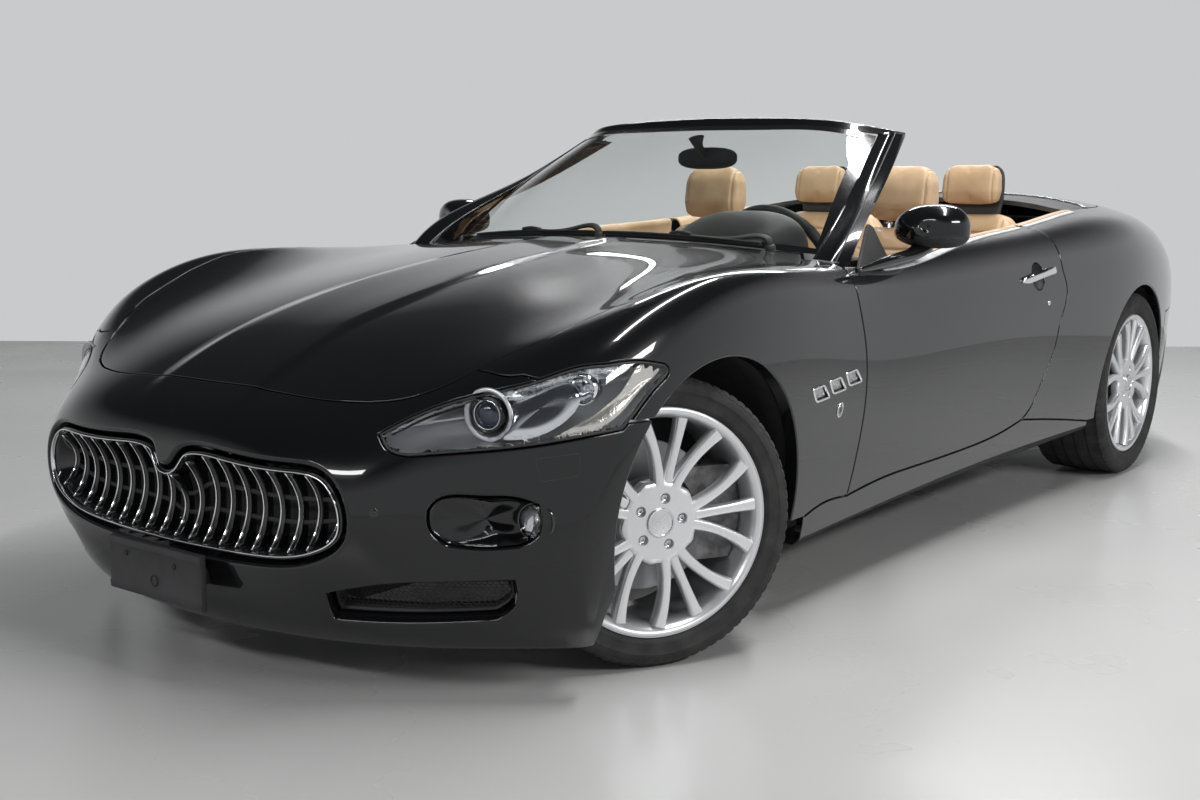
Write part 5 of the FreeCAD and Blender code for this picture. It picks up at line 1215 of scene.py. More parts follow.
def build_tail():
    trunk = panel_mesh("trunk_skin", Edge(trunk_outline()))
    finish_piece(trunk, "trunk_lid", PAINT, "black_paint", "trunk_lid")
    front = both_sides(traced("plan", TONNEAU_SHARES[:1] + TONNEAU_FRONT_SIDE + TONNEAU_STRIP_SHARES))
    rear = both_sides(traced("plan", [TONNEAU_STRIP_SHARES[0][::-1]] + TONNEAU_REAR_SIDE
                             + TONNEAU_SHARES[2:]))
    shelf = panel_mesh("tonneau_shelf", Edge(front, 0.005, 0.002), sink=0.002)
    finish_piece(shelf, "tonneau_cover", SHELF, "black_plastic", "tonneau_cover")
    tonneau = panel_mesh("tonneau_skin", Edge(rear))
    finish_piece(tonneau, "tonneau_cover", PAINT, "black_paint")
    strip = trace("plan", TONNEAU_STRIP_SHARES[0])
    strip = np.concatenate([strip, flipped(strip)[1:]])
    strip_normals = net_normal(strip)
    bright = sweep("tonneau_strip", net_point(strip) + strip_normals * 0.0015,
                   box_section(0.014, 0.005, 0.002), strip_normals)
    finish_piece(bright, "tonneau_cover", SATIN, "chrome")
    foot = skirt_place(0.730)
    left = join(trace("rear", [(0.0, 0.656), (0.585, 0.656), (0.845, 0.640)]),
                trace("side", REAR_SPLIT_SHARES)[::-1], trace("side", [(0.730, 0.590), (0.730, 0.235)]),
                edge_line(foot, (1, 1)), edge_line((1, 1), (1, 0.5)))
    outlets = []
    for x in (0.50, 0.61):
        angles = np.linspace(0, 2 * math.pi, 40, endpoint=False)
        ring = np.stack([x + 0.0456 / HALF_WIDTH * np.cos(angles), 0.245 + 0.0456 / DECK_HEIGHT
                         * np.sin(angles)], -1)
        outlet = Edge(locate("rear", ring), 0, 0.004, 0.03)
        outlets += [outlet, other_side(outlet)]
    item = panel_mesh("rear_bumper_skin", Edge(both_sides(left)),
                      [rear_arch_hole, other_side(rear_arch_hole)] + outlets)
    finish_piece(item, "body", PAINT, "black_paint", "rear_bumper")


def build_cowl():
    line = both_sides(traced("plan", COWL_SHARES))
    item = panel_mesh("cowl_strip", Edge(line), [], sink=0.004)
    finish_piece(item, "body", MATT, "black_plastic")


build_hood()
build_fenders()
build_front_bumper()
build_doors()
build_sills()
build_quarters()
build_tail()
build_cowl()


# The mouth: black throat, bright surround and upright slats whose edges curve in
def ring_at(line, inset, depth):
    """A closed outline moved in over the skin and sunk below it, as points."""
    place = moved_in(line, inset)
    return net_point(place) - net_normal(place) * depth


def mouth_heights(x, ring):
    """The highest and lowest points of the mouth's ring at a width."""
    ahead = np.roll(ring, -1, 0)
    cross = (ring[:, 0] - x) * (ahead[:, 0] - x) <= 0
    start, end = ring[cross], ahead[cross]
    share = ((x - start[:, 0]) / np.where(np.abs(end[:, 0] - start[:, 0]) < 1e-9, 1, end[:, 0]
                                          - start[:, 0]))[:, None]
    spots = start + (end - start) * share
    return spots[spots[:, 2].argmax()], spots[spots[:, 2].argmin()]


SLAT_PITCH = 0.054
SLAT_HOLLOW = 0.046
SLAT_DEPTH = 0.060


def build_mouth():
    line = both_sides(traced("front", MOUTH_SHARES))
    rings = [ring_at(line, inset, depth) for inset, depth in
             ((0.010, 0.020), (0.013, 0.012), (0.017, 0.014), (0.019, 0.030), (0.024, 0.105))]
    throat = loft("mouth_throat", np.array(rings), ring=True, caps=False)
    finish_piece(throat, "body", GLOSS, "black_plastic")
    back = rings[-1] + np.array([0, 0.004, 0])
    wall = make_mesh("mouth_wall", back, [tuple(range(len(back)))])
    finish_piece(wall, "body", MATT, "black_plastic")
    bright = moved_in(line, 0.0195)
    normals = net_normal(bright)
    surround = sweep("mouth_surround", net_point(bright) - normals * 0.013,
                     box_section(0.0034, 0.010, 0.0014), normals, closed=True)
    finish_piece(surround, "body", CHROME, "chrome", "grille")
    inner = ring_at(line, 0.023, 0.020)
    blades, edges = [], []
    for step in range(-9, 10):
        high, low = mouth_heights(step * SLAT_PITCH + (0.0004 if step == 0 else 0), inner)
        if high[2] - low[2] < 0.05:
            continue
        t = np.linspace(0.0, 1.0, 22)
        line_points = high + (low - high) * t[:, None]
        line_points[:, 1] += SLAT_HOLLOW * 4 * t * (1 - t) * 0.8 + 0.004
        forward = np.array([0, -1.0, 0])
        edges.append(sweep("slat_edge", line_points, box_section(0.0034, 0.0050, 0.0014), forward))
        rear = line_points.copy()
        rear[:, 1] = line_points[:, 1] * 0.35 + (high[1] + SLAT_DEPTH) * 0.65 + 0.012
        half = 0.0032
        rows = [line_points + (half, 0.002, 0), rear + (half * 0.6, 0, 0), rear - (half * 0.6, 0, 0),
                line_points + (-half, 0.002, 0)]
        blades.append(loft("slat_blade", np.stack(rows, 1)))
    finish_piece(joined("mouth_slats", *blades), "body", GLOSS, "black_plastic")
    finish_piece(joined("mouth_slat_edges", *edges), "body", CHROME, "chrome")
    rail = []
    for share in (0.36, 0.66):
        spots = []
        for x in np.linspace(-0.50, 0.50, 41):
            high, low = mouth_heights(x + 0.0003, inner)
            spots.append(high + (low - high) * share + (0, 0.050, 0))
        rail.append(sweep("slat_rail", spots, box_section(0.010, 0.006, 0.002), (0, -1.0, 0)))
    finish_piece(joined("mouth_rails", *rail), "body", MATT, "black_plastic")


def build_intakes():
    line = traced("front", INTAKE_SHARES)
    rings = [ring_at(line, inset, depth) for inset, depth in
             ((0.006, 0.040), (0.007, 0.028), (0.012, 0.030), (0.013, 0.060))]
    throat = loft("intake_throat_left", np.array(rings), caps=False)
    with_both_sides(throat, "intake_throat", "body", MATT, "black_plastic", "lower_grille")
    cell = 0.0105
    spots = net_point(line)
    low, high = spots.min(0), spots.max(0)
    hexes, points = [], []
    rows = int((high[2] - low[2]) / (cell * 0.75)) + 1
    columns = int((high[0] - low[0]) / (cell * 0.866)) + 1
    for row in range(rows):
        for column in range(columns):
            x = low[0] + (column + 0.5 * (row % 2)) * cell * 0.95
            z = low[2] + row * cell * 0.75
            angles = np.arange(6) * math.pi / 3 + math.pi / 6
            ring = np.stack([x + cell / 2 * 1.097 * np.cos(angles), z + cell / 2 * np.sin(angles)], -1)
            hexes.append(tuple(range(len(points), len(points) + 6)))
            points += [tuple(p) for p in ring]
    scale = np.array([HALF_WIDTH, DECK_HEIGHT])
    flat = np.array(points)
    inner = moved_in(line, 0.009)
    uv = locate("front", flat / scale)
    good = inside(inner, uv)
    hexes = [face for face in hexes if good[list(face)].all()]
    placed = net_point(uv) - net_normal(uv) * 0.034
    grid = make_mesh("intake_mesh_left", placed, hexes)
    shape = bmesh.new()
    shape.from_mesh(grid.data)
    bmesh.ops.remove_doubles(shape, verts=shape.verts, dist=0.0008)
    bmesh.ops.delete(shape, geom=[v for v in shape.verts if not v.link_faces], context="VERTS")
    bmesh.ops.wireframe(shape, faces=shape.faces, thickness=0.0017, use_replace=True, use_boundary=True)
    shape.to_mesh(grid.data)
    shape.free()
    with_both_sides(grid, "intake_mesh", "body", MATT, "black_plastic")


FOG_MIDDLE = np.array([0.829, -2.082, 0.408])
FOG_LOOK = np.array([0.30, -0.95, 0.0])


def build_fog():
    """A gloss duct that deepens outwards to a round lamp."""
    line = traced("front", FOG_SHARES)
    ring = moved_in(line, 0.0045)
    start = net_point(ring)
    normals = net_normal(ring)
    out_share = smooth_step((start[:, 0] - 0.69) / 0.11)
    depth = 0.006 + 0.050 * out_share
    middle = start.mean(0) + np.array([0.02, 0, 0])
    rows = [start - normals * 0.004]
    for step in range(1, 7):
        angle = math.pi / 2 * step / 6
        inward = unit(middle - start)
        inward -= normals * (inward * normals).sum(-1, keepdims=True)
        rows.append(start - normals * (0.004 + depth * math.sin(angle))[:, None]
                    + inward * 0.016 * (1 - math.cos(angle)))
    for share in (0.35, 0.7, 0.97):
        rows.append(rows[6] * (1 - share) + rows[6].mean(0) * share)
    duct = loft("fog_duct_left", np.array(rows), caps=False)
    with_both_sides(duct, "fog_duct", "body", PAINT, "black_paint")
    round_lamp("fog_lamp", FOG_MIDDLE, unit(FOG_LOOK), 0.037)


def round_lamp(name, middle, look, radius, dark_ring=True):
    """A round lamp: bezel, silver bowl with a bulb holder, and a domed clear lens."""
    bezel = [(radius * 1.16, -0.030), (radius * 1.16, -0.002), (radius * 1.10, 0.003), (radius * 1.02, 0.002),
             (radius, -0.003), (radius, -0.012)]
    bowl = [(radius, -0.004), (radius * 0.93, -0.014), (radius * 0.72, -0.026), (radius * 0.42, -0.034),
            (radius * 0.24, -0.036), (radius * 0.24, -0.016), (radius * 0.16, -0.011), (0.0004, -0.010)]
    dome = [(0.0004, 0.006), (radius * 0.45, 0.0045), (radius * 0.8, 0.001), (radius * 0.995, -0.003),
            (radius * 0.995, -0.006), (radius * 0.78, -0.002), (radius * 0.45, 0.0015), (0.0004, 0.003)]
    look_to = tuple(look)
    with_both_sides(turned(name + "_bezel_left", bezel, middle, look_to), name + "_bezel", "body",
                    GLOSS if dark_ring else CHROME, "black_plastic")
    with_both_sides(turned(name + "_bowl_left", bowl, middle, look_to), name + "_bowl", "body", CHROME,
                    "chrome")
    with_both_sides(turned(name + "_lens_left", dome, middle, look_to), name + "_lens", "body", LENS,
                    "lamp_glass")


PROJECTOR = np.array([0.727, -2.134, 0.626])
ROUND_LAMP = np.array([0.869, -1.991, 0.677])


def build_headlamps():
    line = lamp_line
    pane_line = Edge(line, 0.007, 0.0002, 0.0003)
    lens = glass_panel("headlamp_lens_left", pane_line, 0.0028, 0.001)
    right = mirrored_piece(lens, "headlamp_lens_right")
    finish_piece(lens, "body", LENS, "lamp_glass", "headlamp_left")
    finish_piece(right, "body", LENS, "lamp_glass", "headlamp_right")
    seal_line = moved_in(line, 0.0045)
    normals = net_normal(seal_line)
    seal = sweep("headlamp_seal_left", net_point(seal_line) - normals * 0.0035,
                 box_section(0.0055, 0.006, 0.002), normals, closed=True)
    with_both_sides(seal, "headlamp_seal", "body", MATT, "black_plastic")
    # Silver bowl: a tray that drops from the rim and is hollowed round the projector
    rim = moved_in(line, 0.009)
    points = net_point(rim)
    normals = net_normal(rim)
    deep = net_point(rim) - LAMP_OUT * 0.058
    middle = deep.mean(0)
    rows = [points - normals * 0.006, points - normals * 0.012 + unit(middle - points) * 0.003]
    for share in (0.25, 0.6, 1.0):
        rows.append((points - normals * 0.012) * (1 - share) + deep * share + (middle - deep) * 0.07 * share)
    for share in (0.3, 0.6, 0.97):
        rows.append(rows[4] * (1 - share) + rows[4].mean(0) * share)
    tray = loft("headlamp_tray_left", np.array(rows), caps=False)
    with_both_sides(tray, "headlamp_tray", "body", LAMP_SILVER, "rim_silver")
    ahead = unit(np.array([0.22, -0.97, -0.02]))
    base = PROJECTOR + ahead * -0.030
    cone = [(0.058, 0.004), (0.054, 0.010), (0.046, 0.000), (0.038, -0.012), (0.036, -0.040)]
    with_both_sides(turned("projector_cone_left", cone, base, tuple(ahead)), "projector_cone", "body",
                    LAMP_SILVER, "rim_silver")
    dark = [(0.0385, -0.03), (0.0385, 0.008), (0.0365, 0.011), (0.0325, 0.010), (0.0315, 0.004),
            (0.0315, -0.02)]
    with_both_sides(turned("projector_ring_left", dark, base, tuple(ahead)), "projector_ring", "body", GLOSS,
                    "black_plastic")
    bright = [(0.0322, 0.0085), (0.0310, 0.0105), (0.0295, 0.0095), (0.0290, 0.006)]
    with_both_sides(turned("projector_trim_left", bright, base, tuple(ahead)), "projector_trim", "body",
                    CHROME, "chrome")
    ball = [(0.0004, 0.019)] + [(0.029 * math.sin(a), 0.019 * math.cos(a)) for a in
                                np.linspace(0.15, math.pi / 2, 9)] + [(0.029, -0.012), (0.0004, -0.014)]
    with_both_sides(turned("projector_ball_left", ball, base, tuple(ahead)), "projector_ball", "body",
                    DARK_LENS, "lamp_glass")
    round_lamp("side_lamp", ROUND_LAMP - ahead * 0.016, ahead, 0.029, False)
    build_lamp_trim()


def lamp_sheet(name, shares, depth, edge=0.002):
    """A flat-ish reflector sheet inside the headlamp, at a depth behind its lens."""
    outline = locate("lamp", smooth_line(shares, 0.004))
    points = net_point(outline) - LAMP_OUT * depth
    middle = points.mean(0)
    rows = [points - LAMP_OUT * 0.006, points, points + unit(middle - points) * edge + LAMP_OUT * edge * 0.7]
    for share in (0.4, 0.97):
        rows.append(rows[2] * (1 - share) + middle * share + LAMP_OUT * 0.003)
    return loft(name, np.array(rows), caps=False)


def build_lamp_trim():
    strip = [(-0.345, 0.566), (-0.300, 0.578), (-0.268, 0.615), (-0.240, 0.668), (-0.228, 0.700),
             (-0.243, 0.704), (-0.262, 0.672), (-0.292, 0.620), (-0.318, 0.588), (-0.345, 0.566)]
    with_both_sides(lamp_sheet("lamp_marker_left", strip, 0.012), "lamp_marker", "body", AMBER, "lamp_glass")
    fin = [(-0.400, 0.560), (-0.378, 0.560), (-0.325, 0.668), (-0.346, 0.678), (-0.400, 0.560)]
    with_both_sides(lamp_sheet("lamp_fin_left", fin, 0.020), "lamp_fin", "body", CHROME, "chrome")
    upper = [(-0.405, 0.648), (-0.330, 0.687), (-0.262, 0.697), (-0.268, 0.688), (-0.330, 0.676),
             (-0.398, 0.640), (-0.405, 0.648)]
    with_both_sides(lamp_sheet("lamp_brow_left", upper, 0.012), "lamp_brow", "body", SATIN, "rim_silver")



def build_plate():
    """The bare number plate bracket with two screws and a rounded slot."""
    low, high = (np.array(corner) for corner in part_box("plate_bracket"))
    front = low[1]
    across = np.linspace(-0.170, 0.170, 21)
    rows = []
    for z, y in ((low[2] + 0.001, front + 0.006), (low[2] + 0.004, front + 0.002),
                 (low[2] + 0.018, front + 0.001), (low[2] + 0.022, front + 0.0035),
                 (high[2] - 0.022, front + 0.0035),
                 (high[2] - 0.018, front + 0.001), (high[2] - 0.004, front + 0.002),
                 (high[2] - 0.001, front + 0.006)):
        rows.append([(x, y, z) for x in across])
    face = np.array(rows)
    rear = face.copy()[::-1]
    rear[..., 1] = front + 0.018
    item = loft("plate_holder", np.concatenate([face, rear]), ring=False, loop=True, caps=False)
    shape = bmesh.new()
    shape.from_mesh(item.data)
    bmesh.ops.holes_fill(shape, edges=shape.edges)
    bmesh.ops.recalc_face_normals(shape, faces=shape.faces)
    shape.to_mesh(item.data)
    shape.free()
    bevelled(item, 0.002)
    finish_piece(item, "body", DARK, "black_plastic", "plate_bracket")
    middle = (low[2] + high[2]) / 2
    heads = []
    for x, z in ((-0.105, middle + 0.028), (0.075, middle + 0.024)):
        head = [(0.0062, -0.001), (0.0062, 0.0018), (0.005, 0.003), (0.0028, 0.0032), (0.0022, 0.0012),
                (0.0003, 0.001)]
        heads.append(turned("screw", head, (x, front + 0.003, z), (0, -1, 0), 20))
    slot = [(0.0135, -0.0005), (0.0135, 0.0022), (0.0115, 0.003), (0.0105, 0.0022), (0.0100, -0.0006),
            (0.0003, -0.0008)]
    heads.append(turned("socket", slot, (0.0, front + 0.0035, middle - 0.020), (0, -1, 0), 28))
    finish_piece(joined("plate_screws", *heads), "body", MATT, "black_plastic")
    arms = []
    for side in (-1, 1):
        start = np.array([side * 0.11, front + 0.016, middle])
        end = np.array([side * 0.11, high[1] + 0.006, middle + 0.01])
        arms.append(sweep("plate_arm", spline([start, (start + end) / 2, end], 6),
                          box_section(0.05, 0.04, 0.006)))
    finish_piece(joined("plate_arms", *arms), "body", MATT, "black_plastic")


def lid_groove(name, drawing, corners, radius=0.006):
    """The thin groove round a small rounded cover that lies flush in the skin."""
    flat = np.array(corners, float)
    first, second = DRAWINGS[drawing][:2]
    lengths = np.array([np.linalg.norm(first), np.linalg.norm(second)])
    spots = []
    for i, corner in enumerate(flat):
        before = flat[i - 1] - corner
        after = flat[(i + 1) % len(flat)] - corner
        a = corner + before / np.linalg.norm(before * lengths) * radius
        b = corner + after / np.linalg.norm(after * lengths) * radius
        for t in (0, 0.35, 0.65, 1):
            spots.append(a * (1 - t) ** 2 + corner * 2 * t * (1 - t) + b * t * t)
    outline = []
    for i, spot in enumerate(spots):
        after = spots[(i + 1) % len(spots)]
        count = max(1, int(np.linalg.norm((after - spot) * lengths) / 0.006))
        outline += [spot * (1 - s / count) + after * (s / count) for s in range(count)]
    line = locate(drawing, np.array(outline))
    normals = net_normal(line)
    groove = sweep(name + "_groove", net_point(line) + normals * -0.0002, box_section(0.0018, 0.0016, 0.0006),
                   normals, closed=True)
    return groove


def build_nose_details():
    washer = [(-0.365, 0.525), (-0.318, 0.534), (-0.316, 0.489), (-0.360, 0.479)]
    groove = lid_groove("washer_cover", "lamp", washer)
    with_both_sides(groove, "washer_cover_groove", "body", MATT, "black_plastic")
    spot = np.array([[0.620, 0.422]])
    uv = locate("front", spot)
    place, normal = net_point(uv)[0], net_normal(uv)[0]
    ring = [(0.0098, -0.0012), (0.0098, 0.0006), (0.0085, 0.0012), (0.0078, 0.0002), (0.0070, 0.0008),
            (0.0003, 0.0012)]
    sensor = turned("park_sensor_left", ring, place, tuple(normal), 28)
    with_both_sides(sensor, "park_sensor", "body", GLOSS, "black_plastic")


LAMP_SILVER = Look("lamp_silver", (0.62, 0.63, 0.65), 0.32, 0.85)
LAMP_SILVER.relief(LAMP_SILVER.noise(0.004), 0.05, 0.0003)
LAMP_SILVER = LAMP_SILVER.item
AMBER = Look("marker_reflector", (0.80, 0.76, 0.70), 0.16, 0.80, Coat_Weight=1.0, Coat_Roughness=0.02)
AMBER.relief(AMBER.cells(0.0045), 0.6, 0.0008)
AMBER = AMBER.item
DARK_LENS = Look("projector_glass", (0.035, 0.045, 0.075), 0.03, 0.0, Coat_Weight=1.0, Coat_Roughness=0.01)
DARK_LENS.relief(DARK_LENS.noise(0.02), 0.02, 0.0002)
DARK_LENS = DARK_LENS.item

build_mouth()
build_intakes()
build_fog()
build_headlamps()
build_plate()
build_nose_details()


# Wheels: rounded spokes in groups of three, tyres with tread and side-wall relief
BOW = [(0.0, 13.0), (0.3, 15.5), (0.65, 19.5), (1.0, 24.0)]
GROUPS = 5
BOLT_CIRCLE = 0.057
SPOKE_WIDTH = 0.0285


def spoke(name, angles, radii, heights, widths, depth, turn):
    """One spoke in the wheel's own frame, its section a rounded box that tapers."""
    angles = np.radians(np.asarray(angles)) + turn
    radii = np.asarray(radii)
    line = np.stack([radii * np.sin(angles), radii * np.cos(angles), heights], -1)
    tangent = unit(np.gradient(line[:, :2], axis=0))
    side = np.stack([tangent[:, 1], -tangent[:, 0], np.zeros(len(line))], -1)
    section = np.array([(-0.44, -1.0), (-0.52, -0.55), (-0.50, -0.20), (-0.37, -0.01), (-0.33, 0.01),
                        (0.0, 0.015),
                        (0.33, 0.01), (0.37, -0.01), (0.50, -0.20), (0.52, -0.55), (0.44, -1.0),
                        (0.0, -1.04)])
    rows = line[:, None] + side[:, None] * (section[:, 0] * np.asarray(widths)[:, None])[..., None]
    rows[..., 2] += section[:, 1] * depth
    return loft(name, rows)


def build_rim(name, end):
    """The whole rim in its own frame, its +Z pointing out of the car."""
    half = TYRE_WIDTH[end] / 2
    face = half - DISH
    flange, bead = RIM_RADIUS, BEAD_RADIUS
    barrel = [(bead - 0.009, -half * 0.86), (bead - 0.010, -half * 0.2), (bead - 0.013, face - 0.052),
              (bead - 0.010, face - 0.018), (bead - 0.004, face - 0.004), (bead + 0.004, face + 0.0035),
              (bead + 0.0085, face + 0.0055), (flange - 0.0045, face + 0.0045),
              (flange - 0.0015, face + 0.0015), (flange, face - 0.003), (flange - 0.002, half * 0.90),
              (bead + 0.008, half * 0.885), (bead, half * 0.86), (bead - 0.001, 0.0), (bead, -half * 0.88),
              (flange, -half * 0.88), (flange, -half * 0.95), (bead - 0.004, -half * 0.94)]
    parts = [turned("barrel", barrel, sides=160, closed=True)]
    crown = face - SPOKE_DEPTH * 0.22
    root = HUB_RADIUS * 0.80
    reach = bead - 0.006 - root
    share = np.linspace(0, 1, 15)
    radii = root + reach * share
    rise = crown + 0.001 + (face + 0.0005 - crown) * smooth_step(share * 1.1) + 0.002 * share
    bow_share, bow_angle = np.array(BOW).T
    angles = np.interp(share, bow_share, bow_angle)
    angles = smooth_line(np.stack([bow_share, bow_angle / 30], -1), 0.01)
    angles = np.interp(share, angles[:, 0], angles[:, 1] * 30)
    taper = SPOKE_WIDTH * (1.06 - 0.20 * np.sin(math.pi * np.clip(share * 0.9 + 0.05, 0, 1)) + 0.14
                           * share ** 4)
    for group in range(GROUPS):
        turn = group * 2 * math.pi / GROUPS
        for side in (-1, 1):
            parts.append(spoke("spoke", angles * side, radii, rise, taper, SPOKE_DEPTH * 1.15, turn))
        parts.append(spoke("spoke", angles * 0, radii, rise - 0.0035, taper * 0.92, SPOKE_DEPTH, turn))
    hub_top = crown + 0.0005
    rows = []
    steps = 240
    around = np.linspace(0, 2 * math.pi, steps, endpoint=False)
    lobes = 0.5 + 0.5 * np.cos(around * 15)
    for radius, height in ((HUB_RADIUS * 0.99, hub_top - 0.030), (HUB_RADIUS, hub_top - 0.010),
                           (HUB_RADIUS * 0.975, hub_top - 0.003), (HUB_RADIUS * 0.93, hub_top),
                           (HUB_RADIUS * 0.86, hub_top + 0.0012)):
        ring_radius = radius + 0.004 * (1 - lobes) * (radius > HUB_RADIUS * 0.9)
        rows.append(np.stack([ring_radius * np.sin(around), ring_radius * np.cos(around),
                              np.full(steps, height)], -1))
    parts.append(loft("hub_edge", np.array(rows), caps=False))
    parts.append(hub_face(hub_top + 0.0012))
    well = [(0.0132, 0.0), (0.0122, -0.0016), (0.0116, -0.014), (0.0003, -0.0145)]
    for group in range(GROUPS):
        turn = group * 2 * math.pi / GROUPS
        spot = (BOLT_CIRCLE * math.sin(turn), BOLT_CIRCLE * math.cos(turn), hub_top + 0.0012)
        parts.append(turned("well", well, spot, sides=24))
    rim = joined(name, *parts)
    bolts = []
    for group in range(GROUPS):
        turn = group * 2 * math.pi / GROUPS
        spot = (BOLT_CIRCLE * math.sin(turn), BOLT_CIRCLE * math.cos(turn), hub_top - 0.013)
        head = [(0.0085, 0.0), (0.0085, 0.0065), (0.0076, 0.0082), (0.0060, 0.0086), (0.0052, 0.0082),
                (0.0048, 0.003), (0.0003, 0.0028)]
        bolts.append(turned("bolt", head, spot, sides=6))
        bolts.append(turned("washer", [(0.0108, 0.0), (0.0104, 0.0026), (0.0086, 0.0032)], spot, sides=24))
    cap = [(0.0345, -0.002), (0.0345, 0.0032), (0.0330, 0.0046), (0.0300, 0.0040), (0.0290, 0.0026),
           (0.0265, 0.0030), (0.0150, 0.0046), (0.0003, 0.0052)]
    bolts.append(turned("cap", cap, (0, 0, hub_top + 0.0012), sides=64))
    return rim, joined(name + "_bolts", *bolts)


def hub_face(height):
    """The flat of the hub with holes for the bolts."""
    outer = np.linspace(0, 2 * math.pi, 96, endpoint=False)
    loops = [np.stack([HUB_RADIUS * 0.86 * np.sin(outer), HUB_RADIUS * 0.86 * np.cos(outer)], -1)]
    ring = np.linspace(0, 2 * math.pi, 24, endpoint=False)
    for group in range(GROUPS):
        turn = group * 2 * math.pi / GROUPS
        middle = np.array([math.sin(turn), math.cos(turn)]) * BOLT_CIRCLE
        loops.append(middle + 0.0132 * np.stack([np.cos(ring), np.sin(ring)], -1))
    edges, start = [], 0
    for loop in loops:
        edges += [(start + i, start + (i + 1) % len(loop)) for i in range(len(loop))]
        start += len(loop)
    flat = [Vector(p) for p in np.concatenate(loops)]
    found = delaunay_2d_cdt(flat, edges, [], 0, 1e-7)
    points = np.array([tuple(v) for v in found[0]])
    faces = np.array(found[2])
    middles = points[faces].mean(1)
    good = np.ones(len(faces), bool)
    for loop in loops[1:]:
        good &= np.linalg.norm(middles - loop.mean(0), axis=1) > 0.0128
    placed = np.concatenate([points, np.full((len(points), 1), height)], -1)
    item = make_mesh("hub_face", placed, faces[good])
    return faced_out(item)


TREAD_STEPS = 320


def build_tyre(name, end):
    """A tyre in its own frame: four grooves round it, slanted cuts in the shoulders, side-wall ribs."""
    radius, width = TYRE_RADIUS[end], TYRE_WIDTH[end]
    half = width / 2
    across = []
    grooves = (-0.50, -0.17, 0.17, 0.50)
    marks = sorted({*np.linspace(-0.80, 0.80, 17).round(3), *[round(g + s, 3) for g in grooves
                   for s in (-0.042, -0.032, 0.032, 0.042)]})
    for mark in marks:
        sunk = any(abs(mark - g) < 0.035 for g in grooves)
        drop = 0.0055 * (abs(mark) / 0.8) ** 3
        across.append((radius - drop - (0.0065 if sunk else 0), mark * half))
    wall = [(0.965, 0.840), (0.930, 0.885), (0.88, 0.925), (0.82, 0.952), (0.80, 0.948), (0.78, 0.958),
            (0.66, 0.985), (0.52, 0.996), (0.505, 0.989), (0.38, 0.984), (0.28, 0.974), (0.20, 0.966),
            (0.15, 0.968), (0.09, 0.945), (0.04, 0.905), (0.0, 0.87)]
    bead = RIM_RADIUS - 0.001
    upper = [(bead + (radius - bead) * r, half * w) for r, w in wall]
    lower = [(r, -w) for r, w in reversed(upper)]
    inner = [(BEAD_RADIUS + 0.001, half * 0.86), (BEAD_RADIUS + 0.001, -half * 0.86)]
    profile = np.array(lower + across + upper + inner)
    angles = np.linspace(0, 2 * math.pi, TREAD_STEPS, endpoint=False)
    count = len(profile)
    rows = np.zeros((TREAD_STEPS, count, 3))
    radii = np.tile(profile[:, 0], (TREAD_STEPS, 1))
    shoulder = (np.abs(profile[:, 1]) > half * 0.56) & (profile[:, 0] > radius - 0.016)
    rib = (np.abs(profile[:, 1]) < half * 0.46) & (np.abs(profile[:, 1]) > half
                                                   * 0.22) & (profile[:, 0] > radius - 0.003)
    step_index = np.arange(TREAD_STEPS)
    shoulder_cut = (step_index % 4) == 0
    rib_cut = (step_index % 7) == 3
    radii[np.ix_(shoulder_cut, shoulder)] -= 0.0030
    radii[np.ix_(rib_cut, rib)] -= 0.0035
    slant = np.clip(np.abs(profile[:, 1]) - half * 0.5, 0, 0.05) * 0.35
    turn = angles[:, None] + slant[None] * (profile[:, 0] > radius - 0.016)
    rows[..., 0] = radii * np.sin(turn)
    rows[..., 1] = radii * np.cos(turn)
    rows[..., 2] = profile[:, 1]
    return loft(name, rows, ring=True, loop=True, caps=False)


WHEEL_CLOCK = math.radians(12.5)


def wheel_matrix(name):
    """Where a wheel stands, its own Z pointing out of the car and its own Y up."""
    low, high = (np.array(corner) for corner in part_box("tyre_" + name))
    middle = (low + high) / 2
    side = 1 if "left" in name else -1
    out = np.array([side, 0.0, 0.0])
    if "front" in name:
        turn = math.radians(-28)
        out = side * np.array([math.cos(turn), math.sin(turn), 0])
    forward = np.cross(UP, out)
    turned_to = Matrix((tuple(forward), (0, 0, 1), tuple(out))).transposed()
    clock = Matrix.Rotation(-side * WHEEL_CLOCK, 4, "Z")
    return Matrix.Translation(middle) @ turned_to.to_4x4() @ clock


def build_wheels():
    for end in ("front", "rear"):
        rim, bolts = build_rim("rim_model_" + end, end)
        sharpen(rim, 42)
        sharpen(bolts, 42)
        tyre = sharpen(build_tyre("tyre_model_" + end, end), 38)
        for side in ("left", "right"):
            name = end + "_" + side
            matrix = wheel_matrix(name)
            for source, label, material, slot, node in (
                    (rim, "rim_skin_", SILVER, "rim_silver", "rim_" + name),
                    (bolts, "wheel_bolts_", SATIN, "chrome", None),
                                                        (tyre, "tyre_skin_", RUBBER, "tyre", "tyre_" + name)):
                mesh = source.data.copy()
                mesh.transform(matrix)
                item = bpy.data.objects.new(label + name, mesh)
                bpy.context.scene.collection.objects.link(item)
                finish_piece(item, "wheel_" + name, material, slot, *([node] if node else []))
            build_disc(name, end, matrix)
        for source in (rim, bolts, tyre):
            bpy.data.objects.remove(source)


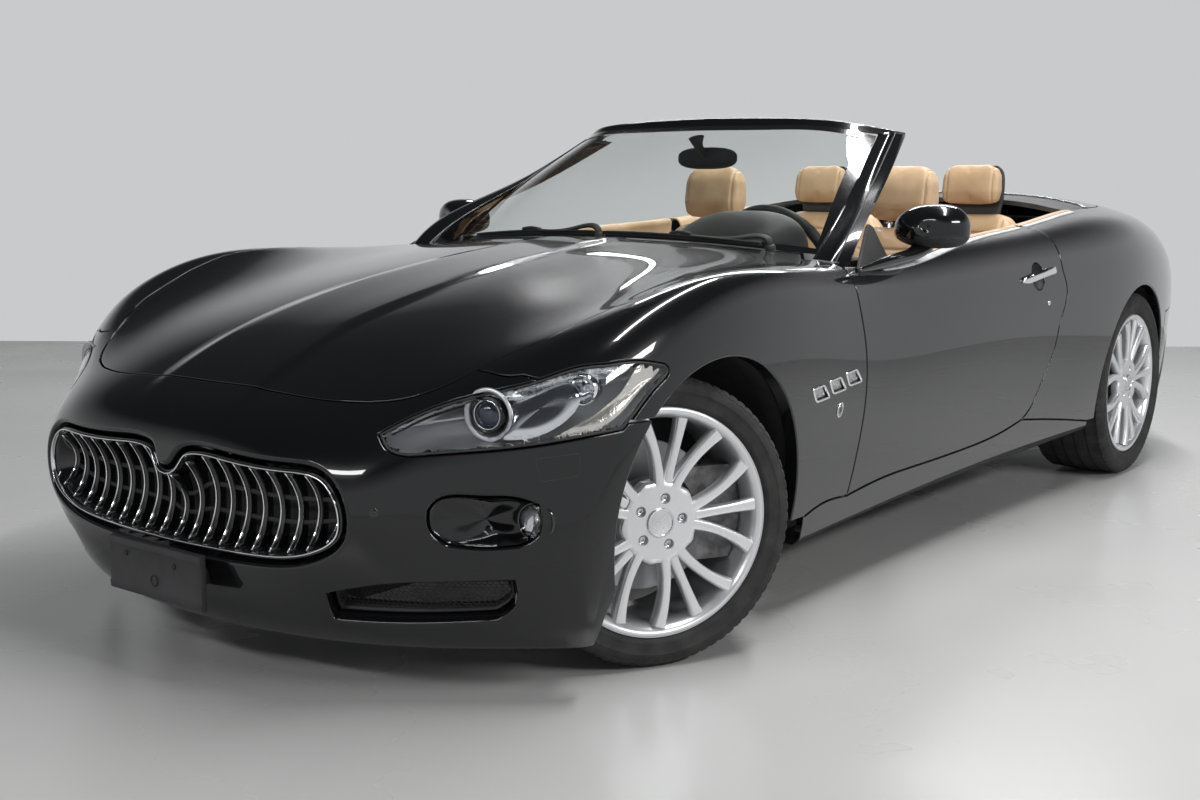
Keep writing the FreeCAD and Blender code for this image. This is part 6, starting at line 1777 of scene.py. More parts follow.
def build_disc(name, end, matrix):
    """A vented brake disc on its bell."""
    face = TYRE_WIDTH[end] / 2 - DISH
    top = face - SPOKE_DEPTH * 3.4
    low = top - 0.030
    ring = [(0.092, top), (0.1765, top), (0.1780, top - 0.0015), (0.1780, top - 0.009), (0.160, top - 0.0095),
            (0.160, low + 0.0095), (0.1780, low + 0.009), (0.1780, low + 0.0015), (0.1765, low), (0.092, low)]
    disc = turned("brake_disc_" + name, ring, sides=96, closed=True)
    bell = turned("disc_bell", [(0.093, top - 0.001), (0.088, top + 0.004), (0.085, top + 0.028),
                                (0.078, top + 0.033), (0.036, top + 0.033)], sides=64)
    whole = sharpen(joined("brake_disc_" + name, disc, bell), 40)
    whole.data.transform(matrix)
    whole.name = "brake_disc_" + name
    finish_piece(whole, "wheel_" + name, DISC, "cast_metal")


# Rows of each wheel well's liner: x, and how far it widens along the car and upwards. The front
# ones widen inwards, which leaves room for the steered tyre.
LINER_ROWS = {
    "front": ((0.905, 0.0, 0.0), (0.84, 0.020, 0.008), (0.74, 0.085, 0.010), (0.56, 0.095, 0.010),
              (0.440, 0.090, 0.0)),
    "rear": ((0.905, 0.0, 0.0), (0.84, 0.008, 0.008), (0.70, 0.010, 0.010), (0.52, 0.010, 0.010),
             (0.500, 0.0, 0.0))}


def build_arches():
    """Black liners inside the wheel openings."""
    for end, axle in (("front", FRONT_AXLE), ("rear", REAR_AXLE)):
        radius = ARCH_RADIUS[end] + 0.016
        hub = TYRE_RADIUS[end]
        angles = np.linspace(math.radians(-8), math.radians(188), 49)
        rows = []
        for x, along, up in LINER_ROWS[end]:
            rows.append(np.stack([np.full(49, x), axle + (radius + along) * np.cos(angles),
                                  hub + (radius + up) * np.sin(angles)], -1))
        inner = rows[-1].copy()
        inner[:, 1:] = (inner[:, 1:] - (axle, hub)) * 0.35 + (axle, hub)
        rows.append(inner)
        item = loft("arch_liner_%s_left" % end, np.array(rows), ring=False, caps=False)
        pane(item, 0.003)
        with_both_sides(item, "arch_liner_" + end, "body", UNDER, "black_plastic")


build_wheels()
build_arches()


# Trim on the sides: vents, handles, belt strips, mirrors
def build_vents():
    frames, wires, backs = [], [], []
    for step in range(3):
        line = rounded_corners("side", vent_corners(step), 0.012)
        normals = net_normal(line)
        inner = moved_in(line, 0.0015)
        frames.append(sweep("frame", net_point(inner) + normals * 0.0008, box_section(0.0062, 0.0075, 0.0024),
                            normals, closed=True))
        rings = [ring_at(line, inset, depth) for inset, depth in ((0.002, 0.002), (0.003, 0.014))]
        wall = loft("vent_wall", np.array(rings), caps=False)
        floor_ring = rings[-1]
        floor = make_mesh("vent_floor", floor_ring, [tuple(range(len(floor_ring)))])
        backs += [wall, floor]
        low, high = floor_ring.min(0), floor_ring.max(0)
        for family in (-1, 1):
            for shift in np.arange(-0.06, 0.10, 0.0085):
                rise = np.linspace(0, high[2] - low[2], 14)
                along = rise * 0.55 if family == 1 else 0.03 - rise * 2.2
                spots = np.stack([low[1] + shift + along, low[2] + rise], -1) / (HALF_LENGTH, DECK_HEIGHT)
                uv = locate("side", spots)
                good = inside(moved_in(line, 0.003), uv)
                if good.sum() < 3:
                    continue
                uv = uv[good]
                wires.append(sweep("wire", net_point(uv) - net_normal(uv) * (0.005 + 0.001 * family),
                                   round_section(0.0013, 6), net_normal(uv)))
    with_both_sides(joined("vent_frames_left", *frames), "vent_frames", "body", CHROME, "chrome")
    with_both_sides(joined("vent_wires_left", *wires), "vent_wires", "body", CHROME, "chrome")
    with_both_sides(joined("vent_backs_left", *backs), "vent_backs", "body", MATT, "black_plastic")


def door_pair(item, name, material, slot):
    """Finishes a piece of the left door with its mirror image on the right one."""
    other = mirrored_piece(item, name + "_right")
    finish_piece(item, "door_left", material, slot)
    finish_piece(other, "door_right", material, slot)


def build_handles():
    line = handle_outline()
    ring = moved_in(line, 0.002)
    start, normals = net_point(ring), net_normal(ring)
    middle = start.mean(0)
    rows = [start - normals * 0.002]
    for step in range(1, 7):
        angle = math.pi / 2 * step / 6
        rows.append(middle + (start - middle) * math.cos(angle) - normals * 0.034 * math.sin(angle))
    rows[-1] = middle + (start - middle) * 0.02 - normals * 0.034
    door_pair(loft("handle_bowl_left", np.array(rows), caps=False), "handle_bowl", MATT, "black_plastic")
    spots = [(0.106, 0.7775), (0.118, 0.7805), (0.140, 0.7865), (0.165, 0.793), (0.190, 0.7995),
             (0.208, 0.8035), (0.218, 0.8055)]
    uv = locate("side", spots)
    lift = np.array([0.002, 0.011, 0.018, 0.020, 0.018, 0.012, 0.002])[:, None]
    points = spline(net_point(uv) + net_normal(uv) * lift, 28)
    sizes = np.interp(np.linspace(0, 1, 28), [0, 0.06, 0.16, 0.5, 0.84, 0.94, 1],
                      [0.25, 0.8, 1.05, 0.92, 1.15, 0.9, 0.3])
    normal = net_normal(uv[3:4])[0]
    bar = sweep("door_handle_left", points, box_section(0.024, 0.013, 0.0062, 4), normal, sizes=sizes)
    door_pair(bar, "door_handle", CHROME, "chrome")
    lock = locate("side", [(0.192, 0.700)])
    key = [(0.0085, -0.001), (0.0085, 0.0015), (0.0070, 0.0026), (0.0032, 0.0028), (0.0026, 0.0012),
           (0.0003, 0.001)]
    plug = turned("door_lock_left", key, net_point(lock)[0], tuple(net_normal(lock)[0]), 28)
    finish_piece(plug, "door_left", CHROME, "chrome")


def strip_along(name, line, body_pair, material, slot, width, height, inset, lift):
    """A strip that follows an open line on the skin, shifted towards the cabin."""
    points, normals = net_point(line), net_normal(line)
    tangent = unit(np.gradient(points, axis=0))
    inward = np.cross(normals, tangent)
    inward *= -np.sign(inward[:, :1] * points[:, :1])
    section = box_section(width, height, min(width, height) * 0.35)
    item = sweep(name + "_left", points + inward * inset + normals * lift, section, normals)
    other = mirrored_piece(item, name + "_right")
    finish_piece(item, body_pair[0], material, slot)
    finish_piece(other, body_pair[1], material, slot)


def build_belt():
    front = door_belt[door_belt.shape[0] // 7:-2]
    doors = ("door_left", "door_right")
    strip_along("belt_strip_door", front, doors, BELT, "chrome", 0.020, 0.006, -0.0125, 0.0015)
    strip_along("belt_seal_door", front, doors, MATT, "black_plastic", 0.010, 0.006, -0.002, 0.001)
    rear = quarter_belt[2:]
    strip_along("belt_strip_quarter", rear, ("body", "body"), BELT, "chrome", 0.020, 0.006, -0.0125, 0.0015)
    strip_along("belt_seal_quarter", rear, ("body", "body"), MATT, "black_plastic", 0.010, 0.006, -0.002,
                0.001)


MIRROR_MIDDLE = np.array([0.9195, -0.4393, 0.9880])


def build_mirrors():
    """A domed housing, gloss above and matt below, with its glass set in behind."""
    rows = []
    angles = np.linspace(0, 2 * math.pi, 56, endpoint=False)
    cosine, sine = np.cos(angles), np.sin(angles)
    wide = np.sign(cosine) * np.abs(cosine) ** 0.72
    tall = np.sign(sine) * np.abs(sine) ** np.where(sine > 0, 0.86, 0.62)
    for y, scale in ((-0.0780, 0.02), (-0.0765, 0.20), (-0.0720, 0.40), (-0.0630, 0.60), (-0.0500, 0.775),
                     (-0.0330, 0.900), (-0.0120, 0.972), (0.0120, 1.0), (0.0270, 0.992), (0.0325, 0.975),
                     (0.0335, 0.955), (0.0320, 0.935), (0.0240, 0.925), (0.0230, 0.60), (0.0230, 0.02)):
        half_wide = np.where(cosine > 0, 0.108, 0.106)
        half_tall = np.where(sine > 0, 0.073, 0.054) * np.where(cosine > 0, 1, 1 - 0.16 * np.abs(cosine))
        lean = 0.006 * (1 - scale)
        rows.append(np.stack([wide * half_wide * scale, np.full(56, y) + wide * 0.010 * (y < 0.02),
                              tall * half_tall * scale + lean - 0.004], -1))
    shape = np.array(rows) + MIRROR_MIDDLE
    item = loft("mirror_housing_left", shape, caps=True)
    item.data.materials.append(PAINT)
    right = mirrored_piece(item, "mirror_housing_right")
    for housing, body, node in ((item, "door_left", "mirror_left"), (right, "door_right", "mirror_right")):
        finish_piece(housing, body, PAINT, "black_paint", node)
        housing.data.materials.append(MATT)
        for polygon in housing.data.polygons:
            low = polygon.center.z < MIRROR_MIDDLE[2] - 0.027
            inner = polygon.center.y > MIRROR_MIDDLE[1] + 0.0335
            polygon.material_index = 1 if low or inner else 0
    glass = [MIRROR_MIDDLE + (np.array(rows[12]) * (0.985, 0, 0.985) + (0, 0.0245, 0)),
             MIRROR_MIDDLE + (np.array(rows[12]) * (0.97, 0, 0.97) + (0, 0.0255, 0)),
             MIRROR_MIDDLE + (np.array(rows[12]) * (0.3, 0, 0.3) + (0, 0.0258, 0)),
             MIRROR_MIDDLE + (np.array(rows[12]) * (0.01, 0, 0.01) + (0, 0.0258, 0))]
    door_pair(loft("mirror_glass_left", np.array(glass), caps=False), "mirror_glass", CHROME, "chrome")
    foot = [(-0.800, 0.880, 0.007, 0.880, 0.006), (-0.740, 0.881, 0.012, 0.886, 0.011),
            (-0.660, 0.884, 0.018, 0.895, 0.016), (-0.560, 0.890, 0.024, 0.907, 0.018),
            (-0.480, 0.897, 0.029, 0.922, 0.020), (-0.440, 0.900, 0.030, 0.936, 0.022),
            (-0.412, 0.898, 0.022, 0.940, 0.016)]
    ring = np.linspace(0, 2 * math.pi, 20, endpoint=False)
    rows = [np.stack([x + w * np.cos(ring), np.full(20, y), z + h * np.sin(ring)], -1)
            for y, x, w, z, h in foot]
    rows = np.array(rows)
    dense = np.stack([spline(rows[:, j], 26) for j in range(20)], 1)
    door_pair(loft("mirror_arm_left", dense), "mirror_arm", GLOSS, "black_plastic")


# Screen: curved glass with a black band, its pillars and header, and the cabin mirror
SCREEN_SHARES = [
    [(0.0, -0.3352, 0.914), (0.313, -0.3278, 0.910), (0.585, -0.3053, 0.894), (0.771, -0.2856, 0.878)],
    [(0.0, -0.2295, 1.097), (0.292, -0.2245, 1.093), (0.543, -0.2110, 1.078), (0.702, -0.1864, 1.053)],
    [(0.0, -0.1074, 1.262), (0.272, -0.1024, 1.260), (0.501, -0.0881, 1.250), (0.611, -0.0615, 1.225)],
]
PILLAR_SHARES = [
    [(0.766, -0.3160, 0.902), (0.836, -0.3260, 0.893), (0.878, -0.3080, 0.885), (0.776, -0.2620, 0.885)],
    [(0.692, -0.1840, 1.068), (0.742, -0.1860, 1.064), (0.785, -0.1730, 1.056), (0.715, -0.1500, 1.052)],
    [(0.600, -0.0500, 1.236), (0.642, -0.0450, 1.238), (0.650, -0.0050, 1.232), (0.590, 0.0000, 1.226)],
]
PILLAR_FOOT_SHARES = [(0.770, -0.3520, 0.840), (0.836, -0.3500, 0.840), (0.880, -0.3220, 0.840),
                      (0.776, -0.2700, 0.840)]
HEADER_SHARES = [
    [(0.640, -0.0450, 1.228), (0.640, -0.0330, 1.244), (0.640, 0.0000, 1.240), (0.640, -0.0100, 1.222)],
    [(0.501, -0.0881, 1.246), (0.501, -0.0780, 1.272), (0.501, -0.0480, 1.268), (0.501, -0.0560, 1.242)],
    [(0.272, -0.1024, 1.256), (0.272, -0.0930, 1.286), (0.272, -0.0640, 1.282), (0.272, -0.0720, 1.254)],
    [(0.0, -0.1074, 1.258), (0.0, -0.0985, 1.290), (0.0, -0.0700, 1.286), (0.0, -0.0780, 1.256)],
]
SCALE = np.array([HALF_WIDTH, HALF_LENGTH, DECK_HEIGHT])
SCREEN_ACROSS = 61
SCREEN_UP = 41


def screen_grid():
    """Points of the glass, rows from the foot to the header."""
    rows = []
    for row in SCREEN_SHARES:
        left = np.array(row) * SCALE
        whole = np.concatenate([left[:0:-1] * (-1, 1, 1), left])
        rows.append(spline(whole, SCREEN_ACROSS))
    rows = np.array(rows)
    return np.stack([spline(rows[:, j], SCREEN_UP) for j in range(SCREEN_ACROSS)], 1)


def smoothed_sections(sections, count):
    """Four-cornered sections joined by smooth lines, their corners rounded off."""
    sections = np.asarray(sections, float)
    dense = np.stack([spline(sections[:, j], count) for j in range(4)], 1)
    rows = []
    for quad in dense:
        ring = []
        for j in range(4):
            corner, before, after = quad[j], quad[j - 1], quad[(j + 1) % 4]
            for share in (0.30, 0.10):
                ring.append(corner + (before - corner) * share)
            ring.append(corner * 0.92 + (before + after) * 0.04)
            for share in (0.10, 0.30):
                ring.append(corner + (after - corner) * share)
        rows.append(ring)
    return np.array(rows)


def build_screen():
    grid = screen_grid()
    across = np.gradient(grid, axis=1)
    upward = np.gradient(grid, axis=0)
    normals = unit(np.cross(across, upward))
    normals *= np.sign(-normals[..., 1:2])
    glass = loft("screen_glass", grid - normals * 0.001, ring=False, caps=False)
    pane(glass, 0.0048)
    finish_piece(glass, "body", SCREEN_GLASS, "screen_glass", "windscreen")
    u = np.linspace(0, 1, SCREEN_ACROSS)
    v = np.linspace(0, 1, SCREEN_UP)
    width = np.linalg.norm(np.diff(grid, axis=1), axis=-1).sum(1)
    height = np.linalg.norm(np.diff(grid, axis=0), axis=-1).sum(0).mean()
    keep_side = np.minimum(u[None], 1 - u[None]) * width[:, None] < 0.050
    keep = keep_side | (v[:, None] * height < 0.045) | ((1 - v[:, None]) * height < 0.040)
    inner = grid + normals * 0.0018
    number = np.arange(SCREEN_ACROSS * SCREEN_UP).reshape(SCREEN_UP, SCREEN_ACROSS)
    faces = []
    for i in range(SCREEN_UP - 1):
        for j in range(SCREEN_ACROSS - 1):
            if keep[i, j] and keep[i + 1, j + 1] and keep[i, j + 1] and keep[i + 1, j]:
                faces.append((number[i, j], number[i, j + 1], number[i + 1, j + 1], number[i + 1, j]))
    band = make_mesh("screen_band", inner.reshape(-1, 3), faces)
    shape = bmesh.new()
    shape.from_mesh(band.data)
    bmesh.ops.delete(shape, geom=[vert for vert in shape.verts if not vert.link_faces], context="VERTS")
    shape.to_mesh(band.data)
    shape.free()
    finish_piece(band, "body", GLOSS, "black_plastic")
    pillar = np.array([PILLAR_FOOT_SHARES] + PILLAR_SHARES) * SCALE
    header = np.array(HEADER_SHARES) * SCALE
    whole = np.concatenate([header, header[-2::-1] * (-1, 1, 1)])
    top = loft("screen_header", smoothed_sections(whole, 61))
    finish_piece(sharpen(top, 50), "body", PAINT, "black_paint")
    post = sharpen(joined("screen_pillar_left", loft("pillar", smoothed_sections(pillar, 34))), 50)
    right = mirrored_piece(post, "screen_pillar_right")
    finish_piece(post, "body", PAINT, "black_paint", "windscreen_frame")
    finish_piece(right, "body", PAINT, "black_paint")
    seals = []
    line = pillar[:, 2] * 0.55 + pillar[:, 3] * 0.45
    out = unit(np.array([0.75, 0.60, -0.1]))
    dense = spline(line, 30) + out * 0.004
    seals.append(sweep("pillar_seal_left", dense, box_section(0.016, 0.009, 0.004), out))
    with_both_sides(seals[0], "pillar_seal", "body", MATT, "black_plastic")
    groove = spline(pillar[:, 1] * 0.72 + pillar[:, 2] * 0.28, 30) + unit(np.array([0.5, -0.8, 0.3])) * 0.0005
    with_both_sides(sweep("pillar_groove_left", groove, box_section(0.004, 0.003, 0.001), (0.5, -0.8, 0.3)),
                    "pillar_groove", "body", MATT, "black_plastic")
    build_cabin_mirror()


def build_cabin_mirror():
    """The mirror on its foot at the top of the glass."""
    angles = np.linspace(0, 2 * math.pi, 40, endpoint=False)
    wide = np.sign(np.cos(angles)) * np.abs(np.cos(angles)) ** 0.7 * 0.118
    tall = np.sign(np.sin(angles)) * np.abs(np.sin(angles)) ** 0.75 * 0.036
    rows = []
    for y, scale in ((-0.020, 0.02), (-0.019, 0.5), (-0.015, 0.8), (-0.008, 0.95), (0.0, 1.0), (0.006, 0.985),
                     (0.007, 0.95), (0.006, 0.93), (0.006, 0.02)):
        rows.append(np.stack([wide * scale, np.full(40, y), tall * scale], -1))
    middle = np.array([0.0, -0.225, 1.196])
    finish_piece(loft("cabin_mirror", np.array(rows) + middle), "body", MATT, "black_plastic")
    foot = [(0, -0.290, 1.262), (0, -0.280, 1.240), (0, -0.255, 1.215), (0, -0.238, 1.200)]
    sizes = [2.4, 1.5, 1.0, 1.0]
    dense = spline(foot, 16)
    stalk = sweep("cabin_mirror_foot", dense, round_section(0.011, 14), (1, 0, 0),
                  sizes=np.interp(np.linspace(0, 1, 16), np.linspace(0, 1, 4), sizes))
    finish_piece(stalk, "body", MATT, "black_plastic")


BLADE_SHARES = [
    [(-0.575, -0.3140, 0.919), (-0.300, -0.3345, 0.936), (0.000, -0.3410, 0.941)],
    [(0.030, -0.3410, 0.941), (0.310, -0.3345, 0.936), (0.575, -0.3140, 0.919)],
]
ARM_SHARES = [
    [(0.020, -0.3400, 0.915), (0.015, -0.3400, 0.940), (-0.100, -0.3385, 0.944), (-0.290, -0.3345, 0.941)],
    [(0.600, -0.3080, 0.890), (0.595, -0.3085, 0.922), (0.500, -0.3180, 0.929), (0.320, -0.3340, 0.941)],
]


def build_wipers():
    parts = []
    for points in BLADE_SHARES:
        line = spline(np.array(points) * SCALE, 40)
        ends = np.interp(np.linspace(0, 1, 40), [0, 0.04, 0.96, 1], [0.45, 1, 1, 0.45])
        parts.append(sweep("blade", line + (0, 0, -0.0015), box_section(0.0125, 0.0065, 0.0025), UP,
                           sizes=ends))
        parts.append(sweep("lip", line + (0, 0.004, -0.0065), box_section(0.0035, 0.007, 0.001), UP))
        middle = line[20]
        parts.append(sweep("clip", spline([middle + (-0.034, 0, 0.0035), middle + (0, 0, 0.008), middle
                                           + (0.034, 0, 0.0035)],
                                          9), box_section(0.016, 0.009, 0.003), UP))
    for points in ARM_SHARES:
        line = spline(np.array(points) * SCALE, 26)
        sizes = np.interp(np.linspace(0, 1, 26), [0, 0.1, 0.25, 1], [0.9, 1.35, 1.2, 0.72])
        parts.append(sweep("arm", line, box_section(0.0150, 0.0085, 0.003), (0, -0.5, 0.85), sizes=sizes))
        cap = [(0.0155, -0.018), (0.0155, 0.004), (0.0135, 0.009), (0.0070, 0.0112), (0.0003, 0.0115)]
        parts.append(turned("cap", cap, line[1], (0, -0.25, 0.97), 28))
    finish_piece(joined("wiper_set", *parts), "body", MATT, "black_plastic", "wipers")


def build_sails():
    """The dark triangle between the screen pillar and the belt, on the door."""
    line = [(0.888, -0.806, 0.884), (0.884, -0.760, 0.884), (0.876, -0.690, 0.888), (0.866, -0.605, 0.897),
            (0.858, -0.574, 0.902), (0.838, -0.580, 0.940), (0.812, -0.588, 0.992), (0.806, -0.600, 1.000),
            (0.812, -0.622, 0.990), (0.838, -0.690, 0.945), (0.866, -0.760, 0.905)]
    rows = np.array([line, np.array(line) - (0.009, 0, 0.0)])
    sail = bevelled(loft("mirror_sail_left", rows), 0.0015, 2)
    door_pair(sail, "mirror_sail", MATT, "black_plastic")


def build_side_lamps():
    """A small clear lamp in a bright ring below the vents."""
    spot = locate("side", [(-0.4026, 0.5107)])
    middle, normal = net_point(spot)[0], net_normal(spot)[0]
    along = unit(np.cross(UP, normal))
    up = np.cross(normal, along)

    def oval(scale, lift, steps=36):
        angles = np.linspace(0, 2 * math.pi, steps, endpoint=False)
        flat = np.outer(np.cos(angles), along) * 0.0135 + np.outer(np.sin(angles), up * 0.97 + along
                                                                   * 0.22) * 0.0185
        return middle + flat * scale + normal * lift

    ring = sweep("side_lamp_ring_left", oval(1.0, 0.001), box_section(0.0042, 0.0045, 0.0015), normal,
                 closed=True)
    with_both_sides(ring, "side_lamp_ring", "body", CHROME, "chrome")
    bowl = loft("side_lamp_bowl_left", np.array([oval(0.95, 0.0005), oval(0.5, -0.0006),
                                                 oval(0.02, -0.0008)]), caps=False)
    with_both_sides(bowl, "side_lamp_bowl", "body", LAMP_SILVER, "lamp_glass")
    lens = loft("side_lamp_lens_left", np.array([oval(0.93, 0.0015), oval(0.80, 0.0040), oval(0.5, 0.0055),
                                                 oval(0.02, 0.006)]),
                caps=False)
    with_both_sides(pane(lens, 0.0012), "side_lamp_lens", "body", LENS, "lamp_glass")


def build_sill_lips():
    """The dark underside of the sill, turned in below its painted edge."""
    edge = trace("side", SILL_EDGE_SHARES)
    points = net_point(edge)
    rows = [points + (-0.003, 0, 0.004), points + (-0.004, 0, -0.004), points * (1, 1, 0) + (-0.022, 0, 0)]
    rows[2][:, 2] = points[:, 2] - 0.016
    rows.append(np.column_stack([np.full(len(points), 0.850), points[:, 1], points[:, 2] * 0.4 + 0.105]))
    rows.append(np.column_stack([np.full(len(points), 0.800), points[:, 1], points[:, 2] * 0.2 + 0.150]))
    lip = pane(loft("sill_lip_left", np.array(rows), ring=False, caps=False), 0.002)
    with_both_sides(lip, "sill_lip", "body", UNDER, "black_plastic")


build_sails()
build_side_lamps()
build_sill_lips()
build_vents()
build_handles()
build_belt()
build_mirrors()
build_screen()
build_wipers()


# Cabin: cushions first, blown up as cloth where time allows
PILLOW_VOXEL = 0.008
PAD_TRIANGLES = 28000
HEAD_TRIANGLES = 11000
PILLOW_FRAMES = 20
PILLOW_PRESSURE = 4.0
PILLOW_CAP = 0.010


def superellipse(wide, tall, power, steps=48):
    """A rounded rectangle as pairs about its middle."""
    angles = np.linspace(0, 2 * math.pi, steps, endpoint=False)
    cosine, sine = np.cos(angles), np.sin(angles)
    return np.stack([np.sign(cosine) * np.abs(cosine) ** power * wide,
                     np.sign(sine) * np.abs(sine) ** power * tall], -1)


def vertex_array(item):
    points = np.empty(len(item.data.vertices) * 3)
    item.data.vertices.foreach_get("co", points)
    return points.reshape(-1, 3)


def normal_array(item):
    normals = np.empty(len(item.data.vertices) * 3)
    item.data.vertices.foreach_get("normal", normals)
    return normals.reshape(-1, 3)


def set_vertices(item, points):
    item.data.vertices.foreach_set("co", np.ascontiguousarray(points, float).ravel())
    item.data.update()


def baked(item):
    """Replaces a mesh by what its modifiers make of it."""
    graph = bpy.context.evaluated_depsgraph_get()
    mesh = bpy.data.meshes.new_from_object(item.evaluated_get(graph))
    item.modifiers.clear()
    item.data = mesh


def plumped(item, cap=PILLOW_CAP):
    """Turns a closed form into a padded one: remeshed evenly, then blown up a little as cloth."""
    remesh = item.modifiers.new("even", "REMESH")
    remesh.mode = "VOXEL"
    remesh.voxel_size = PILLOW_VOXEL
    baked(item)
    start = vertex_array(item)
    cloth = item.modifiers.new("cloth", "CLOTH")
    cloth.settings.quality = 4
    cloth.settings.mass = 0.3
    cloth.settings.tension_stiffness = 22
    cloth.settings.compression_stiffness = 22
    cloth.settings.bending_stiffness = 1.5
    cloth.settings.use_pressure = True
    cloth.settings.uniform_pressure_force = PILLOW_PRESSURE
    cloth.settings.effector_weights.gravity = 0
    cloth.point_cache.frame_start = 1
    cloth.point_cache.frame_end = PILLOW_FRAMES
    for frame_number in range(1, PILLOW_FRAMES + 1):
        bpy.context.scene.frame_set(frame_number)
    baked(item)
    bpy.context.scene.frame_set(1)
    moved = vertex_array(item) - start
    length = np.linalg.norm(moved, axis=1, keepdims=True)
    set_vertices(item, start + moved * np.minimum(1, cap / np.maximum(length, 1e-9)))
    finer = item.modifiers.new("finer", "SUBSURF")
    finer.levels = 1
    baked(item)
    return item


def thinned(item, triangles):
    """Takes triangles away where a pad is nearly flat, and keeps them at its seams."""
    item.data.calc_loop_triangles()
    fewer = item.modifiers.new("fewer", "DECIMATE")
    fewer.ratio = min(1.0, triangles / len(item.data.loop_triangles))
    baked(item)
    item.data.polygons.foreach_set("use_smooth", [True] * len(item.data.polygons))
    return item


def sewn(item, lines, depth=0.0055, width=0.0055, triangles=PAD_TRIANGLES):
    """Presses seams into a pad. Each line is a function giving a signed distance and a weight."""
    points, normals = vertex_array(item), normal_array(item)
    press = np.zeros(len(points))
    for line in lines:
        distance, weight = line(points, normals)
        press = np.maximum(press, weight * np.exp(-(distance / width) ** 2))
    set_vertices(item, points - normals * (press * depth)[:, None])
    return thinned(item, triangles)


def profile_at(pairs, values):
    """Interpolates columns of a table by its first column."""
    table = np.array(pairs, float)
    return [np.interp(values, table[:, 0], table[:, k]) for k in range(1, table.shape[1])]


SEAT_X = 0.3686
SEAT_SLIDE = {"left": 0.0293, "right": -0.0830}


def seat_back():
    """A backrest with raised sides round a softer middle, drawn as level sections."""
    heights = np.linspace(0.405, 0.972, 46)
    front, rear, wide, wing = profile_at([
        (0.405, 0.285, 0.425, 0.205, 0.012), (0.450, 0.275, 0.452, 0.236, 0.038),
                                          (0.560, 0.292, 0.476, 0.248, 0.062),
        (0.680, 0.322, 0.492, 0.250, 0.066), (0.800, 0.360, 0.500, 0.244, 0.052),
                                          (0.880, 0.390, 0.501, 0.226, 0.030),
        (0.930, 0.408, 0.498, 0.196, 0.014), (0.960, 0.424, 0.488, 0.160, 0.004),
                                          (0.972, 0.440, 0.474, 0.120, 0.0)], heights)
    rows = []
    for z, y0, y1, w, out in zip(heights, front, rear, wide, wing):
        ring = superellipse(w, (y1 - y0) / 2, 0.55, 72)
        ring[:, 1] += (y0 + y1) / 2
        side = np.abs(ring[:, 0]) / w
        facing = np.clip(((y0 + y1) / 2 - ring[:, 1]) / ((y1 - y0) / 2), 0, 1)
        swell = np.exp(-((side - 0.84) / 0.16) ** 2) * out
        ring[:, 1] -= swell * facing
        rows.append(np.column_stack([ring, np.full(72, z)]))
    return loft("seat_back_left", np.array(rows))


def seat_pan():
    """A seat cushion with raised sides, drawn as upright sections from front to back."""
    depths = np.linspace(-0.318, 0.300, 46)
    low, high, wide, wing = profile_at([
        (-0.318, 0.400, 0.425, 0.200, 0.0), (-0.300, 0.372, 0.458, 0.226, 0.006),
                                        (-0.250, 0.350, 0.478, 0.244, 0.022),
        (-0.150, 0.345, 0.472, 0.250, 0.040), (0.0, 0.342, 0.456, 0.250, 0.050),
                                        (0.150, 0.340, 0.448, 0.248, 0.054),
        (0.260, 0.338, 0.440, 0.236, 0.040), (0.300, 0.350, 0.420, 0.210, 0.010)], depths)
    rows = []
    for y, z0, z1, w, out in zip(depths, low, high, wide, wing):
        ring = superellipse(w, (z1 - z0) / 2, 0.5, 72)
        ring[:, 1] += (z0 + z1) / 2
        side = np.abs(ring[:, 0]) / w
        facing = np.clip((ring[:, 1] - (z0 + z1) / 2) / ((z1 - z0) / 2), 0, 1)
        ring[:, 1] += np.exp(-((side - 0.84) / 0.15) ** 2) * out * facing
        rows.append(np.column_stack([ring[:, 0], np.full(72, y), ring[:, 1]]))
    return loft("seat_pan_left", np.array(rows))


def head_pad(name, low, high, front, rear, half, lean):
    """A head restraint with a rounded top, its face a little hollow."""
    heights = np.linspace(low, high, 26)
    t = (heights - low) / (high - low)
    wide = half * np.interp(t, [0, 0.08, 0.3, 0.7, 0.9, 1.0], [0.80, 0.94, 1.0, 0.98, 0.86, 0.55])
    deep = (rear - front) / 2 * np.interp(t, [0, 0.08, 0.3, 0.75, 0.93, 1.0],
                                          [0.62, 0.84, 1.0, 0.86, 0.60, 0.25])
    middle = (front + rear) / 2 + lean * t
    rows = []
    for z, w, d, m in zip(heights, wide, deep, middle):
        ring = superellipse(w, d, 0.62, 56)
        hollow = np.clip(-ring[:, 1] / d, 0, 1) * 0.010 * (1 - (ring[:, 0] / w) ** 2)
        rows.append(np.column_stack([ring[:, 0], ring[:, 1] + m + hollow, np.full(56, z)]))
    return loft(name, np.array(rows))


def front_of(limit, axis, sign):
    """A weight that keeps a seam on the faces turned one way."""
    def weight(normals):
        return np.clip((normals[:, axis] * sign - limit) / 0.2, 0, 1)
    return weight


def side_seams(position, axis, sign, limit=0.15):
    """Two seams at a distance from the middle of a pad."""
    face = front_of(limit, axis, sign)
    return lambda points, normals: (np.abs(np.abs(points[:, 0]) - position(points)), face(normals))


def cross_seam(level, along, axis, sign, half, limit=0.15):
    """A seam across a pad at a level of one axis."""
    face = front_of(limit, axis, sign)
    return lambda points, normals: (points[:, along] - level,
                                    face(normals) * (np.abs(points[:, 0]) < half))


def rim_seam(axis, threshold):
    """A seam where a form turns from its face to its sides."""
    return lambda points, normals: ((np.abs(normals[:, axis]) - threshold) * 0.02, np.ones(len(points)))


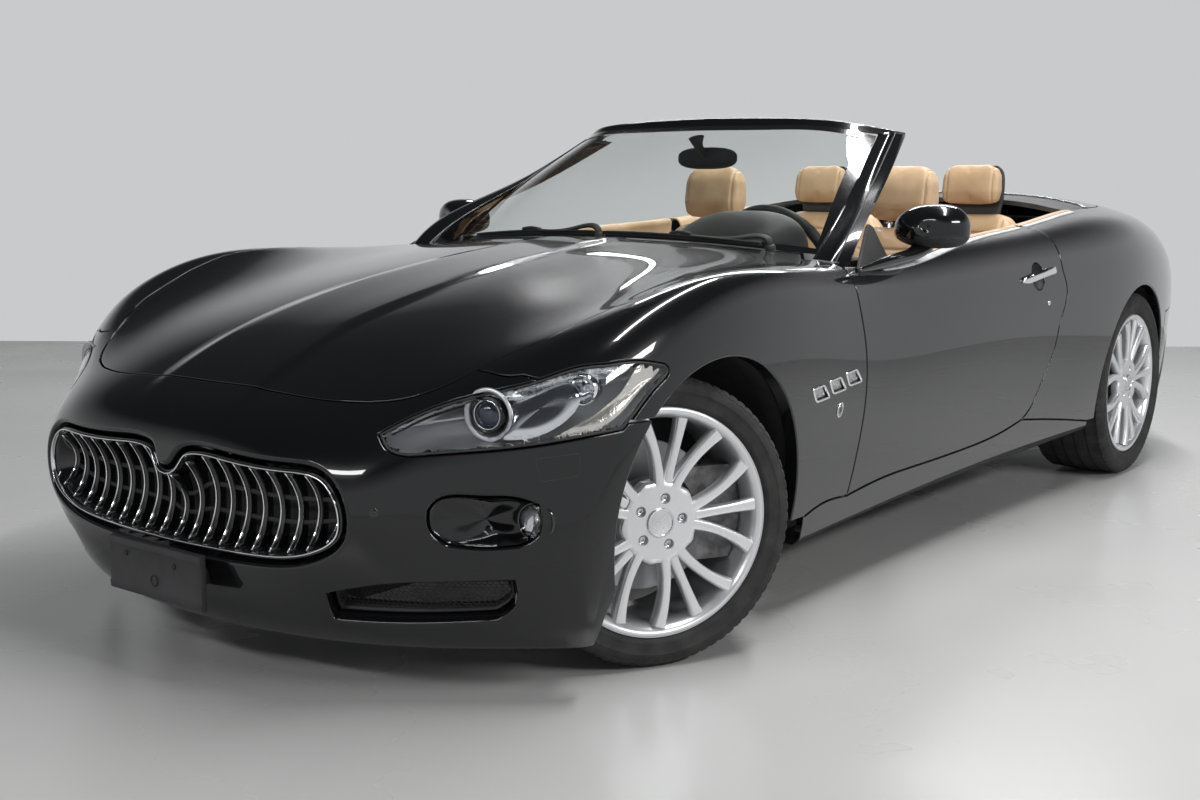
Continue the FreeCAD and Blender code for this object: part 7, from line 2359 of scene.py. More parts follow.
def shifted_copy(item, name, x, y):
    """A mirrored copy of a pad for the other seat, moved along the car."""
    other = mirrored_piece(item, name)
    set_vertices(other, vertex_array(other) + (x, y, 0))
    other.data.polygons.foreach_set("use_smooth", [True] * len(other.data.polygons))
    return other


def build_front_seats():
    back = sewn(plumped(seat_back()), [
        side_seams(lambda p: np.interp(p[:, 2], [0.45, 0.70, 0.86, 0.93], [0.150, 0.158, 0.146, 0.10]), 1,
                   -1),
        cross_seam(0.885, 2, 1, -1, 0.14), cross_seam(0.700, 2, 1, -1, 0.156),
        rim_seam(1, 0.35)])
    pan = sewn(plumped(seat_pan()), [
        side_seams(lambda p: np.interp(p[:, 1], [-0.31, -0.2, 0.25], [0.14, 0.158, 0.160]), 2, 1),
        cross_seam(-0.215, 1, 2, 1, 0.158), cross_seam(-0.02, 1, 2, 1, 0.158), rim_seam(2, 0.30)])
    head = sewn(plumped(head_pad("headrest_left", 0.990, 1.180, 0.402, 0.522, 0.126, 0.012), 0.006), [
        side_seams(lambda p: np.full(len(p), 0.098), 1, -1, -0.4)], 0.004, 0.004, HEAD_TRIANGLES)
    posts = []
    for side in (-1, 1):
        posts.append(turned("post", [(0.0065, -0.07), (0.0065, 0.05), (0.0058, 0.052)],
                            (side * 0.055, 0.470, 0.985), (0, 0.12, 1), 20))
        posts.append(turned("collar", [(0.0075, 0), (0.0125, 0.001), (0.0125, 0.005), (0.0105, 0.008),
                                       (0.0075, 0.008)],
                            (side * 0.055, 0.469, 0.974), (0, 0.12, 1), 24))
    posts = joined("head_posts_left", *posts)
    base_rows = []
    for z, w, y0, y1 in ((0.236, 0.185, -0.195, 0.235), (0.262, 0.190, -0.200, 0.240),
                         (0.280, 0.205, -0.235, 0.255),
                         (0.335, 0.222, -0.270, 0.275), (0.362, 0.226, -0.275, 0.280)):
        ring = superellipse(w, (y1 - y0) / 2, 0.35, 56)
        base_rows.append(np.column_stack([ring[:, 0], ring[:, 1] + (y0 + y1) / 2, np.full(56, z)]))
    base = sharpen(loft("seat_base_left", np.array(base_rows)), 40)
    rails = []
    for side in (-1, 1):
        line = [(side * 0.165, y, 0.2415) for y in np.linspace(-0.24, 0.29, 8)]
        rails.append(sweep("rail", line, box_section(0.034, 0.012, 0.003)))
    rails = joined("seat_rails_left", *rails)
    shell_rows = []
    for z, y0, y1, w in ((0.450, 0.462, 0.478, 0.190), (0.560, 0.480, 0.503, 0.222),
                         (0.700, 0.490, 0.518, 0.226),
                         (0.820, 0.497, 0.520, 0.214), (0.900, 0.499, 0.514, 0.186),
                         (0.935, 0.498, 0.506, 0.150)):
        ring = superellipse(w, (y1 - y0) / 2, 0.4, 48)
        bend = (ring[:, 0] / w) ** 2 * 0.012
        shell_rows.append(np.column_stack([ring[:, 0], ring[:, 1] + (y0 + y1) / 2 - bend, np.full(48, z)]))
    dense = np.stack([spline(np.array(shell_rows)[:, j], 24) for j in range(48)], 1)
    shell = sharpen(loft("seat_shell_left", dense), 50)
    parts = [(back, "seat_back", TAN, "tan_leather"), (pan, "seat_pan", TAN, "tan_leather"),
             (head, "headrest", TAN, "tan_leather"), (posts, "head_posts", CHROME, "chrome"),
             (base, "seat_base", MATT, "black_plastic"), (rails, "seat_rails", SATIN, "chrome"),
             (shell, "seat_shell", TAN, "tan_leather")]
    for item, name, material, slot in parts:
        other = shifted_copy(item, name + "_right", -SEAT_X, SEAT_SLIDE["right"])
        set_vertices(item, vertex_array(item) + (SEAT_X, SEAT_SLIDE["left"], 0))
        nodes = [("seat_left",), ("seat_right",)] if name == "seat_back" else [(), ()]
        finish_piece(item, "body", material, slot, *nodes[0])
        finish_piece(other, "body", material, slot, *nodes[1])


REAR_X = 0.296


def rear_back():
    heights = np.linspace(0.440, 1.012, 40)
    front, rear, wide = profile_at([
        (0.440, 1.075, 1.205, 0.255), (0.500, 1.062, 1.214, 0.268), (0.680, 1.085, 1.216, 0.272),
        (0.860, 1.112, 1.216, 0.268), (0.950, 1.124, 1.213, 0.246), (0.995, 1.138, 1.205, 0.212),
        (1.012, 1.155, 1.190, 0.160)], heights)
    rows = []
    for z, y0, y1, w in zip(heights, front, rear, wide):
        ring = superellipse(w, (y1 - y0) / 2, 0.5, 72)
        facing = np.clip(-ring[:, 1] / ((y1 - y0) / 2), 0, 1)
        side = np.abs(ring[:, 0]) / w
        swell = np.exp(-((side - 0.84) / 0.16) ** 2) * 0.030 * np.interp(z, [0.44, 0.6, 0.9, 1.0],
                                                                         [0.3, 1, 0.7, 0.1])
        rows.append(np.column_stack([ring[:, 0], ring[:, 1] + (y0 + y1) / 2 - swell * facing,
                                     np.full(72, z)]))
    return loft("rear_back_left", np.array(rows))


def rear_pan():
    depths = np.linspace(0.705, 1.120, 34)
    low, high, wide = profile_at([
        (0.705, 0.385, 0.430, 0.225), (0.725, 0.368, 0.462, 0.252), (0.780, 0.362, 0.474, 0.264),
        (0.900, 0.360, 0.462, 0.268), (1.000, 0.360, 0.456, 0.268), (1.100, 0.362, 0.462, 0.258),
        (1.120, 0.380, 0.445, 0.230)], depths)
    rows = []
    for y, z0, z1, w in zip(depths, low, high, wide):
        ring = superellipse(w, (z1 - z0) / 2, 0.5, 72)
        facing = np.clip(ring[:, 1] / ((z1 - z0) / 2), 0, 1)
        side = np.abs(ring[:, 0]) / w
        swell = np.exp(-((side - 0.84) / 0.15) ** 2) * 0.026
        rows.append(np.column_stack([ring[:, 0], np.full(72, y), ring[:, 1] + (z0 + z1) / 2 + swell
                                     * facing]))
    return loft("rear_pan_left", np.array(rows))


def build_rear_seats():
    back = sewn(plumped(rear_back()), [
        side_seams(lambda p: np.full(len(p), 0.176), 1, -1), cross_seam(0.930, 2, 1, -1, 0.176),
        cross_seam(0.700, 2, 1, -1, 0.176), rim_seam(1, 0.35)])
    pan = sewn(plumped(rear_pan()), [
        side_seams(lambda p: np.full(len(p), 0.176), 2, 1), cross_seam(0.800, 1, 2, 1, 0.176),
                                     rim_seam(2, 0.30)])
    head = sewn(plumped(head_pad("rear_headrest_left", 1.045, 1.196, 1.100, 1.186, 0.121, 0.010), 0.006), [
        side_seams(lambda p: np.full(len(p), 0.094), 1, -1, -0.4)], 0.004, 0.004, HEAD_TRIANGLES)
    shell_rows = []
    for z, y, w, d in ((1.000, 1.196, 0.104, 0.013), (1.060, 1.201, 0.113, 0.015),
                       (1.130, 1.204, 0.114, 0.015),
                       (1.175, 1.203, 0.104, 0.013), (1.192, 1.198, 0.086, 0.008)):
        ring = superellipse(w, d, 0.5, 48)
        shell_rows.append(np.column_stack([ring[:, 0], ring[:, 1] + y - (ring[:, 0] / w) ** 2 * 0.008,
                                           np.full(48, z)]))
    dense = np.stack([spline(np.array(shell_rows)[:, j], 20) for j in range(48)], 1)
    shell = sharpen(loft("rear_head_shell_left", dense), 50)
    parts = [(back, "rear_back", TAN, "tan_leather", REAR_X), (pan, "rear_pan", TAN, "tan_leather", REAR_X),
             (head, "rear_headrest", TAN, "tan_leather", 0.338),
             (shell, "rear_head_shell", DARK, "black_plastic", 0.338)]
    for item, name, material, slot, x in parts:
        other = shifted_copy(item, name + "_right", -x, 0)
        set_vertices(item, vertex_array(item) + (x, 0, 0))
        nodes = ("rear_seats",) if name == "rear_back" else ()
        finish_piece(item, "body", material, slot, *nodes)
        finish_piece(other, "body", material, slot)
    rows = []
    for y, z, w, h in ((0.730, 0.440, 0.030, 0.030), (0.800, 0.470, 0.040, 0.036),
                       (0.950, 0.478, 0.042, 0.036),
                       (1.060, 0.500, 0.042, 0.040), (1.110, 0.620, 0.040, 0.060),
                       (1.150, 0.860, 0.036, 0.05)):
        ring = superellipse(w, h, 0.5, 40)
        rows.append(np.column_stack([ring[:, 0], np.full(40, y), ring[:, 1] + z]))
    tray = sharpen(loft("rear_middle_tray", np.array(rows)), 50)
    finish_piece(tray, "body", TAN, "tan_leather")


def build_dashboard():
    stations = np.linspace(-0.776, 0.776, 61)

    def upper(x):
        edge = abs(x) / 0.776
        drop = 0.048 * edge ** 2.2
        front = -0.800 + 0.115 * edge ** 2
        pairs = [(front, 0.850), (front + 0.004, 0.905), (-0.690 + 0.03 * edge, 0.930), (-0.610, 0.934),
                 (-0.560, 0.924), (-0.541, 0.902), (-0.545, 0.868), (-0.562, 0.846), (-0.640, 0.840)]
        line = spline([(y, z - drop, 0) for y, z in pairs], 26)
        return np.column_stack([np.full(26, x), line[:, 0], line[:, 1]])

    def lower(x):
        edge = abs(x) / 0.776
        drop = 0.048 * edge ** 2.2
        pairs = [(-0.640, 0.842), (-0.575, 0.845), (-0.560, 0.838), (-0.568, 0.800), (-0.590, 0.742),
                 (-0.618, 0.700), (-0.655, 0.684), (-0.700, 0.690), (-0.735, 0.740)]
        line = spline([(y, z - drop * 0.9, 0) for y, z in pairs], 24)
        return np.column_stack([np.full(24, x), line[:, 0], line[:, 1]])

    top = sharpen(loft("dash_top", np.array([upper(x) for x in stations])), 50)
    finish_piece(top, "body", BLACK_LEATHER, "black_plastic", "dashboard")
    under = sharpen(loft("dash_lower", np.array([lower(x) for x in stations])), 50)
    finish_piece(under, "body", TAN, "tan_leather")
    strip = []
    for span in ((-0.770, -0.150), (0.150, 0.770)):
        line = [(x, -0.5525, 0.842 - 0.046 * (abs(x) / 0.776) ** 2.2) for x in np.linspace(*span, 30)]
        strip.append(sweep("strip", line, box_section(0.012, 0.006, 0.002), (0, 1, 0.3)))
    finish_piece(joined("dash_strip", *strip), "body", SATIN, "chrome")
    rows = []
    for z, y, w in ((0.640, -0.600, 0.118), (0.700, -0.585, 0.122), (0.780, -0.562, 0.126),
                    (0.850, -0.545, 0.132), (0.895, -0.538, 0.134), (0.905, -0.545, 0.130)):
        ring = superellipse(w, 0.028, 0.3, 40)
        rows.append(np.column_stack([ring[:, 0], ring[:, 1] + y, np.full(40, z)]))
    middle = sharpen(loft("centre_stack", np.array(rows)), 45)
    finish_piece(middle, "body", DARK, "black_plastic")
    screen = bevelled(loft("centre_screen", np.array([
        [(x, -0.5135 - (z - 0.80) * 0.14, z) for x, z in ((-0.085, 0.800), (0.085, 0.800), (0.088, 0.868),
                                                          (-0.088, 0.868))],
        [(x, -0.5290 - (z - 0.80) * 0.14, z) for x, z in ((-0.085, 0.800), (0.085, 0.800), (0.088, 0.868),
                                                          (-0.088, 0.868))]])),
        0.003, 2)
    finish_piece(screen, "body", GLOSS, "black_plastic")
    knobs = []
    for x, z, r in ((-0.085, 0.770, 0.013), (0.085, 0.770, 0.013), (-0.060, 0.705, 0.011),
                    (0.060, 0.705, 0.011)):
        knobs.append(turned("knob", [(r * 1.15, 0), (r * 1.15, 0.002), (r, 0.003), (r * 0.94, 0.015),
                                     (r * 0.8, 0.017),
                                     (0.0003, 0.0175)], (x, -0.538 - (0.8 - z) * 0.24, z), (0, 1, 0.2), 28))
    for x in np.linspace(-0.05, 0.05, 5):
        for z in (0.775, 0.752):
            knobs.append(loft("key", np.array([
                np.column_stack([superellipse(0.0095, 0.0065, 0.35, 20)[:, 0] + x, np.full(20, y),
                                 superellipse(0.0095, 0.0065, 0.35, 20)[:, 1] + z])
                for y in (-0.545, -0.5215 - (0.8 - z) * 0.24, -0.5205 - (0.8 - z) * 0.24)])))
    finish_piece(joined("centre_controls", *knobs), "body", SATIN, "chrome")
    build_vents_inside()
    build_instruments()


def build_vents_inside():
    """Round-ended air outlets with slats in the face of the dashboard."""
    frames, slats = [], []
    for x, z, half in ((-0.690, 0.845, 0.040), (0.690, 0.845, 0.040), (-0.052, 0.906, 0.040),
                       (0.052, 0.906, 0.040)):
        y = -0.540 if abs(x) > 0.1 else -0.518
        ring = superellipse(half, 0.021, 0.6, 40)
        line = np.column_stack([ring[:, 0] + x, np.full(40, y), ring[:, 1] + z])
        frames.append(sweep("frame", line, box_section(0.005, 0.010, 0.0018), (0, 1, 0), closed=True))
        for level in (-0.010, 0.0, 0.010):
            reach = half * (1 - (abs(level) / 0.021) ** 2.5) - 0.003
            slats.append(sweep("slat", [(x - reach, y - 0.006, z + level), (x, y - 0.005, z + level),
                                        (x + reach, y - 0.006, z + level)],
                               box_section(0.0018, 0.010, 0.0006), (0, 1, 0.3)))
        back = np.array([line + (0, -0.014, 0), (line - line.mean(0)) * 0.02 + line.mean(0) + (0, -0.014, 0)])
        slats.append(loft("back", back, caps=False))
    finish_piece(joined("air_outlet_frames", *frames), "body", SATIN, "chrome")
    finish_piece(joined("air_outlet_slats", *slats), "body", MATT, "black_plastic")


DIAL_X = 0.3639


def build_instruments():
    """A long low hood over the dials, open towards the driver."""
    rows = []
    inner = []
    for y, w, top in ((-0.765, 0.085, 0.932), (-0.745, 0.125, 0.950), (-0.710, 0.163, 0.976),
                      (-0.660, 0.190, 1.002),
                      (-0.600, 0.204, 1.022), (-0.550, 0.208, 1.030), (-0.528, 0.207, 1.030)):
        turn = np.linspace(0, math.pi, 40)
        wide = np.sign(np.cos(turn)) * np.abs(np.cos(turn)) ** 0.72 * w
        tall = np.abs(np.sin(turn)) ** 0.80 * (top - 0.905)
        rows.append(np.column_stack([wide + DIAL_X, np.full(40, y), tall + 0.905]))
        inner.append(np.column_stack([wide * 0.955 + DIAL_X, np.full(40, y), tall * 0.91 + 0.905]))
    rows, inner = np.array(rows), np.array(inner)
    rows = np.stack([spline(rows[:, j], 26) for j in range(40)], 1)
    inner = np.stack([spline(inner[:, j], 26) for j in range(40)], 1)
    lip = rows[-1] * 0.5 + inner[-1] * 0.5 + (0, 0.005, 0.0)
    shape = np.concatenate([rows, lip[None], inner[::-1][:16]])
    cover = sharpen(loft("instrument_hood", shape, ring=False, caps=False), 60)
    finish_piece(cover, "body", BLACK_LEATHER, "black_plastic")
    y_face = -0.592
    ring = inner[-7:-6][0]
    flat = np.column_stack([ring[:, 0], np.full(40, y_face), np.minimum(ring[:, 2], 1.02)])
    board = make_mesh("instrument_board", flat, [tuple(range(40))])
    pane(board, 0.004)
    finish_piece(board, "body", MATT, "black_plastic")
    rings, marks = [], []
    for x, z, r in ((DIAL_X - 0.082, 0.955, 0.046), (DIAL_X + 0.082, 0.955, 0.046), (DIAL_X, 0.948, 0.024)):
        rings.append(turned("ring", [(r, 0.004), (r * 0.96, 0.013), (r * 1.03, 0.014), (r * 1.07, 0.004)],
                            (x, y_face, z), (0, 1, 0), 48, closed=True))
        for turn in np.radians(np.arange(-135, 136, 15)):
            a = np.array([x + math.sin(turn) * r * 0.80, y_face + 0.0062, z + math.cos(turn) * r * 0.80])
            b = np.array([x + math.sin(turn) * r * 0.93, y_face + 0.0062, z + math.cos(turn) * r * 0.93])
            marks.append(sweep("mark", [a, (a + b) / 2, b], box_section(0.0012, 0.0006, 0.0001), (0, 1, 0)))
        tip = np.array([x + math.sin(-2.2) * r * 0.8, y_face + 0.0085, z + math.cos(-2.2) * r * 0.8])
        hub = np.array([x, y_face + 0.0085, z])
        marks.append(sweep("needle", [hub, (hub + tip) / 2, tip], box_section(0.0022, 0.001, 0.0003),
                           (0, 1, 0), sizes=[1.2, 0.9, 0.3]))
    finish_piece(joined("dial_rings", *rings), "body", CHROME, "chrome")
    finish_piece(joined("dial_marks", *marks), "body", SATIN, "chrome")


WHEEL_SPOT = np.array([0.36385, -0.36608, 0.87035])
WHEEL_LEAN = Matrix.Rotation(math.radians(-65), 3, "X")


def build_steering_wheel():
    turn = np.array(WHEEL_LEAN)

    def placed(points):
        return np.asarray(points) @ turn.T + WHEEL_SPOT

    angles = np.linspace(0, 2 * math.pi, 96, endpoint=False)
    line = np.stack([np.cos(angles) * 0.180, np.sin(angles) * 0.180, np.zeros(96)], -1)
    bump = 1 + 0.12 * (np.exp(-((angles - math.pi * 1.82) / 0.16) ** 2)
                       + np.exp(-((angles - math.pi * 1.18) / 0.16) ** 2))
    ring = sweep("ring", placed(line), round_section(0.0150, 18, 1.1), placed([(0, 0, 1)])[0] - WHEEL_SPOT,
                 closed=True, sizes=bump)
    parts = [ring]
    dome = superellipse(0.078, 0.066, 0.62, 48)
    rows = [np.column_stack([dome * s + (0, 0.004), np.full(48, z)])
            for s, z in ((0.80, -0.040), (1.0, -0.026), (1.0, 0.006), (0.94, 0.020), (0.78, 0.028),
                         (0.4, 0.032), (0.02, 0.033))]
    parts.append(loft("boss", placed(np.array(rows))))
    for angle, width in ((math.radians(8), 1.0), (math.radians(172), 1.0), (math.radians(72), 0.8),
                         (math.radians(108), 0.8)):
        start, end = 0.060, 0.172
        reach = np.linspace(start, end, 8)
        spoke_line = np.stack([np.cos(angle) * reach, np.sin(angle) * reach,
                               np.interp(reach, [start, end], [0.004, -0.002])], -1)
        parts.append(sweep("spoke", placed(spoke_line), box_section(0.034 * width, 0.014, 0.005, 4),
                           turn @ np.array([0, 0, 1.0]),
                           sizes=np.interp(reach, [start, 0.11, end], [1.2, 0.85, 0.95])))
    wheel = joined("steering_wheel_rim", *parts)
    finish_piece(wheel, "steering_wheel", BLACK_LEATHER, "black_plastic", "steering_wheel")
    trims = []
    for side in (-1, 1):
        reach = np.linspace(0.086, 0.150, 8)
        angle = math.radians(90 - side * 82)
        line = np.stack([np.cos(angle) * reach, np.sin(angle) * reach, np.full(8, 0.0095)], -1)
        trims.append(sweep("trim", placed(line), box_section(0.013, 0.005, 0.002), turn
                           @ np.array([0, 0, 1.0]), sizes=[0.5, 1, 1, 1, 1, 1, 0.9, 0.5]))
    emblem = [(0.017, 0.0335), (0.017, 0.0350), (0.0150, 0.0358), (0.0142, 0.0352), (0.0003, 0.0350)]
    plate = turned("plate", emblem, (0, 0, 0), (0, 0, 1), 36)
    set_vertices(plate, placed(vertex_array(plate) + (0, 0.004, 0)))
    finish_piece(joined("steering_wheel_trim", *trims, plate), "steering_wheel", SATIN, "chrome")
    column = turned("column", [(0.0305, -0.250), (0.0305, -0.060), (0.026, -0.045), (0.020, -0.043)])
    set_vertices(column, placed(vertex_array(column)))
    finish_piece(column, "steering_wheel", MATT, "black_plastic")
    shroud_rows = [np.column_stack([superellipse(w, h, 0.7, 40), np.full(40, z)])
                   for w, h, z in ((0.050, 0.048, -0.270), (0.052, 0.049, -0.150), (0.050, 0.047, -0.085),
                                   (0.046, 0.043, -0.068), (0.034, 0.034, -0.066))]
    shroud = loft("column_shroud", placed(np.array(shroud_rows)))
    stalks = [shroud]
    for side in (-1, 1):
        line = spline([(side * 0.040, 0.0, -0.088), (side * 0.085, -0.006, -0.082),
                       (side * 0.135, -0.012, -0.074)], 14)
        stalks.append(sweep("stalk", placed(line), round_section(0.0062, 12), turn @ np.array([0, 0, 1.0]),
                            sizes=np.interp(np.linspace(0, 1, 14), [0, 0.6, 0.75, 0.95, 1],
                                            [0.8, 0.8, 1.5, 1.5, 0.6])))
    finish_piece(joined("steering_column", *stalks), "body", MATT, "black_plastic")


def build_console():
    pairs = [(-0.660, 0.640, 0.094), (-0.620, 0.655, 0.097), (-0.560, 0.640, 0.098), (-0.470, 0.585, 0.097),
             (-0.380, 0.548, 0.094), (-0.200, 0.534, 0.092), (-0.020, 0.536, 0.092), (0.060, 0.545, 0.090),
             (0.150, 0.556, 0.088), (0.225, 0.552, 0.086), (0.255, 0.520, 0.082)]
    line = spline([(y, z, w) for y, z, w in pairs], 40)
    rows = []
    for y, z, w in line:
        rows.append(np.array([(w, y, 0.238), (w, y, 0.40), (w - 0.001, y, z - 0.040),
                              (w - 0.004, y, z - 0.016), (w - 0.014, y, z - 0.004), (w - 0.030, y, z - 0.001),
                              (0, y, z), (0.030 - w, y, z - 0.001), (0.014 - w, y, z - 0.004),
                              (0.004 - w, y, z - 0.016),
                              (0.001 - w, y, z - 0.040), (-w, y, 0.40), (-w, y, 0.238)]))
    tunnel = sharpen(loft("console_tunnel", np.array(rows)), 55)
    finish_piece(tunnel, "body", TAN, "tan_leather", "console")
    plate_rows = []
    for y, z, w in line[6:26]:
        plate_rows.append(np.array([(0.064, y, z + 0.0005), (0.062, y, z + 0.0035), (0.0, y, z + 0.0045),
                                    (-0.062, y, z + 0.0035), (-0.064, y, z + 0.0005)]))
    plate = sharpen(loft("console_plate", np.array(plate_rows)), 50)
    finish_piece(plate, "body", GLOSS, "black_plastic")
    spot = np.array([0.0, -0.232, 0.537])
    boot_rows = [np.column_stack([superellipse(w, h, 0.6, 36) + spot[:2] + (0, lean),
                                  np.full(36, spot[2] + z)])
                 for w, h, lean, z in ((0.040, 0.048, 0, 0.004), (0.036, 0.043, 0, 0.012),
                                       (0.026, 0.030, -0.001, 0.026),
                                       (0.017, 0.018, -0.003, 0.040), (0.011, 0.012, -0.005, 0.052))]
    finish_piece(loft("lever_boot", np.array(boot_rows)), "body", BLACK_LEATHER, "black_plastic")
    knob = [(0.010, -0.02), (0.012, 0.0), (0.019, 0.010), (0.0215, 0.024), (0.020, 0.038), (0.013, 0.046),
            (0.0003, 0.048)]
    finish_piece(turned("lever_knob", knob, spot + (0, -0.006, 0.060), (0, -0.15, 1), 32), "body",
                 BLACK_LEATHER, "black_plastic")
    collar = [(0.0125, 0.0), (0.0150, 0.001), (0.0150, 0.006), (0.0125, 0.007)]
    finish_piece(turned("lever_collar", collar, spot + (0, -0.0055, 0.052), (0, -0.15, 1), 32, closed=True),
                 "body", SATIN, "chrome")
    lid_rows = []
    for y, z, w in line[27:38]:
        lid_rows.append(np.column_stack([superellipse(0.080, 0.017, 0.5, 36)[:, 0], np.full(36, y),
                                         superellipse(0.080, 0.017, 0.5, 36)[:, 1] + z + 0.010]))
    lid_rows[0][:, 2] = lid_rows[0][:, 2].mean() + (lid_rows[0][:, 2] - lid_rows[0][:, 2].mean()) * 0.6
    finish_piece(loft("armrest_lid", np.array(lid_rows)), "body", TAN, "tan_leather")
    cups = []
    for y in (-0.075, 0.010):
        cups.append(turned("cup", [(0.036, 0.002), (0.040, 0.004), (0.041, 0.002), (0.041, 0.0)],
                           (0, y, 0.5400), (0, 0, 1), 36, closed=True))
    finish_piece(joined("cup_rings", *cups), "body", CHROME, "chrome")


def belt_edge(y):
    """The inner edge of the belt at stations along the car: its distance out and its height."""
    line = net_point(np.concatenate([door_belt, quarter_belt[1:]]))
    order = np.argsort(line[:, 1])
    return np.interp(y, line[order, 1], line[order, 0]), np.interp(y, line[order, 1], line[order, 2])


def build_door_cards():
    stations = np.linspace(-0.600, 0.596, 70)
    out, high = belt_edge(stations)
    rest = np.interp(stations, [-0.60, -0.50, -0.40, -0.28, 0.22, 0.40, 0.56],
                     [0, 0, 0.012, 0.050, 0.052, 0.030, 0.0])
    low_end = np.interp(stations, [-0.600, 0.30, 0.40, 0.50, 0.596], [0.345, 0.345, 0.40, 0.52, 0.63])
    roll, card = [], []
    for y, x, z, rest_out, foot in zip(stations, out, high, rest, low_end):
        inner = min(x - 0.030, 0.808)
        pairs = [(x + 0.0, z - 0.003), (x - 0.006, z + 0.006), (x - 0.020, z + 0.008), (x - 0.034, z - 0.003),
                 (inner - 0.002, z - 0.030), (inner, z - 0.065), (inner + 0.012, z - 0.075),
                 (x + 0.004, z - 0.078)]
        line = spline([(a, b, 0) for a, b in pairs], 22)
        roll.append(np.column_stack([line[:, 0], np.full(22, y), line[:, 1]]))
        top = z - 0.070
        face = max(0.790, inner - 0.012)
        pairs = [(inner + 0.014, top), (inner - 0.002, top - 0.010), (face, top - 0.060),
                 (face - 0.004, 0.690), (face - 0.010 - rest_out, 0.672),
                 (face - 0.014 - rest_out * 1.05, 0.655), (face - 0.012 - rest_out * 0.9, 0.632),
                 (face - 0.002 - rest_out * 0.25, 0.600), (face - 0.001, 0.560), (face - 0.004, 0.470),
                 (face - 0.004, max(foot + 0.02, 0.40)), (face + 0.010, foot), (face + 0.030, foot)]
        keep = [pair for i, pair in enumerate(pairs) if pair[1] >= foot - 1e-6 or i > 10]
        line = spline([(a, b, 0) for a, b in keep], 40)
        card.append(np.column_stack([line[:, 0], np.full(40, y), line[:, 1]]))
    door_pair(sharpen(loft("door_roll_left", np.array(roll)), 60), "door_roll", TAN, "tan_leather")
    door_pair(sharpen(loft("door_card_left", np.array(card)), 60), "door_card", TAN, "tan_leather")
    parts = []
    line = spline([(0.776, -0.300, 0.742), (0.762, -0.270, 0.748), (0.758, -0.235, 0.752),
                   (0.762, -0.200, 0.755), (0.776, -0.170, 0.757)], 20)
    parts.append(sweep("pull", line, box_section(0.014, 0.007, 0.003), (1, 0, 0)))
    ring = superellipse(0.078, 0.078, 1.0, 40)
    spot = np.column_stack([np.full(40, 0.7885), ring[:, 0] - 0.42, ring[:, 1] + 0.475])
    parts.append(sweep("speaker_ring", spot, box_section(0.005, 0.008, 0.0015), (1, 0, 0), closed=True))
    door_pair(joined("door_pull_left", *parts), "door_pull", SATIN, "chrome")
    grid = []
    for radius in np.linspace(0.004, 0.076, 16):
        ring = superellipse(radius, radius, 1.0, 40)
        grid.append(np.column_stack([np.full(40, 0.7865 - 0.003 * (1 - (radius / 0.076) ** 2)), ring[:, 0]
                                     - 0.42, ring[:, 1] + 0.475]))
    door_pair(pane(loft("speaker_mesh_left", np.array(grid), caps=False), 0.002), "speaker_mesh", MATT,
              "black_plastic")


def build_side_trims():
    """Panels beside the rear seat, from the belt down to the floor."""
    stations = np.linspace(0.628, 1.206, 36)
    out, high = belt_edge(stations)
    rows = []
    for y, x, z in zip(stations, out, high):
        gap = np.interp(y, [0.628, 0.70, 1.10, 1.206], [0.0, 0.020, 0.022, 0.010])
        pairs = [(x, z - 0.004), (x - 0.006, z + 0.004), (x - 0.026, z + 0.006), (x - 0.046, z - 0.004),
                 (x - 0.060, z - 0.040), (0.668, 0.860), (0.640 - gap, 0.760), (0.615 - gap, 0.700),
                 (0.606 - gap, 0.660), (0.615 - gap, 0.620), (0.622, 0.560), (0.622, 0.400), (0.640, 0.300)]
        line = spline([(a, b, 0) for a, b in pairs], 44)
        rows.append(np.column_stack([line[:, 0], np.full(44, y), line[:, 1]]))
    trim = loft("side_trim_left", np.array(rows), ring=False, caps=False)
    pane(trim, 0.004)
    with_both_sides(sharpen(trim, 60), "side_trim", "body", TAN, "tan_leather")
    post = []
    for z in np.linspace(0.34, 0.93, 20):
        inner = np.interp(z, [0.34, 0.60, 0.70, 0.93], [0.640, 0.630, 0.640, 0.745])
        outer = np.interp(z, [0.34, 0.65, 0.80, 0.93], [0.790, 0.860, 0.850, 0.770])
        post.append([(inner, 0.632, z), (outer, 0.645, z)])
    panel = loft("door_jamb_left", np.array(post), ring=False, caps=False)
    pane(panel, 0.003)
    with_both_sides(panel, "door_jamb", "body", MATT, "black_plastic")


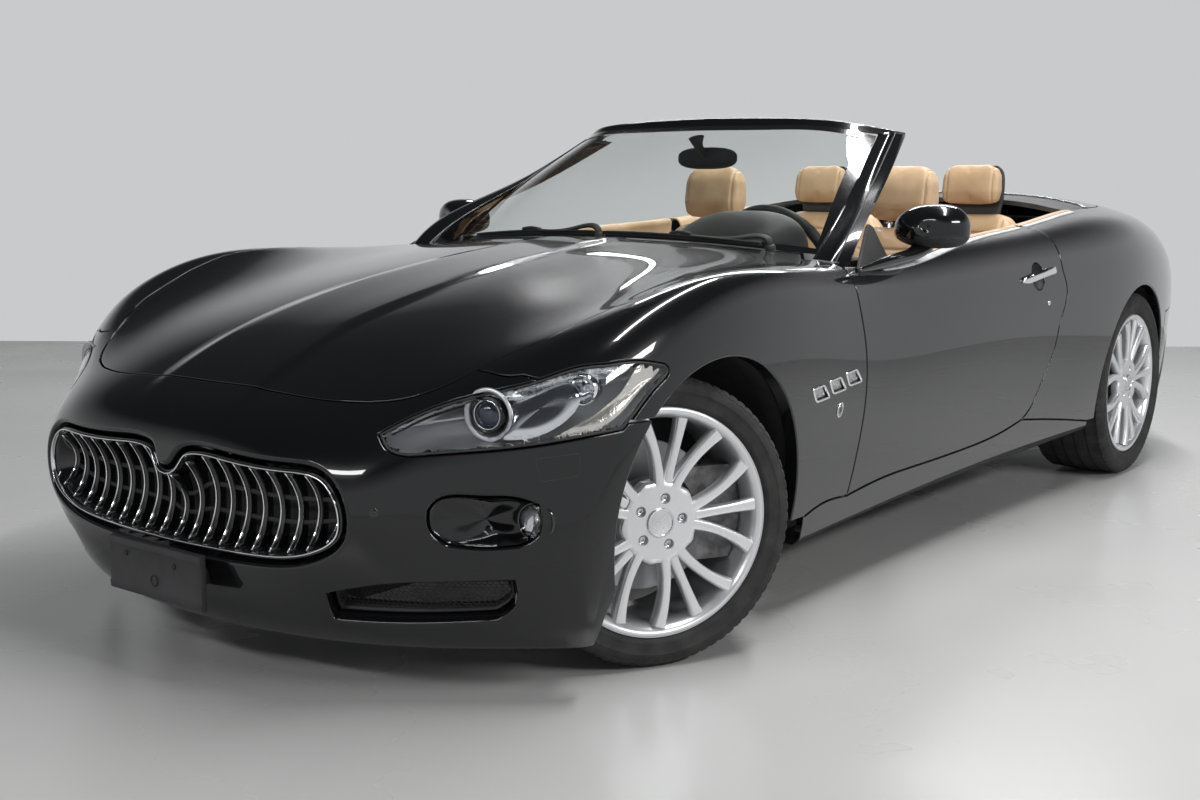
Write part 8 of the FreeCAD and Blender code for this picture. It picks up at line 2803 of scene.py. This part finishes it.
def build_floor_trim():
    """Carpet over the floor, up the front wall and up to the rear seat."""
    line = spline([(0, -0.806, 0.620), (0, -0.800, 0.460), (0, -0.770, 0.330), (0, -0.690, 0.258),
                   (0, -0.600, 0.241),
                   (0, 0.300, 0.239), (0, 0.700, 0.240), (0, 0.745, 0.262), (0, 0.775, 0.330),
                   (0, 0.800, 0.362)], 60)
    across = np.linspace(-0.788, 0.788, 60)
    rows = []
    for x in across:
        rows.append(line + np.array([x, 0, 0.002 * math.sin(x * 9)]))
    carpet = loft("carpet", np.array(rows), ring=False, caps=False)
    pane(carpet, 0.004)
    finish_piece(carpet, "body", CARPET, "black_plastic")
    mats = []
    for x, y0, y1 in ((0.44, -0.690, -0.330), (-0.44, -0.690, -0.330), (0.36, 0.400, 0.690),
                      (-0.36, 0.400, 0.690)):
        half = 0.225 if y0 < 0 else 0.20
        ring = superellipse(half, (y1 - y0) / 2, 0.22, 48)
        ring[:, 0] += x
        ring[:, 1] += (y0 + y1) / 2
        lift = np.interp(ring[:, 1], [-0.69, -0.60, 0.7], [0.266, 0.250, 0.247])
        mats.append(loft("mat", np.array([np.column_stack([ring, lift]),
                                          np.column_stack([ring, lift + 0.007]),
                                          np.column_stack([(ring - (x, (y0 + y1) / 2)) * 0.985
                                                           + (x, (y0 + y1) / 2), lift + 0.009])])))
    finish_piece(sharpen(joined("floor_mats", *mats), 40), "body", CARPET, "black_plastic")
    pedals = []
    for x, z, half, tall in ((0.300, 0.375, 0.026, 0.060), (0.400, 0.420, 0.042, 0.028)):
        ring = superellipse(half, tall, 0.3, 32)
        face = [np.column_stack([ring[:, 0] * s + x, -0.700 - ring[:, 1] * 0.35 + d, ring[:, 1] * s + z])
                for s, d in ((1, -0.004), (1, 0.004), (0.92, 0.007))]
        pedals.append(loft("pad", np.array(face)))
        arm = spline([(x, -0.706, z), (x, -0.745, z + 0.08), (x, -0.770, z + 0.20)], 12)
        pedals.append(sweep("arm", arm, box_section(0.012, 0.018, 0.003), (1, 0, 0)))
    finish_piece(joined("pedals", *pedals), "body", SATIN, "chrome")


build_front_seats()
build_rear_seats()
build_dashboard()
build_steering_wheel()
build_console()
build_door_cards()
build_side_trims()
build_floor_trim()


# CAD nodes that stay in view get their material here.
NODE_LOOKS = {
    "underbody": UNDER, "engine_block": CAST, "front_axle": CAST, "rear_axle": CAST,
    "knuckle_front_left": CAST, "knuckle_front_right": CAST, "exhaust": SATIN,
    "console": BLACK_LEATHER, "dashboard": BLACK_LEATHER, "steering_wheel": BLACK_LEATHER,
    "seat_left": TAN, "seat_right": TAN, "rear_seats": TAN,
    "windscreen": SCREEN_GLASS, "windscreen_frame": GLOSS, "wipers": MATT,
    "mirror_left": PAINT, "mirror_right": PAINT, "headlamp_left": LENS, "headlamp_right": LENS,
    "tail_lamps": RED, "grille": CHROME, "lower_grille": MATT, "plate_bracket": DARK,
}
for name, item in CAD.items():
    look = NODE_LOOKS.get(name)
    if look is None:
        look = RUBBER if name.startswith("tyre") else SILVER if name.startswith("rim") else PAINT
    item.data.materials.clear()
    item.data.materials.append(look)


# Camera, floor, world and light
PIXELS_ACROSS = 1200
FOCAL_PIXELS = 1454.97
CAMERA_PLACE = (2.7567, -4.3384, 1.0970)
CAMERA_YAW = math.radians(37.943)
CAMERA_PITCH = math.radians(8.283)
CAMERA_ROLL = math.radians(0.279)


def build_camera():
    data = bpy.data.cameras.new("camera")
    data.sensor_width = 36
    data.lens = FOCAL_PIXELS / PIXELS_ACROSS * data.sensor_width
    data.clip_end = 100
    item = bpy.data.objects.new("camera", data)
    turn = Matrix.Rotation(CAMERA_YAW, 4, "Z") @ Matrix.Rotation(math.pi / 2 - CAMERA_PITCH, 4, "X")
    item.matrix_world = Matrix.Translation(CAMERA_PLACE) @ turn @ Matrix.Rotation(CAMERA_ROLL, 4, "Z")
    bpy.context.scene.collection.objects.link(item)
    bpy.context.scene.camera = item


def floor_look():
    """Polished pale concrete: soft mottling and a slight gloss."""
    look = Look("floor", (0.50, 0.50, 0.49), 0.3)
    cloud = look.ramp(look.noise(1.6, 3.0), (0.45, 0.455, 0.45), (0.53, 0.53, 0.52), 0.1, 0.9)
    look.drive("Base Color", cloud)
    look.drive("Roughness", look.ramp(look.noise(0.8), 0.20, 0.36))
    look.relief(look.noise(0.8, 1.0), 0.03, 0.001)
    return look.item


FLOOR_HALF = 5.2


def build_floor():
    """A square floor turned to the camera. The world's pale lower part stands for the wall behind it."""
    across = np.array([math.cos(CAMERA_YAW), math.sin(CAMERA_YAW), 0]) * FLOOR_HALF
    away = np.array([-math.sin(CAMERA_YAW), math.cos(CAMERA_YAW), 0]) * FLOOR_HALF
    floor = make_mesh("floor", [-across - away, across - away, across + away, away - across], [(0, 1, 2, 3)])
    floor.data.materials.append(floor_look())


def area_light(name, place, target, size, power):
    data = bpy.data.lights.new(name, "AREA")
    data.shape = "RECTANGLE"
    data.size, data.size_y = size
    data.energy = power
    item = bpy.data.objects.new(name, data)
    place, target = Vector(place), Vector(target)
    item.location = place
    item.rotation_euler = (target - place).to_track_quat("-Z", "Y").to_euler()
    bpy.context.scene.collection.objects.link(item)


WALL_COLOUR = (0.585, 0.59, 0.60, 1)
CEILING_COLOUR = (0.028, 0.030, 0.034, 1)
ROOM_LIGHT = 0.55


def build_world():
    """A plain room: pale walls low down, a dark ceiling. Walls light the scene less than they show."""
    world = bpy.data.worlds.new("studio")
    world.use_nodes = True
    nodes, links = world.node_tree.nodes, world.node_tree.links
    place = nodes.new("ShaderNodeTexCoord")
    split = nodes.new("ShaderNodeSeparateXYZ")
    ramp = nodes.new("ShaderNodeValToRGB")
    ramp.color_ramp.elements[0].position = 0.22
    ramp.color_ramp.elements[0].color = WALL_COLOUR
    ramp.color_ramp.elements[1].position = 0.46
    ramp.color_ramp.elements[1].color = CEILING_COLOUR
    path = nodes.new("ShaderNodeLightPath")
    strength = nodes.new("ShaderNodeMapRange")
    strength.inputs["To Min"].default_value = 1.0
    strength.inputs["To Max"].default_value = ROOM_LIGHT
    links.new(path.outputs["Is Diffuse Ray"], strength.inputs["Value"])
    links.new(strength.outputs["Result"], nodes["Background"].inputs["Strength"])
    links.new(place.outputs["Generated"], split.inputs["Vector"])
    links.new(split.outputs["Z"], ramp.inputs["Fac"])
    links.new(ramp.outputs["Color"], nodes["Background"].inputs["Color"])
    bpy.context.scene.world = world


# Each long lamp: its place, the point it looks at, its size and its power in watts.
LAMPS = {
    "roof_light": ((1.2, 0.6, 5.0), (0.2, 0, 0), (6.0, 0.35), 300),
    "side_light": ((6.2, -1.0, 3.4), (0, 0, 0.4), (4.0, 0.5), 190),
    "nose_light": ((0.4, -7.2, 3.8), (0, -1.0, 0.5), (5.0, 0.4), 130),
    "far_light": ((-2.6, 5.2, 4.6), (0.2, 1.5, 0.4), (5.0, 0.4), 150),
}


def build_light():
    build_world()
    for name, (place, target, size, power) in LAMPS.items():
        area_light(name, place, target, size, power)


build_camera()
build_floor()
build_light()
bpy.context.scene.view_settings.view_transform = "Standard"
